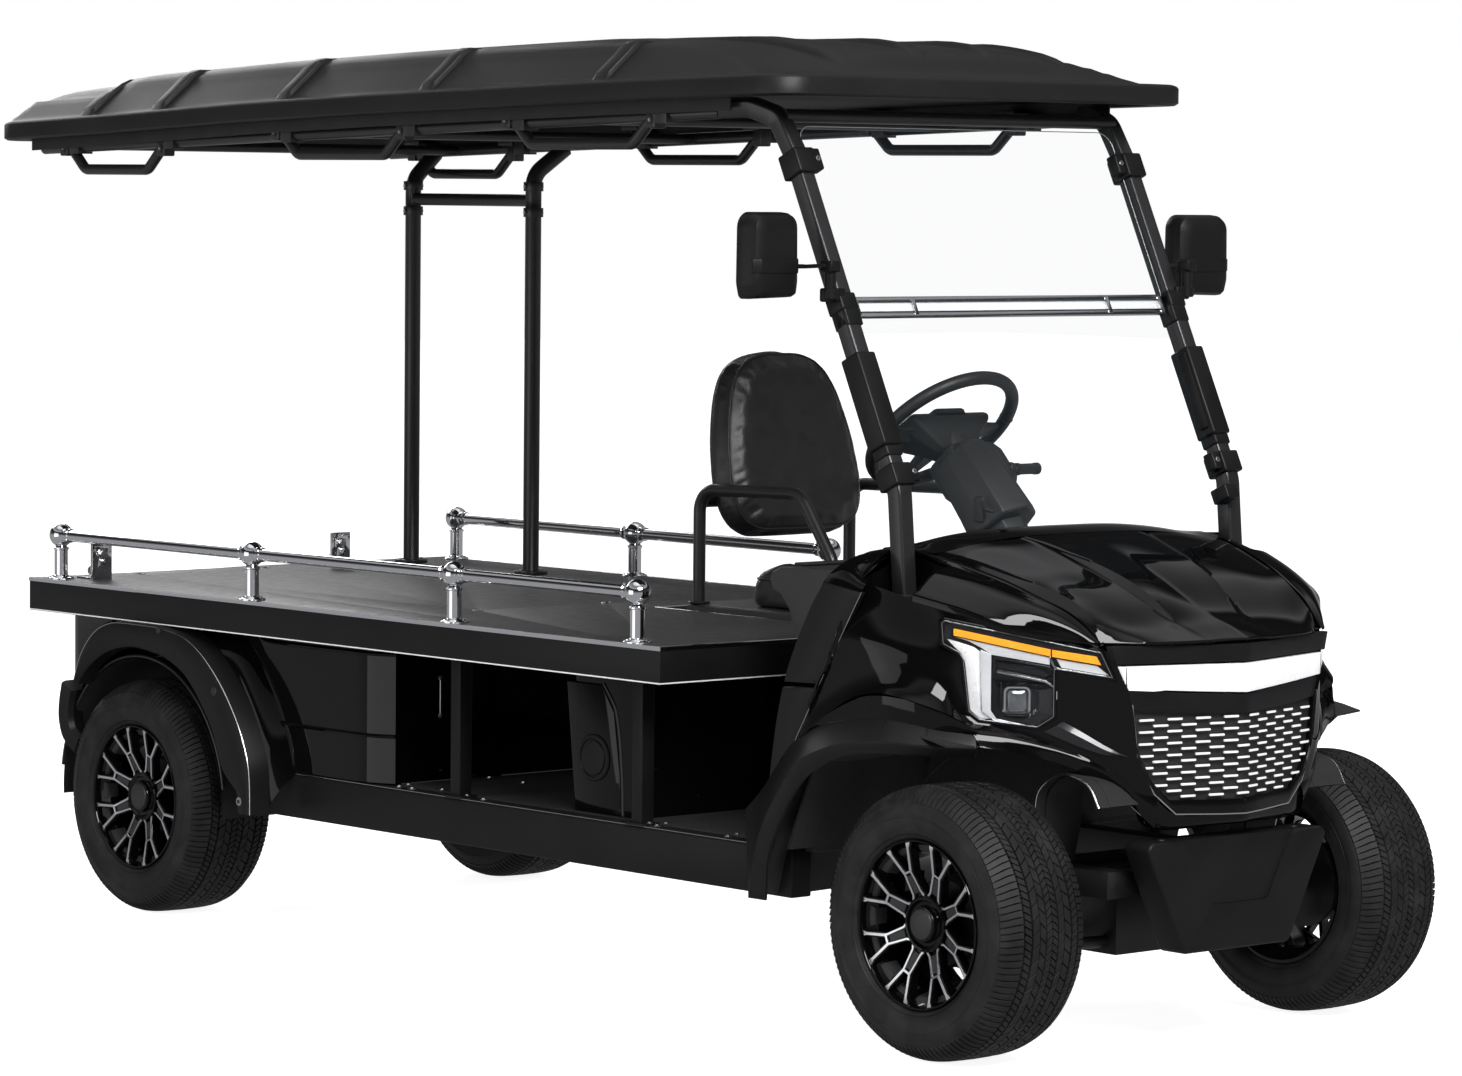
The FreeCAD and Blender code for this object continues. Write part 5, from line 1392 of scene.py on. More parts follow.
def addShoulders():
    # fender tops between the hood and the crest, the crest strip and the cowl behind the hood
    form = Form()
    edge, belly, crest = (noseLine(name, 44) for name in ("panelEdge", "panelBelly", "crest"))
    top = skin([edge, belly, crest], 12)
    solid = shell(top, 0.005)
    x0, x1, s0, s1 = (value / 1000 for value in (466, 700, 112, 246))
    pocket = block(at(x0, s0, 0.955), at(x1, s1, 1.2))
    form.add(softened(carved(solid, pocket), 0.0012, 2, 38), "glossBlack")
    whole = [1] * len(crest)
    grow = [0.25 + 0.75 * smooth(i / 10) for i in range(len(crest))]
    steps = [((0, 0, 0), whole), ((2.0, -2.0, -1.5), whole), ((2.5, -2.5, -13), grow), ((-3, 3, -14), grow)]
    strip = [[point + Vector(step) / 1000 * share for point, share in zip(crest, shares)]
             for step, shares in steps]
    form.add(softened(carved(shell(grid(strip), 0.002), pocket), 0.0006, 2, 38), "glossBlack")
    form.add(turnedEdge(edge, ((-0.5, 0, -1), (0.5, 0, -16), (-8, 4, -18))), "glossBlack")
    # pocket round the pillar's foot: floor, inner wall, front and rear walls
    floor = [at(x0, s0, 0.958), at(0.578, s0, 0.950), at(0.606, s1, 0.962), at(x0, s1, 0.966)]
    form.add(prism(floor, (0, 0, -0.006)), "glossBlack")
    inner = [at(x0, s0, 0.955), at(x0, s1, 0.962), at(x0, s1, 1.046), at(x0, s0, 1.020)]
    form.add(prism(inner, (-0.004, 0, 0)), "glossBlack")
    for station, outer, high, low, thick in ((s0, 0.573, 1.018, 0.967, -0.004),
                                             (s1, 0.603, 1.045, 0.996, 0.004)):
        wall = [at(x0, station, 0.955), at(outer, station, 0.955), at(outer, station, low),
                at(x0, station, high)]
        form.add(prism(wall, (0, thick, 0)), "glossBlack")
    # cowl top behind the hood
    across, lengthways = [(0, 1079), (180, 1077), (300, 1068), (400, 1054), (470, 1049)], [
        (188, 0), (240, 8), (294, 11), (330, 9)]
    limits = [(188, 448), (260, 470), (296, 482), (330, 486)]
    rows = []
    for station, drop in ((188, 0), (225, 0), (262, 0), (290, 0), (304, 2), (314, 8), (320, 20), (322, 60)):
        xs = [between(limits, station) * i / 24 for i in range(25)]
        rows.append(mm([(x, station,
                         between(across, x) + between(lengthways, station) - drop) for x in xs]))
    form.add(grid(rows), "glossBlack")
    crown = [
        [(641, 204, 974), (641, 250, 981), (641, 290, 987), (641, 322, 991)],
        [(634, 202, 988), (635, 250, 997), (634, 290, 1003), (632, 319, 1003)],
        [(620, 206, 996), (622, 250, 1010), (620, 290, 1018), (615, 311, 1019)],
        [(604, 240, 999), (606, 258, 1017), (602, 290, 1029), (598, 308, 1030)],
        [(576, 246, 1014), (577, 262, 1033), (575, 290, 1041), (572, 306, 1040)],
        [(540, 246, 1037), (541, 268, 1045), (541, 290, 1048), (540, 306, 1047)],
        [(484, 246, 1050), (484, 268, 1053), (483, 290, 1054), (482, 306, 1052)]]
    form.add(skin([course(mm(line), 12) for line in crown], 30), "glossBlack")
    rear = [line[-1] for line in crown]
    falls = [[(x, s, z), (x - 1, s + 6, z - 6), (x - 3, s + 9, z - 30), (x - 8, s + 10, z - 110)] for x, s,
             z in rear]
    form.add(skin([course(mm(line), 10) for line in falls], 30), "glossBlack")
    form.mirror()
    form.make("cowlShoulders", chassis, "body_gloss", ("front_cowl",), sharp=28, closed=False)


fascia = {
    "slope": 0.22, "tip": -312,
    "silverTop": [(0, 830), (100, 831), (200, 832), (314, 833)],
    "silverLow": [(0, 768), (100, 773), (200, 779), (299, 786)],
    "lip": [(0, 872), (100, 872), (200, 874), (330, 876)],
    "grilleTop": [(0, 724), (100, 727), (200, 732), (277, 739)],
}


def noseAt(x, z, out=0.0):
    return dot(x, fascia["tip"] + fascia["slope"] * x - out, z)


def noseRim(lines, outs):
    # bar between an outer and an inner line: outs for outer back, outer front, inner front, inner back
    outer, inner = lines
    rings = [[noseAt(x, z, out) for x, z in line] for line, out in zip((outer, outer, inner, inner), outs)]
    return loft([list(ring) for ring in zip(*rings)])


def addFascia():
    form = Form()

    def stripe(upper, lower, ends, outs, look, edge):
        # bar across the nose; ends are its outer x at the top and bottom
        count = 14
        rings = []
        for z, reach, out in ((lower, ends[1], outs[0]), (lower, ends[1], outs[1]),
                              (upper, ends[0], outs[1]),
                              (upper, ends[0], outs[0])):
            rings.append([noseAt(reach * i / count, between(z, reach * i / count),
                                 out) for i in range(count + 1)])
        form.add(softened(loft([list(ring) for ring in zip(*rings)]), edge, 2, 30), look)

    under = [(x, z - 4) for x, z in fascia["silverLow"]]
    over = [(x, z + 4) for x, z in fascia["silverTop"]]
    stripe(fascia["lip"], over, (334, 322), (-22, -3), "matteTrim", 0.0012)
    stripe(fascia["silverTop"], fascia["silverLow"], (314, 299), (-20, 1.0), "satinSilver", 0.0015)
    stripe(under, fascia["grilleTop"], (296, 279), (-22, -3), "matteTrim", 0.0012)
    outline = [(0, 740), (278, 742), (266, 650), (232, 585), (186, 545), (0, 541)]
    back = [noseAt(x, z, -14) for x, z in outline]
    form.add(prism(back, (0, 0.004, 0)), "linerPlastic")
    surround = [[(283, 744), (283, 742), (270, 645), (228, 562), (174, 517), (60, 512), (0, 511)],
                [(278, 744), (277, 738), (264, 649), (231, 587), (187, 546), (60, 542), (0, 541)]]
    form.add(softened(noseRim(surround, (-16, 0.5, -2, -16)), 0.0012, 2, 20), "glossBlack")
    bright = [[(286, 752), (285, 742), (272, 644), (229.5, 560), (175, 515), (60, 510), (0, 509)],
              [(283.5, 752), (282.5, 742), (269.5, 645), (228, 562.5), (174, 517.5), (60, 512.5),
               (0, 511.5)]]
    form.add(noseRim(bright, (-6, 1.6, 1.6, -6)), "brightStrip")
    chin = [[noseAt(x, z, out) for x, z in line] for line, out in (
        ([(284, 742), (271, 644), (229, 561), (175, 515.5), (60, 510.5), (0, 509.5)], -1),
        ([(286, 738), (272, 640), (233, 552), (190, 503), (60, 499), (0, 499)], -1),
        ([(284, 720), (268, 625), (236, 545), (215, 492), (60, 491), (0, 492)], -6),
        ([(280, 700), (260, 610), (236, 545), (214, 487), (60, 485), (0, 486)], -26),
        ([(270, 690), (250, 600), (230, 545), (205, 490), (60, 488), (0, 489)], -60))]
    form.add(skin([course(line, 24) for line in chin], 16), "glossBlack")
    form.mirror()
    form.make("noseFascia", chassis, "silver_band", ("nose_band",), sharp=28, closed=False)


def addGrille():
    # staggered dashes on both halves of the nose
    form = Form()
    size = {"long": 0.036, "high": 0.0052, "deep": 0.005, "across": 0.0700, "down": -0.01265, "rows": 15}
    dash = softened(boxAbout((0, 0, 0), (size["long"], size["deep"], size["high"])), 0.0019, 2)
    points, _ = grown(dash, "rowsTree", "dashSilver", Columns=8, Rows=size["rows"], Across=size["across"],
                      Down=size["down"])
    limits = [(541, 204), (560, 224), (585, 244), (650, 268), (742, 282)]
    count = len(dash[0])
    for start in range(0, len(points), count):
        part = [(point.x * 1000 - 280, point.z * 1000 + 730,
                 -point.y * 1000) for point in points[start:start + count]]
        x, z = (sum(point[k] for point in part) / count for k in range(2))
        if abs(x) + 10 > along(limits, z) or z > between(fascia["grilleTop"], abs(x)) - 5:
            continue
        shape = [dot(a, fascia["tip"] + fascia["slope"] * abs(a) + 5 - d, b) for a, b,
                 d in part], dash[1]
        form.add(shape, "dashSilver")
    form.make("grilleDashes", chassis, "grille_mesh", ("grille",), closed=False)


def addFangs():
    form = Form()
    top = mm([(396, -157, 716), (362, -190, 690), (330, -222, 664), (298, -250, 644)])
    ridge = mm([(408, -150, 708), (368, -192, 680), (334, -224, 657), (297, -252, 643)])
    low = mm([(424, -130, 694), (380, -174, 668), (338, -214, 649), (296, -248, 641)])
    lines = [course(line, 16) for line in (top, ridge, low)]
    form.add(grid([[line[i] for line in lines] for i in range(17)], closeRing=True), "lampShell")
    form.mirror()
    form.make("lampFangs", chassis, "lamp_clear", ("headlights",), sharp=20)


def addBumper():
    # moulded bumper with its stepped U
    low, high = (Vector(corner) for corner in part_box("front_bumper"))
    face = low.y
    form = Form()
    body = softened(cadShape("front_bumper"), 0.013, 4, dissolve=True)
    outline = [(-180, 470), (-119, 386), (-84, 322), (-70, 318), (84, 318), (96, 324), (128, 390),
               (178, 470)]
    tray = prism([Vector((x / 1000, face - 0.01, z / 1000)) for x, z in outline], (0, 0.0145, 0))
    form.add(softened(carved(body, tray), 0.0022, 3, 40), "matteTrim")
    spots = [(Vector((x, face + 0.03, high.z - 0.001)), (0, -0.2, 1)) for x in (0.205, -0.205)]
    form.add(heads(spots, "zincBolt", 0.006, 0.003, 6), "zincBolt")
    form.make("frontBumperMoulding", chassis, "trim_plastic", ("front_bumper",), sharp=40)


flare = {
    "upper": [(648, 560, 480), (648, 505, 530), (648, 448, 598), (648, 405, 641), (648, 353, 671),
              (648, 290, 692),
              (648, 227, 704), (648, 134, 712), (644, 87, 711), (632, 48, 706), (619, 22, 701),
              (602, 0, 696), (582, -20, 693), (561, -39, 690), (548, -52, 689)],
    "outer": [(694, 495, 302), (700, 457, 438), (700, 389, 549), (700, 336, 607), (700, 284, 633),
              (700, 222, 653),
              (700, 149, 666), (692, 86, 673), (681, 57, 672), (667, 31, 671), (649, 10, 669),
              (629, -9, 666), (607, -27, 665), (584, -43, 664), (556, -63, 664)],
    "inner": [(688, 446, 297), (694, 430, 400), (694, 372, 512), (694, 320, 572), (694, 262, 607),
              (692, 215, 628),
              (690, 149, 640), (682, 90, 646), (668, 61, 645), (652, 37, 644), (634, 18, 643),
              (614, 2, 641), (592, -14, 640), (570, -28, 640), (546, -46, 640)],
    "crease": [(652, 448, 596), (652, 408, 620), (652, 366, 660), (652, 315, 698), (652, 254, 729),
               (652, 203, 749),
               (652, 141, 761), (649, 93, 761), (635, 46, 755), (614, 8, 741), (587, -24, 723),
               (557, -54, 703), (548, -66, 692)],
}


def addFlares():
    form = Form()
    count = 60
    upper, outer, inner = (course(mm(flare[name]), count) for name in ("upper", "outer", "inner"))
    lip = [point - zAxis * 0.005 + xAxis * 0.0005 for point in outer]
    under = [point - xAxis * 0.006 for point in inner]
    rings = [[upper[i], outer[i].lerp(upper[i], 0.03), outer[i], lip[i], inner[i], under[i],
              under[i].lerp(upper[i], 0.5) - xAxis * 0.012,
              upper[i] - xAxis * 0.014] for i in range(count + 1)]
    form.add(softened(loft(rings), 0.0016, 2, 40), "matteTrim")
    form.mirror()
    form.make("frontFlareSkins", chassis, "trim_plastic", ("front_flares",), sharp=35)
    form = Form()
    brow = course(mm(flare["crease"]), count)
    seat = course(mm(flare["upper"][2:]), count)
    mid = [a.lerp(b, 0.5) + Vector((0.001, -0.001, 0)) for a, b in zip(brow, seat)]
    form.add(skin([brow, mid, seat], 6), "glossBlack")
    lines = [course(mm(rows), 50) for rows in (side["ledge"], side["lower"])]
    first, second = lines
    bulge = [a.lerp(b, 0.45) + Vector((0.004, -0.005, 0.004)) for a, b in zip(first, second)]
    rolled = [point + Vector((-0.006, 0.008, -0.001)) for point in second]
    hidden = [point + Vector((-0.020, 0.030, 0.030)) for point in second]
    form.add(skin([first, bulge, second], 8), "glossBlack")
    form.add(grid([second, rolled, hidden]), "glossBlack")
    form.mirror()
    form.make("cowlLedges", chassis, "body_gloss", ("front_cowl",), sharp=30, closed=False)


def addCowlStrips():
    # matte strip behind the gloss side, in two pieces with a slanted seam
    form = Form()
    front = mm([(641, 204, 974), (641, 264, 880), (641, 327, 779), (641, 366, 712), (641, 410, 640),
                (641, 445, 585)])
    rear = mm([(641, 322, 990), (641, 368, 926), (641, 431, 806), (641, 463, 707), (641, 480, 620),
               (641, 492, 540)])
    a, b = course(front, 40), course(rear, 40)
    for first, last in ((0, 21), (22, 40)):
        rings = [[p, p.lerp(q, 0.5) + xAxis * 0.002, q, q - xAxis * 0.03, p - xAxis * 0.012]
                 for p, q in zip(a[first:last + 1], b[first:last + 1])]
        form.add(softened(loft(rings), 0.0016, 2, 40), "matteTrim")
    line = [point + Vector((0.0012, -0.002, 0.0006)) for point in a]
    form.add(sweep(line, circle(0.0011, 8)), "brightStrip")
    form.mirror()
    form.make("cowlStrips", chassis, "trim_plastic", ("front_cowl",), sharp=35, closed=False)


def addFrontWells():
    # liner arch over the wheel, open towards the front, with its round inner loop
    form = Form()
    arch = [(506, 300), (470, 420), (420, 520), (350, 600), (260, 655), (140, 682), (20, 682), (-60, 668)]
    rows = []
    for x, lift in ((640, 0), (560, 0), (420, 2), (300, 2), (292, -40)):
        shift = 0 if x > 600 else 6
        rows.append([dot(x, station, z + lift - shift) for station, z in arch])
    form.add(shell(skin([course(row, 40) for row in rows], 20), 0.004), "linerPlastic")
    loop = [(-40, 400), (-58, 480), (-66, 552), (-95, 584), (-139, 602), (-183, 598), (-223, 581),
            (-250, 540)]
    path = course([dot(330, station, z) for station, z in loop], 30)
    form.add(sweep(path, [(-0.004, -0.02), (0.004, -0.02), (0.004, 0.05), (-0.004, 0.05)]), "linerPlastic")
    form.add(sweep([point + xAxis * 0.05 for point in path], circle(0.0022, 8)), "brightStrip")
    inner = [[dot(x, station, z) for station, z in loop] for x in (378, 340, 240)]
    form.add(shell(skin([course(row, 30) for row in inner], 8), 0.003), "linerPlastic")
    form.mirror()
    form.make("frontWells", chassis, "liner_plastic", ("wheel_liners",), sharp=35, closed=False)


addHood()
addLamps()
addCowl()
addShoulders()
addFascia()
addGrille()
addFangs()
addBumper()
addFlares()
addCowlStrips()
addFrontWells()
print("nose done")


# roof: moulded top with flutes in front and ribbed sides, rim, rails and grab handles

roof = {
    "rim": [(479, 2027), (1011, 2018), (1435, 2007), (1934, 1994), (2467, 1976), (3036, 1950),
            (3532, 1932)],
    "front": [(497, 44), (530, 48), (552, 56), (600, 98), (640, 111), (700, 121), (800, 133), (975, 146),
              (1200, 157), (1500, 168)],
    "frontSide": [(497, 44), (600, 48), (625, 54), (750, 93), (856, 114), (1000, 126), (1114, 133),
                  (1300, 152)],
    "rear": [(3000, 240), (3400, 139), (3452, 112), (3480, 58), (3492, 49), (3514, 44)],
    "side": [(0, 163), (300, 159), (430, 152), (490, 141), (520, 125), (532, 112), (600, 56), (609, 49),
             (620, 44)],
    "step": [(3095, 0), (3150, 22)],
    "ribs": (1114, 1744, 2305, 2826, 3136), "ribHalf": 25, "ribHigh": 10,
    "flutes": (-345, -115, 115, 345), "top": 2163,
    "half": 640, "corner": 90, "start": 479, "end": 3532,
}


def rimLow(station):
    return along(roof["rim"], station)


def softLeast(values, soft=7.0):
    least = min(values)
    return least - soft * math.log(sum(math.exp((least - value) / soft) for value in values))


def roofTop(x, station):
    share = smooth((abs(x) - 230) / 300)
    front = between(roof["front"], station) * (1 - share) + between(roof["frontSide"], station) * share
    high = softLeast([front, along(roof["side"], abs(x)), between(roof["rear"], station)], 5.0)
    high -= along(roof["step"], station) * smooth((high - 92) / 30)
    return min(rimLow(station) + high, roof["top"])


def roofOutline(inset, steps=8):
    # plan of the rim, moved inwards
    half, first, last = roof["half"] - inset, roof["start"] + inset, roof["end"] - inset
    corners = [(-half, first), (half, first), (half, last), (-half, last)]
    return [(point.x, point.y) for point in roundedOutline([Vector((x, s, 0)) for x, s in corners],
                                                           max(roof["corner"] - inset, 4), steps)]


def roofReach(station):
    # half width inside the rim, round the corners
    inner = 19
    radius = roof["corner"] - inner
    away = min(station - roof["start"] - inner, roof["end"] - inner - station)
    if away >= radius:
        return roof["half"] - inner
    return roof["half"] - inner - radius + math.sqrt(max(radius ** 2 - (radius - away) ** 2, 0))


def splitLong(outline, most):
    # extra points on the long runs, so that the rim follows the slope
    result = []
    for a, b in zip(outline, outline[1:] + outline[:1]):
        count = max(1, int((Vector(b) - Vector(a)).length / most))
        result += [tuple(Vector(a).lerp(Vector(b), i / count)) for i in range(count)]
    return result


def addRoof():
    form = Form()
    stations = [498, 502, 508, 516, 526, 536, 546, 556, 566, 578, 592, 610, 632, 660, 690, 730, 780, 840,
                900, 960]
    stations += [1000 + 60 * i for i in range(31)] + [2840, 2870, 2900, 2930, 2960, 2990, 3040, 3100, 3160,
                                                      3220]
    stations += [3280, 3330, 3370, 3400, 3420, 3440, 3455, 3468, 3478, 3486, 3494, 3502, 3509, 3513]
    shares = [0, 0.1, 0.2, 0.3, 0.4, 0.5, 0.58, 0.64, 0.70, 0.74, 0.78, 0.81, 0.835, 0.86, 0.89, 0.92,
              0.95, 0.963,
              0.972, 0.981, 0.99, 1.0]
    rows = []
    for station in stations:
        reach = roofReach(station)
        half = [reach * share for share in shares]
        xs = [-x for x in reversed(half)] + half[1:]
        rows.append(mm([(x, station, roofTop(x, station)) for x in xs]))
    form.add(grid(rows), "roofPlastic")
    base = splitLong(roofOutline(0), 120)
    rings = []
    half, middle = roof["half"], (roof["start"] + roof["end"]) / 2
    long = (roof["end"] - roof["start"]) / 2
    for inset, lift in ((60, 18), (44, -3), (6, -4), (0, 1), (0, 35), (3, 40), (10, 43.5), (21, 44.5)):
        ring = [(x * (half - inset) / half, middle + (s - middle) * (long - inset) / long) for x, s in base]
        rings.append(mm([(x, s, rimLow(s) + lift) for x, s in ring]))
    form.add(grid(rings, closeRing=True), "roofPlastic")
    under = [mm([(x, s, rimLow(s) + 16) for x in (-598, -300, 0, 300, 598)])
             for s in (516, 800, 1200, 1600, 2000, 2400, 2800, 3200, 3494)]
    form.add(grid(under), "linerPlastic")
    line = [(618, 0.0), (609, 0.4), (598, 1), (570, 1), (545, 1), (522, 1), (508, 1), (490, 0.8),
            (466, 0.2), (450,
             -0.6)]                                    # distance from the middle, share of the rib's height
    for sign in (1, -1):
        for middle in roof["ribs"]:
            rows = []
            for across, share in ((-1.28, -0.2), (-1.0, 0.1), (-0.92, 0.8), (-0.7, 1.0), (0.7, 1.0),
                                  (0.92, 0.8), (1.0, 0.1), (1.28, -0.2)):
                station, high = middle + across * roof["ribHalf"], 0.7 * roof["ribHigh"] * share
                rows.append(mm([(sign * (x + high * part), station,
                                 min(roofTop(x, station) + high * part, roof["top"])) for x, part in line]))
            form.add(grid(rows), "roofPlastic")
            for across in (-0.86, 0.86):
                station = middle + across * roof["ribHalf"]
                path = mm([(sign * (x + 5.2), station, roofTop(x, station) + 5.4) for x in (600, 575, 545,
                                                                                            522, 510)])
                form.add(sweep(path, circle(0.0019, 6)), "tubeBlack")
    for x in roof["flutes"]:
        rows = []
        for i in range(33):
            station = 566 + 660 * i / 32
            long = smooth(i / 5) * smooth((32 - i) / 14)
            half = 30 * (0.45 + 0.55 * smooth(i / 4))
            row = []
            for a, rise in ((-1, 0), (-0.86, 0.35), (-0.68, 0.9), (-0.4, 1), (0, 1), (0.4, 1), (0.68, 0.9),
                            (0.86, 0.35), (1, 0)):
                base = roofTop(x + a * half, station)
                room = max(roof["top"] - base, 0)
                row.append((x + a * half, station, base + min(12 * long * rise, room) - 0.8))
            rows.append(mm(row))
        form.add(grid(rows), "roofPlastic")
    form.make("roofMoulding", chassis, "roof_plastic", ("roof",), sharp=40, closed=False)


handle = {
    "runs": ((985, 1490), (1891, 2382), (2868, 3288)), "x": 560, "tube": 13.5, "high": 30, "drop": 56,
    "lean": 72,
}


def addHandles():
    form = Form()
    for first, last in handle["runs"]:
        slope = (rimLow(last) - rimLow(first)) / (last - first)
        high = rimLow((first + last) / 2) - handle["high"] - 6
        x = handle["x"]
        points = mm([(x, first, high), (x, first + 8, high),
                     (x, first + handle["lean"], high - handle["drop"]),
                     (x, last - handle["lean"], high - handle["drop"]), (x, last - 8, high),
                     (x, last, high)])
        form.add(tube(points, handle["tube"] / 1000, 0.034, 18), "tubeBlack")
        for s, way in ((first - 4, 1), (last + 4, -1)):
            middle = dot(x, s, high + 3)
            form.add(softened(boxAbout(middle, (0.034, 0.034, 0.050)), 0.004, 3), "tubeBlack")
            form.add(pin(middle + Vector((0.012, 0, -0.006)), xAxis, 0.0105, 0.0075, 0.001, 20),
                     "tubeBlack")
            form.add(pin(middle + Vector((0.0175, 0, -0.006)), xAxis, 0.0045, 0.0035, 0.0006, 6),
                     "zincBolt")
            spot = middle + Vector((-0.004, 0.014 * way, 0.026 + slope * 0.01))
            form.add(softened(boxAbout(spot, (0.044, 0.062, 0.020)), 0.003, 2), "tubeBlack")
    form.mirror()
    form.make("grabHandleTubes", chassis, "tube_black", ("grab_handles",), sharp=35)


def addRails():
    form = rounded("roof_rails", 0.003, 3, "tubeBlack")
    for x in (586, -586):
        rings = [mm([(x - 2.5, s, rimLow(s) - 32), (x + 2.5, s, rimLow(s) - 32),
                     (x + 2.5, s, rimLow(s) + 12),
                     (x - 2.5, s, rimLow(s) + 12)]) for s in (700, 1100, 1500, 2000, 2500, 3000, 3420)]
        form.add(softened(loft(rings), 0.001, 2), "linerPlastic")
    # bright line along each rail's lower outer edge: a painted highlight standing in for light on the rail
    # tube
    for x in (577, -577):
        path = mm([(x, s, rimLow(s) - 21) for s in (820, 1200, 1700, 2200, 2700, 3050, 3380)])
        form.add(sweep(path, circle(0.0022, 8)), "brightStrip")
    form.make("roofRailTubes", chassis, "tube_black", ("roof_rails",), sharp=35, closed=False)


addRoof()
addHandles()
addRails()
print("roof done")


# deck: tray with its chrome edge and pin holes, railings, bier stops and columns

deck = {
    "plan": [(-675, 815), (40, 815), (40, 1660), (675, 1660), (675, 3297), (-675, 3297)], "top": 815,
    "ball": 30, "ballHigh": 112, "rail": 14.5, "post": 17, "foot": 33, "x": 640,
    "right": (934, 1590, 2383, 3206), "left": (1709, 2457.5, 3206),
    "bier": (-180, 2530), "spacing": (200, 700),
}


def addDeck():
    form = Form()
    points, faces = softened(cadShape("deck"), 0.0025, 3, dissolve=True)
    top = deck["top"] / 1000
    for face in faces:
        form.finish.append("deckPanel" if min(points[i].z for i in face) > top - 0.0006 else "matteTrim")
    form.points, form.faces = list(points), list(faces)
    plan = mm([(x, station, 0) for x, station in deck["plan"]])
    rim = ((-0.0010, -0.0085), (-0.0018, -0.0075), (-0.0018, -0.0004), (-0.0004, 0.0010), (0.0045, 0.0012),
           (0.0060, 0.0004), (0.0060, -0.004))
    line = ((0.0, 0.0008), (-0.0012, 0.0014), (-0.0012, 0.0034), (0.0, 0.0040))
    for rows, base, look in ((rim, top, "chromeLook"), (line, top - 0.083, "satinSilver")):
        rings = [[Vector((point.x, point.y, base + z)) for point in insetOutline(plan, inset)]
                 for inset, z in rows]
        form.add(grid(rings, closeRows=True, closeRing=True), look)
    (x, station), (aside, ahead) = deck["bier"], deck["spacing"]
    grommet = [(0.0066, -0.002), (0.0066, 0.0012), (0.0074, 0.0020), (0.0125, 0.0016), (0.0140, -0.001)]
    for way in ((1, 1), (1, -1), (-1, 1), (-1, -1)):
        middle = dot(x + way[0] * aside, station + way[1] * ahead, deck["top"])
        form.add(lathe(grommet, middle, zAxis, 28, closed=True), "chromeLook")
    form.make("deckTray", chassis, "deck_panel", ("deck",), sharp=32, closed=False)


def addStanchions():
    form = Form()
    high, ball = deck["ballHigh"] / 1000, deck["ball"] / 1000
    post, foot, rail = deck["post"] / 1000, deck["foot"] / 1000, deck["rail"] / 1000
    profile = [(foot, 0.0), (foot, 0.0035), (foot - 0.0015, 0.005), (post + 0.010, 0.006),
               (post + 0.008, 0.0085), (post + 0.0015, 0.0095), (post, 0.011), (post, 0.074),
               (post + 0.0025, 0.076), (post + 0.0025, 0.080), (post - 0.002, 0.082), (post - 0.003, 0.086)]
    for i in range(17):
        angle = math.radians(-60 + 150 * i / 16)
        profile.append((ball * math.cos(angle), high + ball * math.sin(angle)))
    socket = [(rail + 0.0045, 0.020), (rail + 0.0045, 0.031), (rail + 0.001, 0.034), (rail + 0.001, 0.037),
              (rail + 0.0035, 0.039), (rail + 0.003, 0.043), (rail - 0.001, 0.045)]
    for x, stations in ((-deck["x"], deck["right"]), (deck["x"], deck["left"])):
        for station in stations:
            base = dot(x, station, deck["top"])
            form.add(lathe(profile, base, zAxis, 40), "chromeLook")
            for ahead, end in ((-1, stations[0]), (1, stations[-1])):
                if station != end:
                    form.add(lathe(socket, base + zAxis * high, yAxis * ahead, 32), "chromeLook")
        first, last = stations[0], stations[-1]
        form.add(pin(dot(x, first, deck["top"] + deck["ballHigh"]), yAxis, rail, (last - first) / 1000,
                     0.0005, 32), "chromeLook")
    form.make("stanchionRails", chassis, "chrome", ("deck_rails",), sharp=30)


def addBierStops():
    form = rounded("bier_stops", 0.0018, 3, "chromeLook")
    for x in (-560, 200):
        for high, way in ((20, 1), (64, -1)):
            station = 3182 if way > 0 else 3140
            base = dot(x, station, deck["top"] + high)
            form.add(pin(base, yAxis * way, 0.014, 0.003, 0.0006, 32), "zincBolt")
            form.add(pin(base + yAxis * way * 0.0028, yAxis * way, 0.0105, 0.007, 0.0012, 6), "zincBolt")
    form.make("bierStopPlates", chassis, "chrome", ("bier_stops",), sharp=30, closed=False)


def addColumns():
    form = Form()
    for x, station, low in ((-580, 982, 399), (-580, 1637, 399), (580, 1710, 399), (-20, 855, 404)):
        centre = dot(x, station, (low + 732) / 2)
        form.add(softened(boxAbout(centre, (0.036, 0.036, (732 - low) / 1000)), 0.0022, 3), "matteTrim")
        for z in (low + 4, 728):
            plate = dot(x, station, z)
            form.add(softened(boxAbout(plate, (0.050, 0.062, 0.006)), 0.0015, 2), "matteTrim")
        spots = [(dot(x, station + s, low + 7), zAxis) for s in (-25, 25)]
        form.add(heads(spots, "zincBolt", 0.0045, 0.003), "zincBolt")
    form.make("deckColumns", chassis, "trim_plastic", ("deck_posts",), sharp=35)


addDeck()
addStanchions()
addBierStops()
addColumns()
print("deck done")


# lower body: box over the rear axle, flares, sills, floor mat and pedestal

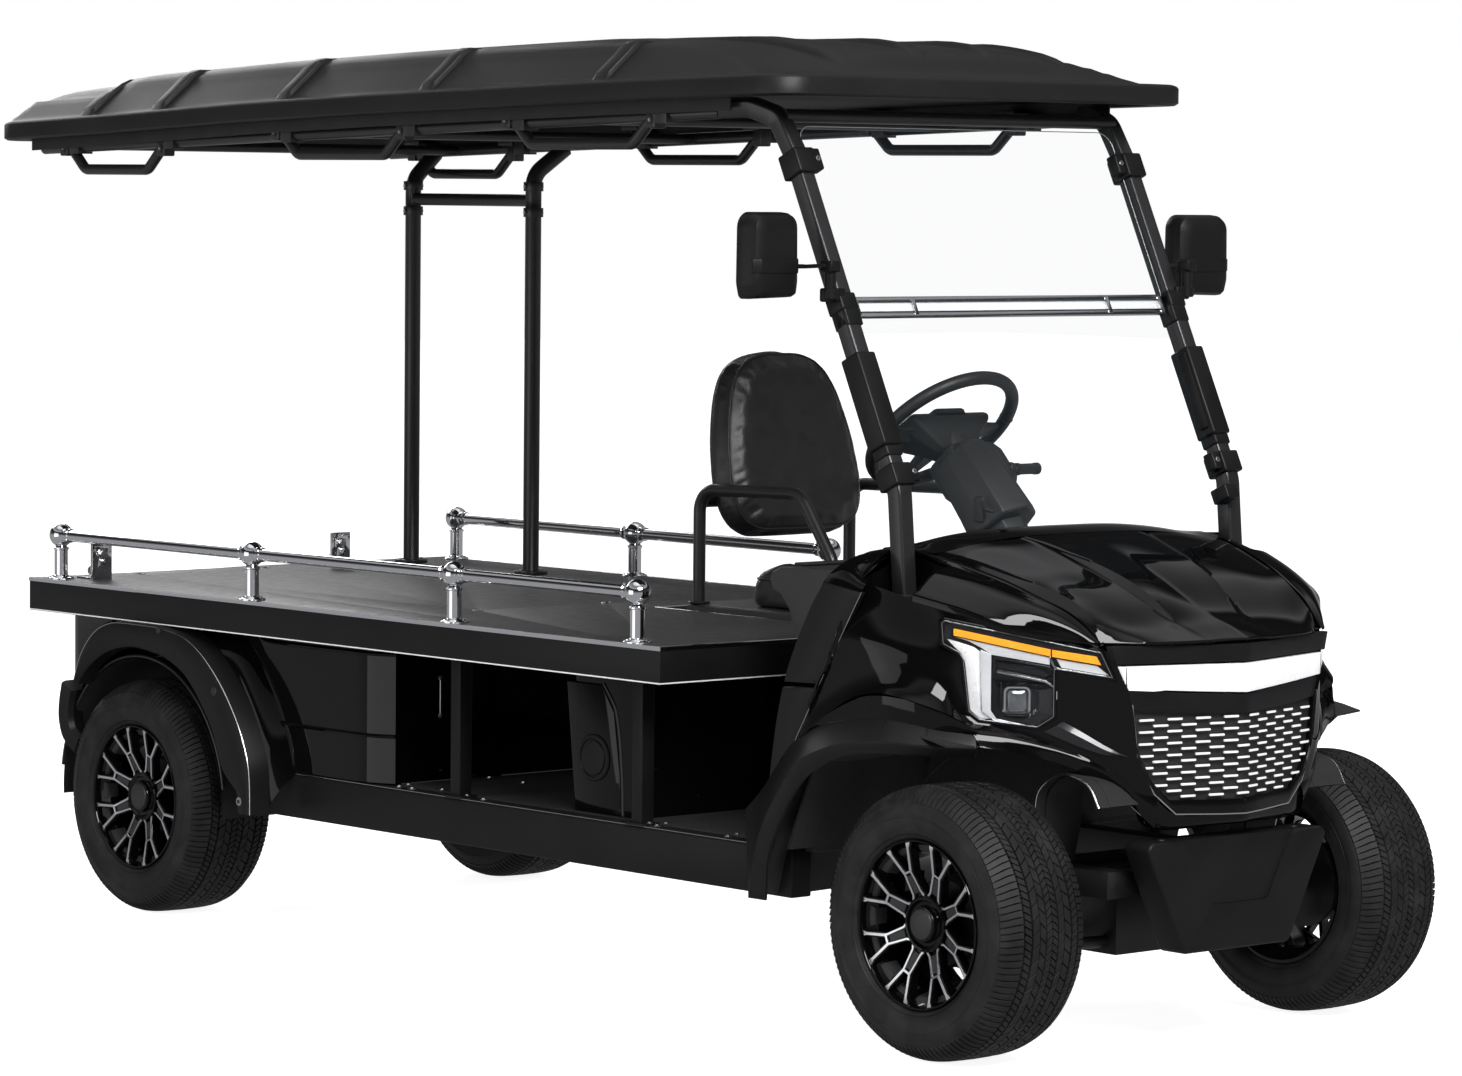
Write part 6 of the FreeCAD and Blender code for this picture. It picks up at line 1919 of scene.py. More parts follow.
tub = {
    "half": 598, "rear": 3250, "low": 399, "high": 732, "wheel": (2848, 292), "arch": 348,
    "turn": 190, "turnTo": 35,
    "upper": [(2440, 752), (2425, 742), (2400, 724), (2378, 716), (2261, 713), (2018, 713)],
    "lower": [(2492, 700), (2461, 668), (2414, 607), (2375, 550), (2352, 528), (2310, 519), (2159, 517),
              (2018, 517)],
}
rearFlare = {
    "outer": [(3066, 572), (3062, 583), (3032, 642), (2977, 697), (2911, 724), (2856, 729), (2780, 729),
              (2694, 727),
              (2599, 712), (2535, 685), (2483, 649), (2430, 601), (2378, 538), (2347, 486), (2321, 422),
              (2314, 368), (2313, 300)],
    "inner": [(3056, 560), (3049, 569), (2999, 613), (2933, 649), (2867, 666), (2813, 671), (2748, 666),
              (2683, 656),
              (2619, 633), (2577, 608), (2514, 546), (2471, 488), (2445, 429), (2427, 396), (2392, 366),
              (2372, 352), (2364, 300)],
    "bulge": [(3180, 520), (3165, 600), (3110, 690), (3010, 726), (2911, 729), (2856, 730), (2780, 730),
              (2694, 730),
              (2599, 730), (2500, 727), (2440, 700), (2375, 622), (2328, 552), (2298, 500), (2272, 430),
              (2262, 398), (2262, 398)],
}


def frontCorner(steps=10):
    # plan of the curved front corner, from the side to the sharp edge
    radius = tub["turn"]
    angles = [math.radians(tub["turnTo"] * i / steps) for i in range(steps + 1)]
    return [(-tub["half"] + radius - radius * math.cos(a), 2018 - radius * math.sin(a)) for a in angles]


def addTub():
    corner = frontCorner()
    last = tub["rear"]
    far = [(-tub["half"], last - 60), (-tub["half"] + 18, last - 18), (-tub["half"] + 60, last)]
    half = [(-x, s) for x, s in corner[::-1]] + [(-x, s) for x, s in far]
    other = [(x, s) for x, s in far[::-1]] + corner
    plan = mm([(x, s, 0) for x, s in half + other])
    low, high = tub["low"] / 1000, tub["high"] / 1000
    box = banded(plan, ((0.006, low), (0.0, low + 0.006), (0.0, high - 0.002), (0.002, high)))
    station, z = tub["wheel"]
    cutters = []
    for sign in (1, -1):
        start = dot(sign * 360, station, z)
        cutters.append(pin(start, xAxis * sign, tub["arch"] / 1000, 0.30, 0, 96))
    form = Form().add(carved(box, *cutters), "glossBlack")
    for name, thick in (("upper", 0.0075), ("lower", 0.0065)):
        line = [(-tub["half"], s, z) for s, z in tub[name]]
        line = course(mm(line), 40)
        edge = line[-1].z * 1000
        line = line[:-1] + mm([(x, s, edge) for x, s in corner])
        for sign in (1, -1):
            path = [Vector((point.x * sign, point.y, point.z)) for point in line]
            form.add(sweep(path, [(0.0078 * a, thick * 0.75 * b) for a, b in circle(1, 14)]), "glossBlack")
    for x, z in ((-430, 650), (-430, 560)):
        form.add(pin(dot(x, 1910, z), -yAxis, 0.0055, 0.003, 0.001, 16), "zincBolt")
    form.add(pin(dot(-430, 1908.5, 562), zAxis, 0.0012, 0.086, 0.0002, 8), "satinSilver")
    form.make("rearBodyBox", chassis, "body_gloss", ("rear_body",), sharp=28, closed=False)


def addRearFlares():
    form = Form()
    count = 64
    outer, inner, bulge = (course([dot(0, station, z) for station, z in rearFlare[name]], count)
                           for name in ("outer", "inner", "bulge"))

    def put(point, x, towards=None, by=0.0):
        spot = Vector((-x / 1000, point.y, point.z))
        if towards is not None:
            way = Vector((0, towards.y - point.y, towards.z - point.z)).normalized()
            spot += way * by
        return spot

    rings = []
    for i in range(count + 1):
        a, b = outer[i], inner[i]
        rings.append([put(a, 640, b, -0.010), put(a, 690, b, -0.001), put(a, 697, b, 0.0015),
                      put(a, 699.5, b, 0.006),
                      put(a.lerp(b, 0.5), 700), put(b, 696, a, 0.005), put(b, 691, a, 0.0005),
                      put(b, 655, a, -0.002),
                      put(b, 652, a, 0.006), put(a.lerp(b, 0.5), 660), put(a, 632, b, 0.008)])
    form.add(loft(rings), "matteTrim")
    line = [put(outer[i], 695.2, inner[i], -0.0002) for i in range(count + 1)]
    form.add(sweep(line, circle(0.0014, 8)), "brightStrip")
    tab = dot(-697, 2352, 330)
    form.add(pin(tab, -xAxis, 0.0105, 0.004, 0.0012, 24), "zincBolt")
    form.add(pin(tab - xAxis * 0.003, -xAxis, 0.0055, 0.0022, 0.0006, 6), "tubeBlack")
    for station, z, size in ((2691, 722, 0.0085), (2456, 590, 0.011)):
        form.add(lathe([(size, 0), (size, 0.0012), (size - 0.0016, 0.0018), (size - 0.0030, 0.0006),
                        (0.0001, 0.0006)],
                       dot(-699.6, station, z), -xAxis, 24), "tubeBlack")
    strip = course(mm([(-655, 3140, 548), (-650, 3158, 505), (-648, 3163, 463), (-646, 3150, 425),
                       (-640, 3118, 398)]), 16)
    form.add(sweep(strip, [(-0.024, -0.030), (0.024, -0.030), (0.028, 0.0), (0.022, 0.014), (-0.022, 0.014),
                           (-0.028, 0.0)]), "matteTrim")
    form.mirror()
    form.make("rearFlareSkins", chassis, "trim_plastic", ("rear_flares",), sharp=30)
    form = Form()
    rows = []
    for share, x in ((0.0, 645), (0.10, 645), (0.35, 640), (0.62, 628), (0.85, 610), (1.0, 597)):
        rows.append([put(outer[i].lerp(bulge[i], share), x) for i in range(count + 1)])
    form.add(grid(rows), "glossBlack")
    form.mirror()
    form.make("rearArchBulges", chassis, "body_gloss", ("rear_body",), sharp=30, closed=False)


def addRearWells():
    form = Form()
    station, z = tub["wheel"]

    def arc(x, radius, first, turn, steps=48):
        angles = [math.radians(first + turn * i / steps) for i in range(steps + 1)]
        return mm([(-x, station + radius * math.cos(a), z + radius * math.sin(a)) for a in angles])

    form.add(grid([arc(362, 346, -4, 188), arc(640, 346, -4, 188)]), "linerPlastic")
    form.add(sweep(arc(640, 352, 8, 164), circle(0.004, 8)), "tubeBlack")
    form.add(slab((-560, 3240, 290), (-250, 3246, 404), 0.001, 2), "linerPlastic")
    form.mirror()
    form.make("rearWells", chassis, "liner_plastic", ("wheel_liners",), sharp=35, closed=False)


def addSills():
    form = Form()
    form.add(slab((540, 461, 292), (598, 2460, 397), 0.004, 3), "matteTrim")
    form.add(slab((541, 465, 396), (595, 2456, 401), 0.0012, 2), "tubeBlack")
    form.add(sweep(mm([(596.6, 470, 399.6), (596.6, 2452, 399.6)]), circle(0.0013, 8)), "brightStrip")
    spots = [(dot(572, s, 401), zAxis) for s in (2440, 1880, 1830, 1560, 940, 700)]
    form.add(heads(spots, "zincBolt", 0.0065, 0.004), "zincBolt")
    form.mirror()
    form.make("sillTrims", chassis, "trim_plastic", ("side_sills",), sharp=35, closed=False)


def addFloorMat():
    form = rounded("floor_pan", 0.003, 2, "rubberMat")
    spots = [(dot(x, s, 404), zAxis) for x in (-545, -300, 300, 545) for s in (520, 700, 940, 1750,
                                                                                     1880)]
    form.add(heads(spots, "zincBolt", 0.0060, 0.0035), "zincBolt")
    form.make("floorMat", chassis, "floor_mat", ("floor_pan",), sharp=35, closed=False)


pod = {"cap": (1187, 531), "capSize": 54}


def addPedestal():
    form = rounded("seat_pedestal", 0.008, 4, "glossBlack")
    front = [(1164, 700), (1120, 640), (1098, 500), (1094, 404)]
    for sign in (1, -1):
        panel = prism(mm([(sign * 540, s, z) for s, z in [(1290, 700)] + front + [(1256, 404)]]),
                      xAxis * 0.010 * sign)
        form.add(softened(panel, 0.0035, 3), "glossBlack")
        corner = course(mm([(sign * 536, s, z) for s, z in front]), 20)
        form.add(sweep(corner, circle(0.012, 16)), "glossBlack")
        station, z = pod["cap"]
        middle = dot(sign * 549, station, z)
        size = pod["capSize"] / 1000
        form.add(lathe([(size, 0), (size, 0.004), (size - 0.003, 0.0065), (size - 0.008, 0.0065),
                        (size - 0.010, 0.0035),
                        (size - 0.013, 0.0035), (size - 0.015, 0.0072), (size - 0.026, 0.0086),
                        (0.0001, 0.0092)],
                       middle, xAxis * sign, 48), "matteTrim")
    form.make("pedestalPod", chassis, "body_gloss", ("seat_pedestal",), sharp=30, closed=False)


def addTailLights():
    form = rounded("tail_lights", 0.004, 4, "redLens")
    for x in (-515, 515):
        for z in (592, 612, 632, 652):
            form.add(slab((x - 36, 3262, z - 3), (x + 36, 3264.6, z + 3), 0.0008, 2),
                     "redLens")
        form.add(slab((x - 49, 3249, 556), (x + 49, 3254, 684), 0.0015, 2), "tubeBlack")
    form.make("tailLamps", chassis, "lamp_red", ("tail_lights",), sharp=35)


addTub()
addRearFlares()
addRearWells()
addSills()
addFloorMat()
addPedestal()
addTailLights()
print("lower body done")
# undercarriage and rear posts: CAD shapes with bolts, bushes and collars


def addFrontArms():
    form = rounded("front_suspension", 0.002, 2, "framePaint")
    low, high = (Vector(corner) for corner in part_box("front_suspension"))
    reach = high.x - 0.012
    for sign in (1, -1):
        for z in (low.z + 0.013, high.z - 0.013):
            spot = Vector((sign * reach, at(0, 0, 0).y, z))
            form.add(pin(spot, zAxis, 0.017, 0.030, 0.0015, 20), "zincBolt")
            form.add(pin(spot, zAxis, 0.009, 0.042, 0.0012, 6), "zincBolt")
    form.make("frontArms", chassis, "frame_paint", ("front_suspension",), closed=False)


def addRearPosts():
    form = rounded("rear_posts", 0.0015, 2, "tubeBlack")
    low, high = (Vector(corner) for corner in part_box("rear_posts"))
    size = {"x": 0.470, "foot": 0.044, "collar": 0.026, "heights": (1.757, 1.824)}
    for y in (low.y + size["foot"], high.y - size["foot"]):
        for z in size["heights"]:
            for way in (-1, 1):
                spot = Vector((size["x"] + way * size["collar"], y, z))
                form.add(pin(spot, xAxis * way, 0.0055, 0.005, 0.0008, 6), "zincBolt")
        for way in (-1, 1):
            spot = Vector((size["x"] + way * 0.033, y, low.z + 0.0085))
            form.add(pin(spot, zAxis, 0.006, 0.004, 0.0008, 6), "zincBolt")
    form.make("rearPostTubes", chassis, "tube_black", ("rear_posts",), sharp=35, closed=False)


addFrontArms()
addRearPosts()
print("undercarriage done")


# windshield: bent pillars with sleeves and clamps, panes, hinge and mirrors

screen = {
    "x": 507, "knee": (232, 1180), "slope": 25.5, "half": 20.5, "round": 7, "pane": 482,
    "split": (1554, 1582),
    "low": 1098, "high": 1958, "sleeve": (1272, 1466), "mirror": (662, 483, 1680),
}


def onScreen(x, z, out=0.0):
    # point of the windshield's plane; out is towards the front
    lean = math.radians(screen["slope"])
    station = screen["knee"][0] + (z - screen["knee"][1]) * math.tan(lean)
    return dot(x, station - out * math.cos(lean), z + out * math.sin(lean))


leanWay = (onScreen(0, 1500) - onScreen(0, 1400)).normalized()
faceWay = (onScreen(0, 1500, 10) - onScreen(0, 1500)).normalized()


def screenBox(x, z, size, out=0.0):
    # block square to the windshield: across, along and out
    turn = Matrix((xAxis, leanWay, faceWay)).transposed()
    return boxAbout(onScreen(x, z, out), tuple(part / 1000 for part in size), turn)


def screenSection(half, radius, steps=4):
    corners = [(-half, -half, 0), (half, -half, 0), (half, half, 0), (-half, half, 0)]
    return [(point.x / 1000, point.y / 1000) for point in roundedOutline(corners, radius, steps)]


def addScreenFrame():
    form = Form()
    x = screen["x"]
    path = mm([(x, 302, 700), (x, 208, 905), (x, 213, 959), (x, 232, 1180)])
    path += [onScreen(x, 1890)] + mm([(x + 2, 628, 1978), (x + 24, 690, 2000), (560, 760, 1998)])
    line = bent(path[:5], 0.07, 8) + bent(path[4:], 0.05, 8)[1:]
    form.add(sweep(line, screenSection(screen["half"], screen["round"])), "tubeBlack")
    low, high = screen["sleeve"]
    middle, long = (low + high) / 2, (high - low) / math.cos(math.radians(screen["slope"]))
    sleeves = [(1, middle, (55, long, 58), 0, 0.0055, 3),
               (-24, middle + 3, (18, long - 30, 30), 6, 0.003, 2),
               (0, low - 10, (47, 26, 48), 0, 0.005, 3), (0, 1575, (49, 40, 50), 0, 0.005, 3),
               (-2, 1556, (45, 70, 46), 0, 0.004, 3)]
    for z, high in ((1211, 50), (1876, 58)):
        sleeves += [(0, z, (58, high, 60), 0, 0.005, 3), (-34, z + 4, (34, high - 8, 30), 8, 0.004, 3)]
        spot = onScreen(x - 38, z + 4, 22.5)
        form.add(pin(spot, faceWay, 0.0062, 0.0028, 0.0008, 20), "zincBolt")
        form.add(pin(spot + faceWay * 0.0022, faceWay, 0.0026, 0.0010, 0.0002, 6), "tubeBlack")
    # sleeves and clamps: aside from the pillar, height, size, how far out, edge radius and its segments
    for aside, z, size, out, edge, segments in sleeves:
        form.add(softened(screenBox(x + aside, z, size, out), edge, segments), "matteTrim")
    form.add(pin(dot(x, 213, 955), zAxis, 0.034, 0.010, 0.003, 28), "matteTrim")
    form.mirror()
    bar = [onScreen(side, 1982, 0) for side in (-x, x)]
    form.add(tube(bar, 0.015, 0, 20), "tubeBlack")
    form.add(softened(screenBox(x - 40, 1142, (40, 34, 50), 14), 0.004, 3), "matteTrim")
    form.make("screenPillars", chassis, "tube_black", ("windshield_frame",), sharp=32)


def addPanes():
    form = Form()
    half = screen["pane"]
    for low, high, top in ((screen["low"], screen["split"][0], 6),
                           (screen["split"][1], screen["high"], 38)):
        corners = [onScreen(-half, low), onScreen(half, low), onScreen(half, high), onScreen(-half, high)]
        outline = roundedOutline(corners, [0.014, 0.014, top / 1000, top / 1000], 8)
        form.add(prism([point - faceWay * 0.0024 for point in outline], faceWay * 0.0048), "windowGlass")
        if top > 10:
            edge = [point + faceWay * 0.0024 for point in outline]
            form.add(sweep(edge, circle(0.0011, 6), closed=True), "paneEdge")
    form.make("screenPanes", chassis, "glass", ("windshield",), sharp=32)
    form = Form()
    for z, wide, thick, out, look in ((1585, 11, 9, 1, "brightStrip"), (1551, 11, 9, 1, "brightStrip"),
                                      (1568, 26, 4, 0, "clearStrip"), (1579, 2.4, 11, 1.2, "tubeBlack"),
                                      (1557, 2.4, 11, 1.2, "tubeBlack")):
        form.add(softened(screenBox(0, z, (2 * 476, wide, thick), out), 0.001, 2), look)
    for x in (-470, -300, 300, 470):
        form.add(softened(screenBox(x, 1568, (12, 40, 8), 3), 0.0015, 2), "brightStrip")
    form.make("screenHinge", chassis, "bright_strip", ("windshield_hinge",), sharp=32)


def addMirrors():
    x, station, z = screen["mirror"]
    centre = dot(x, station, z)
    turn = Matrix.Rotation(math.radians(-8), 3, "Z")
    form = Form()

    def local(u, v, w):
        # across, forwards from the glass, up; in mm
        return centre + turn @ Vector((u / 1000, v / 1000, w / 1000))

    corners = [(-70, 0, -90), (66, 0, -93), (75, 0, -60), (73, 0, 93), (-73, 0, 93), (-75, 0, -60)]
    outline = [(point.x, point.z) for point in roundedOutline(corners, [30, 34, 60, 32, 30, 60], 6)]
    rings = []
    for scale, v in ((0.90, 31), (0.975, 31), (1.0, 27), (1.0, 8), (0.985, -8), (0.93, -20), (0.80, -27),
                     (0.55, -30.5), (0.25, -31)):
        rings.append([local(u * scale, v, w * scale) for u, w in outline])
    form.add(loft(rings), "matteTrim")
    rings = []
    for out, drop in ((-24, 17), (-33.5, 16), (-35, 12), (-35, -12), (-33.5, -16), (-24, -17)):
        rings.append([local(u, out * (1 - 0.18 * (u / 76) ** 2) if abs(u) < 70 else out * 0.5,
                            -22 + drop * (1 - 0.12 * (u + 75) / 150)) for u in (74, 60, 40, 20, 0, -20,
                                                                                -40, -60, -72)])
    form.add(grid(rings), "matteTrim")
    post = onScreen(screen["x"], 1596, 0)
    knuckle = post + Vector((0.044, -0.020, 0.012))
    arm = bent([local(-60, -26, -22), local(-84, -18, -24), knuckle + Vector((0.004, 0.000, 0.052))], 0.015)
    strap = [(0.015, 0.004), (-0.015, 0.004), (-0.015, -0.004), (0.015, -0.004)]
    form.add(sweep(arm, strap), "matteTrim")
    form.add(softened(boxAbout(knuckle + Vector((0, 0, 0.050)), (0.030, 0.036, 0.024)), 0.004, 3),
             "matteTrim")
    form.add(pin(knuckle - zAxis * 0.012, zAxis, 0.0125, 0.060, 0.002, 24), "matteTrim")
    form.add(pin(knuckle - zAxis * 0.022, zAxis, 0.0165, 0.024, 0.003, 24), "matteTrim")
    form.add(softened(boxAbout(post + Vector((0.026, -0.008, 0.000)), (0.044, 0.040, 0.030)), 0.005, 3),
             "matteTrim")
    form.mirror()
    form.make("mirrorCases", chassis, "trim_plastic", ("mirrors",), sharp=35, closed=False)
    form = Form()
    face = [(u * 0.86, w * 0.86) for u, w in outline]
    form.add(loft([[local(u * scale, v, w * scale) for u, w in face]
                   for scale, v in ((1.0, 30.6), (1.0, 32.0), (0.985, 32.7))]), "mirrorLook")
    form.mirror()
    form.make("mirrorPanes", chassis, "mirror", ("mirror_glass",), sharp=30)


addScreenFrame()
addPanes()
addMirrors()
print("windshield done")


# dashboard: moulded shelf with its lip, tray, glove box and instrument hood

def addDash():
    form = Form()
    profile = [(238, 980), (262, 996), (330, 1002), (560, 999), (640, 996), (668, 984), (676, 966),
               (668, 948), (640, 936),
               (612, 905), (590, 850), (560, 802), (480, 735), (330, 715), (292, 742)]
    rows = []
    for x, scale in ((-481, 0.965), (-480.5, 0.985), (-478, 0.997), (-472, 1), (-200, 1), (0, 1), (200, 1),
                     (472, 1), (478, 0.997), (480.5, 0.985), (481, 0.965)):
        rows.append(mm([(x, 420 + (s - 420) * scale, 870 + (z - 870) * scale) for s, z in profile]))
    form.add(softened(loft(rows), 0.007, 3, 22), "cabinPlastic")
    for x0, x1 in ((-440, -40), (120, 460)):
        box = block(*mm([(x0, 600, 998), (x1, 640, 1004)]))
        form.add(softened(box, 0.0025, 3), "cabinPlastic")
    door = [(x, 0, z) for x, z in ((-430, 0), (-60, 0), (-60, 62), (-430, 62))]
    outline = roundedOutline([Vector(c) for c in door], 14, 5)
    rings = []
    for out, scale in ((-2, 1.0), (3.5, 1.0), (5.5, 0.985)):
        rings.append(mm([(-245 + (p.x + 245) * scale, 604 + p.z * 0.35 + out,
                          862 + p.z - out * 0.35) for p in outline]))
    form.add(loft(rings), "cabinPlastic")
    form.add(softened(boxAbout(dot(-245, 634, 914), (0.090, 0.012, 0.018)), 0.003, 3), "gripLook")
    hood = [(-92, 330), (92, 330), (92, 470), (-92, 470)]
    rings = []
    for share, z in ((1.0, 996), (1.0, 1000), (0.96, 1003.5), (0.5, 1004.5), (0.05, 1004.8)):
        rings.append(mm([(300 + x * share, 400 + (s - 400) * share, z) for x, s in hood]))
    form.add(loft(rings), "cabinPlastic")
    for x in (-20, 20, 60):
        key = dot(x, 664, 968)
        form.add(softened(boxAbout(key, (0.028, 0.016, 0.020)), 0.003, 3), "gripLook")
    form.make("dashShelf", chassis, "cabin_plastic", ("dashboard",), sharp=32, closed=False)


addDash()
print("dash done")


# driver's seat: crowned cushion and back, plinth and armrest hoops

seat = {
    "x": 320, "half": 222, "front": 1030, "rear": 1422, "foot": (1440, 1000), "lean": 12.4,
    "back": [(0, 128), (8, 158), (28, 188), (60, 208), (110, 219), (160, 219), (245, 209), (332, 187),
             (375, 169), (405, 149), (428, 122), (442, 92), (450, 58), (452, 25)],
}


def puffed(shape, cap, held, voxel=0.0055):
    # pad blown up by cloth, each point kept near its start; held says which points stay
    thing = standIn(shape)
    even = thing.modifiers.new("even", "REMESH")
    even.mode = "VOXEL"
    even.voxel_size = voxel
    plainMesh(thing)
    start = [vertex.co.copy() for vertex in thing.data.vertices]
    group = thing.vertex_groups.new(name="held")
    group.add([i for i, point in enumerate(start) if held(point)], 1.0, "REPLACE")
    cloth = thing.modifiers.new("air", "CLOTH")
    cloth.settings.use_pressure = True
    cloth.settings.uniform_pressure_force = 4
    cloth.settings.effector_weights.gravity = 0
    cloth.settings.vertex_group_mass = "held"
    cloth.point_cache.frame_end = 20
    for i in range(1, 21):
        scene.frame_set(i)
    plainMesh(thing)
    scene.frame_set(1)
    for vertex, first in zip(thing.data.vertices, start):
        way = vertex.co - first
        if way.length > cap:
            vertex.co = first + way * (cap / way.length)
    smoother = thing.modifiers.new("even out", "SMOOTH")
    smoother.iterations = 6
    return taken(thing)


def pressed(shape, line, deep, reach):
    # sewn line drawn into a pad
    points, faces = shape
    tree = KDTree(len(line))
    for i, point in enumerate(line):
        tree.insert(point, i)
    tree.balance()
    surface = BVHTree.FromPolygons([tuple(point) for point in points], faces)
    result = []
    for point in points:
        away = tree.find(point)[2]
        if away < reach:
            way = surface.find_nearest(point)[1]
            point = point - way * deep * (1 - smooth(away / reach))
        result.append(point)
    return result, faces


def onPad(shape, line, out=0.0):
    surface = BVHTree.FromPolygons([tuple(point) for point in shape[0]], shape[1])
    found = [surface.find_nearest(point) for point in line]
    return [spot + way * out for spot, way, *rest in found]


def stitches(form, line, way, step=0.007):
    # short threads along a closed line
    total = course(list(line) + [line[0]],
                   int(sum((b - a).length for a, b in zip(line, line[1:])) / step / 2) * 2, False)
    for a, b in zip(total[::2], total[1::2]):
        form.add(sweep([a, a.lerp(b, 0.5) + way * 0.0005, b], circle(0.0007, 5)), "threadLook")


def backAt(u, v, w):
    lean = math.radians(seat["lean"])
    station, z = seat["foot"]
    return dot(seat["x"] + u, station + v * math.sin(lean) + w * math.cos(lean),
               z + v * math.cos(lean) - w * math.sin(lean))


def addSeatBack():
    line = [(half, v) for v, half in seat["back"]]
    outline = [Vector((u, v, 0)) for u, v in line + [(-u, v) for u, v in reversed(line)]]
    outline = course(outline + [outline[0]], 110)[:-1]
    middle = Vector((0, 225, 0))

    def ring(wide, tall, w):
        # the outline scaled about its middle, at depth w
        return [backAt(point.x * wide, (point.y - middle.y) * tall + middle.y, w) for point in outline]

    def drawn(inset, w):
        return ring(1 - inset / 215, 1 - inset / 222, w)

    edges = [(60, 74), (22, 76), (8, 74), (3, 68), (2, 45), (3, 20), (5, 11), (9, 7), (24, 4), (50, 2)]
    faces = [(0.60, 0.5), (0.42, 0), (0.22, 0), (0.04, 0)]
    shape = loft([drawn(*row) for row in edges] + [ring(share, share, w) for share, w in faces])
    rear = backAt(0, 200, 70)
    normal = (backAt(0, 200, 60) - backAt(0, 200, 70)).normalized()
    shape = puffed(shape, 0.009, lambda point: (point - rear).dot(normal) < 0.012)
    seam = drawn(5, 9)
    seam = course(seam + [seam[0]], 240, False)[:-1]
    shape = pressed(shape, seam, 0.0035, 0.010)
    form = Form().add(shape, "leatherLook")
    form.add(sweep(onPad(shape, seam, 0.0012), circle(0.0026, 8), closed=True), "leatherLook")
    form.add(sweep(onPad(shape, drawn(5, 72), 0.0005), circle(0.0022, 8), closed=True), "leatherLook")
    panel = [(0.86, 75), (0.86, 79.5), (0.84, 81.5), (0.5, 83), (0.04, 83)]
    form.add(loft([ring(share, share, w) for share, w in panel]), "cabinPlastic")
    thing = form.make("seatBackPad", chassis, "leather", ("seat_back",), sharp=50, closed=False)


def addCushion():
    half, x = seat["half"] - 7, seat["x"]
    corners = [(x - half, seat["front"] + 7, 0), (x + half, seat["front"] + 7, 0),
               (x + half, seat["rear"] - 6, 0), (x - half, seat["rear"] - 6, 0)]
    plan = roundedOutline(corners, [62, 62, 40, 40], 8)
    plan = course(plan + [plan[0]], 130, False)[:-1]
    middle = Vector((x, (seat["front"] + seat["rear"]) / 2, 0))
    rings = []
    for inset, z in ((70, 831), (12, 831), (4, 835), (0, 845), (1, 868), (3, 888), (6, 902), (12, 912),
                     (26, 918), (52, 922), (90, 924)):
        rings.append([dot(point.x + (middle.x - point.x) * inset / half,
                          point.y + (middle.y - point.y) * inset / 190,
                          z - 9 * smooth((1130 - point.y) / 110) * smooth((z - 860) / 60))
                      for point in plan])
    for share, z in ((0.36, 922), (0.18, 920), (0.03, 919)):
        rings.append([dot(middle.x + (point.x - middle.x) * share,
                          middle.y + (point.y - middle.y) * share, z) for point in plan])
    shape = puffed(loft(rings), 0.011, lambda point: point.z < 0.8335)
    seam = [dot(point.x + (middle.x - point.x) * 5 / half, point.y + (middle.y - point.y) * 5 / 190,
                900 - 8 * smooth((1130 - point.y) / 110)) for point in plan]
    seam = course(seam + [seam[0]], 260, False)[:-1]
    shape = pressed(shape, seam, 0.004, 0.011)
    panel = [dot(middle.x + (point.x - middle.x) * 0.62, middle.y + (point.y - middle.y) * 0.62 + 6, 935)
             for point in plan]
    panel = onPad(shape, course(panel + [panel[0]], 260, False)[:-1])
    shape = pressed(shape, panel, 0.004, 0.012)
    top = 0.9355
    shape = [Vector((point.x, point.y, min(point.z, top))) for point in shape[0]], shape[1]
    form = Form().add(shape, "leatherLook")
    form.add(sweep(onPad(shape, seam, 0.0014), circle(0.0028, 8), closed=True), "leatherLook")
    stitches(form, onPad(shape, panel, 0.0004), zAxis)
    thing = form.make("seatCushionPad", chassis, "leather", ("seat_cushion",), sharp=50, closed=False)


def addSeatBase():
    form = rounded("seat_base", 0.007, 3, "cabinPlastic")
    for z in (752, 812):
        for sign in (1, -1):
            x = seat["x"] + sign * 260.5
            form.add(sweep(mm([(x, 1040, z), (x, 1564, z)]), circle(0.0016, 8)), "tubeBlack")
    form.make("seatPlinth", chassis, "cabin_plastic", ("seat_base",), sharp=35, closed=False)
    form = Form().add(cadShape("armrests"), "tubeBlack")
    low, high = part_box("armrests")
    for x in (low[0] + 0.015, high[0] - 0.015):
        for station in (1064, 1552):
            base = dot(0, station, 831) + xAxis * x
            form.add(pin(base, zAxis, 0.027, 0.005, 0.0015, 28), "tubeBlack")
    form.make("armrestHoops", chassis, "tube_black", ("armrests",), sharp=40, closed=False)


addSeatBack()
addCushion()
addSeatBase()
print("seat done")


# steering wheel, column, pedals

steer = {"hub": (300, 950, 1266), "tilt": 43, "ring": 185, "grip": 16}


def wheelAt(u, v, w):
    # in mm: across, towards the driver in the wheel's plane, along its shaft
    x, station, z = steer["hub"]
    tilt = math.radians(steer["tilt"])
    return dot(x + u, station + v * math.cos(tilt) + w * math.sin(tilt),
               z - v * math.sin(tilt) + w * math.cos(tilt))


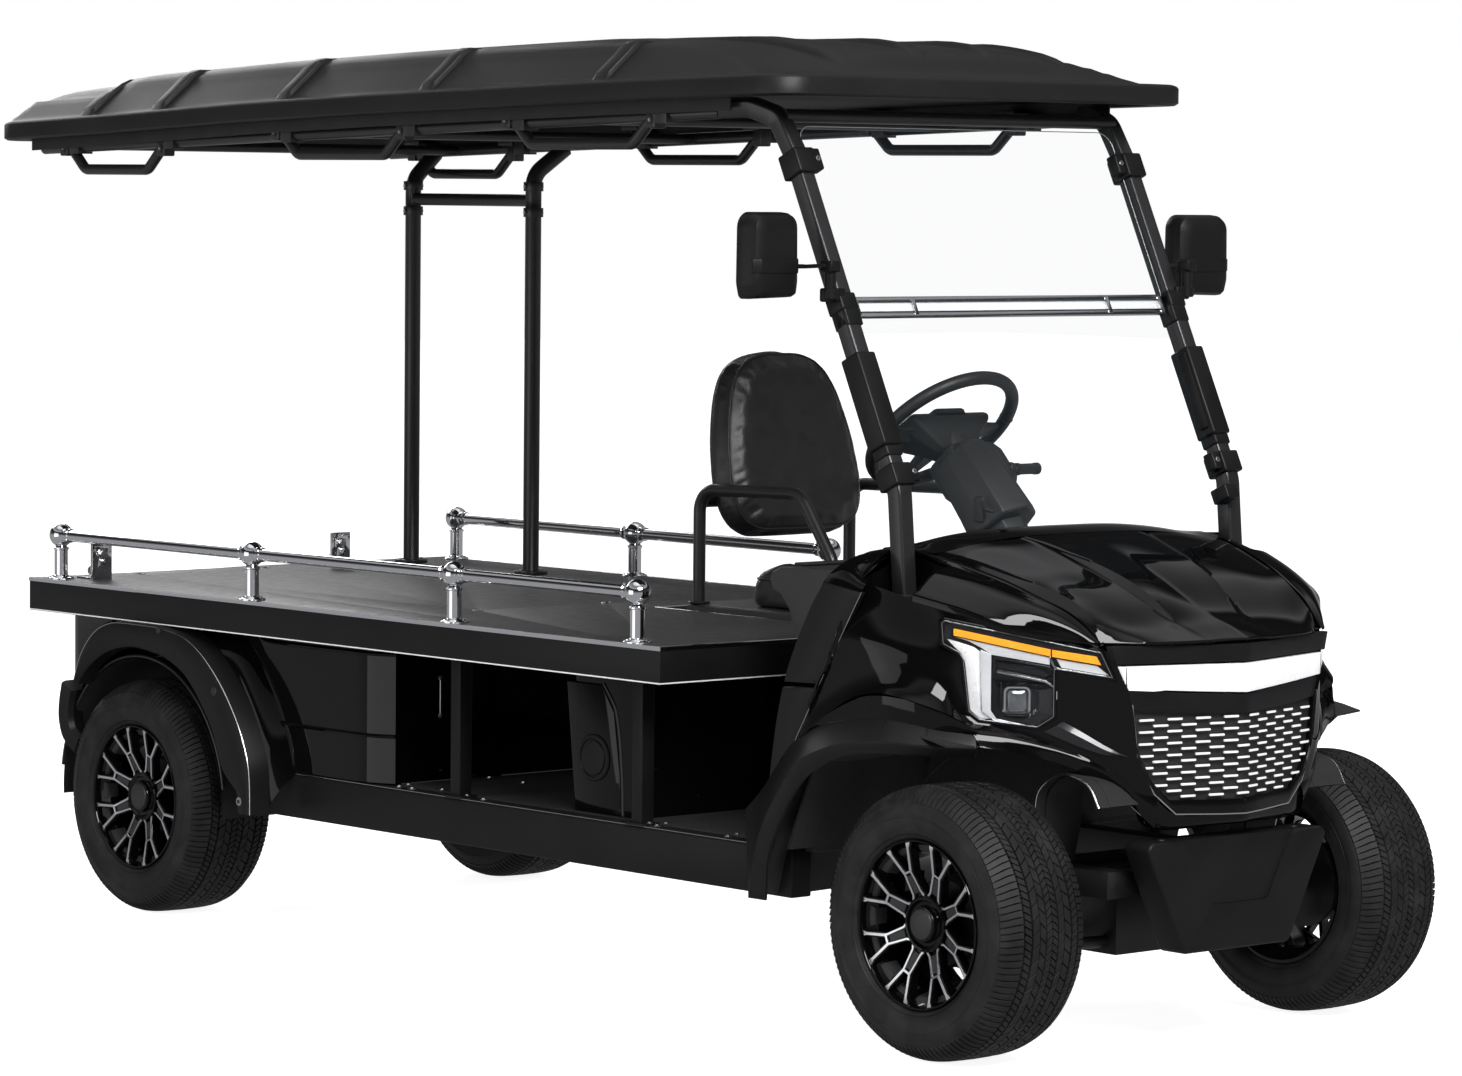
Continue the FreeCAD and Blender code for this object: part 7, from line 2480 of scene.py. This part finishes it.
def addWheel():
    form = Form()
    ring, grip = steer["ring"], steer["grip"]
    rows = []
    count = 180
    for i in range(count):
        angle = 2 * math.pi * i / count
        knob = 0.0
        for middle in (35, 145):
            away = abs((math.degrees(angle) - middle + 180) % 360 - 180)
            if away < 48:
                knob = (0.5 + 0.5 * math.cos(math.radians(away) * 30)) * smooth((48 - away) / 10)
        row = []
        for j in range(20):
            turn = 2 * math.pi * j / 20
            inner = max(0.0, -math.cos(turn))
            radius = grip + 0.2 - 2.6 * knob * inner
            away = ring - 0.6 + radius * 0.96 * math.cos(turn)
            row.append(wheelAt(away * math.cos(angle), away * math.sin(angle), radius * math.sin(turn)))
        rows.append(row)
    form.add(grid(rows, closeRows=True, closeRing=True), "gripLook")
    for middle in (-12, 82, 98, 192):
        angle = math.radians(middle)
        loop = [wheelAt((ring + 16.4 * math.cos(t)) * math.cos(angle),
                        (ring + 16.4 * math.cos(t)) * math.sin(angle),
                        16.4 * math.sin(t)) for t in [2 * math.pi * i / 28 for i in range(28)]]
        form.add(sweep(loop, circle(0.0009, 6), closed=True), "tubeBlack")
    pad = roundedOutline([Vector(c) for c in ((-124, -46, 0), (124, -46, 0), (138, -4, 0), (74, 84, 0),
                                              (-74, 84, 0), (-138, -4, 0))], [22, 22, 16, 26, 26, 16], 6)
    rings = []
    for scale, w in ((0.32, -72), (0.40, -70), (0.50, -60), (0.68, -36), (0.86, -14), (0.97, -2), (1.0, 6),
                     (0.99, 11), (0.955, 14), (0.80, 15.5), (0.4, 17), (0.05, 17.5)):
        rings.append([wheelAt(p.x * scale, p.y * scale, w) for p in pad])
    form.add(loft(rings), "cabinPlastic")
    horn = roundedOutline([Vector(c) for c in ((-46, -50, 0), (46, -50, 0), (58, -18, 0), (34, 14, 0),
                                               (-34, 14, 0), (-58, -18, 0))], 14, 5)
    rings = []
    for scale, w in ((1.0, 8), (1.02, 18), (0.98, 22.5), (0.88, 24.5), (0.5, 26), (0.05, 26)):
        rings.append([wheelAt(p.x * scale, p.y * scale - 2, w) for p in horn])
    form.add(loft(rings), "gripLook")
    for angle, wide in ((180, 1.0), (0, 1.0), (90, 0.8)):
        way = math.radians(angle)
        rings = []
        for away, half, low, high in ((40, 30, -26, 2), (90, 27, -20, 4), (130, 22, -12, 5),
                                      (160, 19, -7, 5), (180, 20, -6, 5)):
            row = []
            for a, b in ((-1, -0.5), (-0.8, -1), (0.8, -1), (1, -0.5), (1, 0.5), (0.8, 1), (-0.8, 1),
                         (-1, 0.5)):
                across = a * half * wide
                row.append(wheelAt(away * math.cos(way) - across * math.sin(way),
                                   away * math.sin(way) + across * math.cos(way),
                                   (low + high) / 2 + b * (high - low) / 2))
            rings.append(row)
        form.add(loft(rings), "cabinPlastic")
        for across in (-9, 9):
            base = wheelAt(140 * math.cos(way) - across * wide * math.sin(way),
                           140 * math.sin(way) + across * wide * math.cos(way), 2)
            form.add(pin(base, wheelAt(0, 0, 1) - wheelAt(0, 0, 0), 0.0035, 0.0045, 0.001, 16), "zincBolt")
    form.make("steeringWheelRing", body_of(frame["nodes"]["steering_wheel"])[0], "wheel_grip",
              ("steering_wheel",), sharp=38)


def addColumn():
    form = Form()
    rings = []
    plan = [(-62, -16), (-42, -62), (22, -80), (66, -52), (72, 30), (-62, 40)]
    for w, scale in ((-72, 0.62), (-76, 0.74), (-92, 0.90), (-150, 1.0), (-282, 1.08), (-300, 1.06),
                     (-306, 0.98)):
        rings.append([wheelAt(u * scale, v * scale, w) for u, v in plan])
    form.add(softened(loft(rings), 0.006, 3, 16), "cabinPlastic")
    rings = [[wheelAt(u * scale, v * scale + shift, w) for u, v in plan]
             for w, scale, shift in ((-296, 0.80, 8), (-330, 0.74, 10), (-392, 0.66, 12))]
    form.add(softened(loft(rings), 0.005, 3, 18), "cabinPlastic")
    line = [wheelAt(72.4 * k, 4, w) for k, w in ((0.90, -92), (1.0, -150), (1.08, -282))]
    form.add(sweep(line, circle(0.0011, 6)), "tubeBlack")
    outline = [(-50, -34), (90, -40), (128, -20), (128, 50), (90, 66), (-50, 60)]
    rings = []
    for w, scale in ((-66, 0.80), (-72, 0.95), (-80, 1.0), (-160, 1.0), (-176, 0.92), (-190, 0.75)):
        rings.append([wheelAt(u * scale, v * scale, w) for u, v in outline])
    form.add(softened(loft(rings), 0.006, 3, 18), "cabinPlastic")
    axis = (wheelAt(0, 0, 1) - wheelAt(0, 0, 0)).normalized()
    form.add(pin(wheelAt(0, 0, -66), axis, 0.034, 0.034, 0.002, 28), "cabinPlastic")
    base = wheelAt(112, -14, -138)
    form.add(pin(base, xAxis, 0.0175, 0.016, 0.002, 24), "cabinPlastic")
    form.add(pin(base + xAxis * 0.015, xAxis, 0.0130, 0.088, 0.0050, 24), "cabinPlastic")
    form.add(pin(base + xAxis * 0.024, xAxis, 0.0150, 0.012, 0.001, 24), "gripLook")
    form.add(pin(base + xAxis * 0.084, xAxis, 0.0142, 0.019, 0.004, 24), "gripLook")
    hook = [wheelAt(-58, -36, -250), wheelAt(-74, -50, -262), wheelAt(-82, -56, -286),
            wheelAt(-74, -66, -300)]
    form.add(tube(hook, 0.0055, 0.010, 12), "cabinPlastic")
    form.add(softened(boxAbout(wheelAt(-58, -26, -262), (0.026, 0.030, 0.060)), 0.004, 3), "cabinPlastic")
    form.make("columnCover", chassis, "cabin_plastic", ("steering_column",), sharp=30)


def addPedals():
    form = rounded("pedals", 0.003, 3, "cabinPlastic")
    for x, wide in ((250, 74), (390, 56)):
        for i in range(6):
            low = dot(x - wide / 2 + 6, 468.2, 460 + 13 * i)
            high = dot(x + wide / 2 - 6, 471.5, 466 + 13 * i)
            form.add(softened(block(low, high), 0.0012, 2), "rubberMat")
    form.make("pedalPads", chassis, "cabin_plastic", ("pedals",), sharp=35, closed=False)


addWheel()
addColumn()
addPedals()
print("steering done")


# nodes that keep their CAD shape, with rounded edges: slot, finish, edge radius

plainNodes = {
    "chassis_frame": ("frame_paint", "framePaint", 0.003),
    "front_left_knuckle": ("frame_paint", "framePaint", 0.002),
    "front_right_knuckle": ("frame_paint", "framePaint", 0.002),
    "rear_axle": ("frame_paint", "framePaint", 0.003),
    "rear_springs": ("frame_paint", "framePaint", 0.001),
    "battery_pack": ("battery_case", "linerPlastic", 0.006),
}


def addPlain(name):
    slot, look, width = plainNodes[name]
    words = name.split("_")
    form = Form().add(softened(cadShape(name), width, dissolve=True), look)
    form.make(words[0] + "".join(word.capitalize() for word in words[1:]) + "Plain",
              body_of(frame["nodes"][name])[0], slot, (name,), closed=False)


for name in plainNodes:
    addPlain(name)
print("plain nodes done")


# last update of the view layer

bpy.context.view_layer.update()
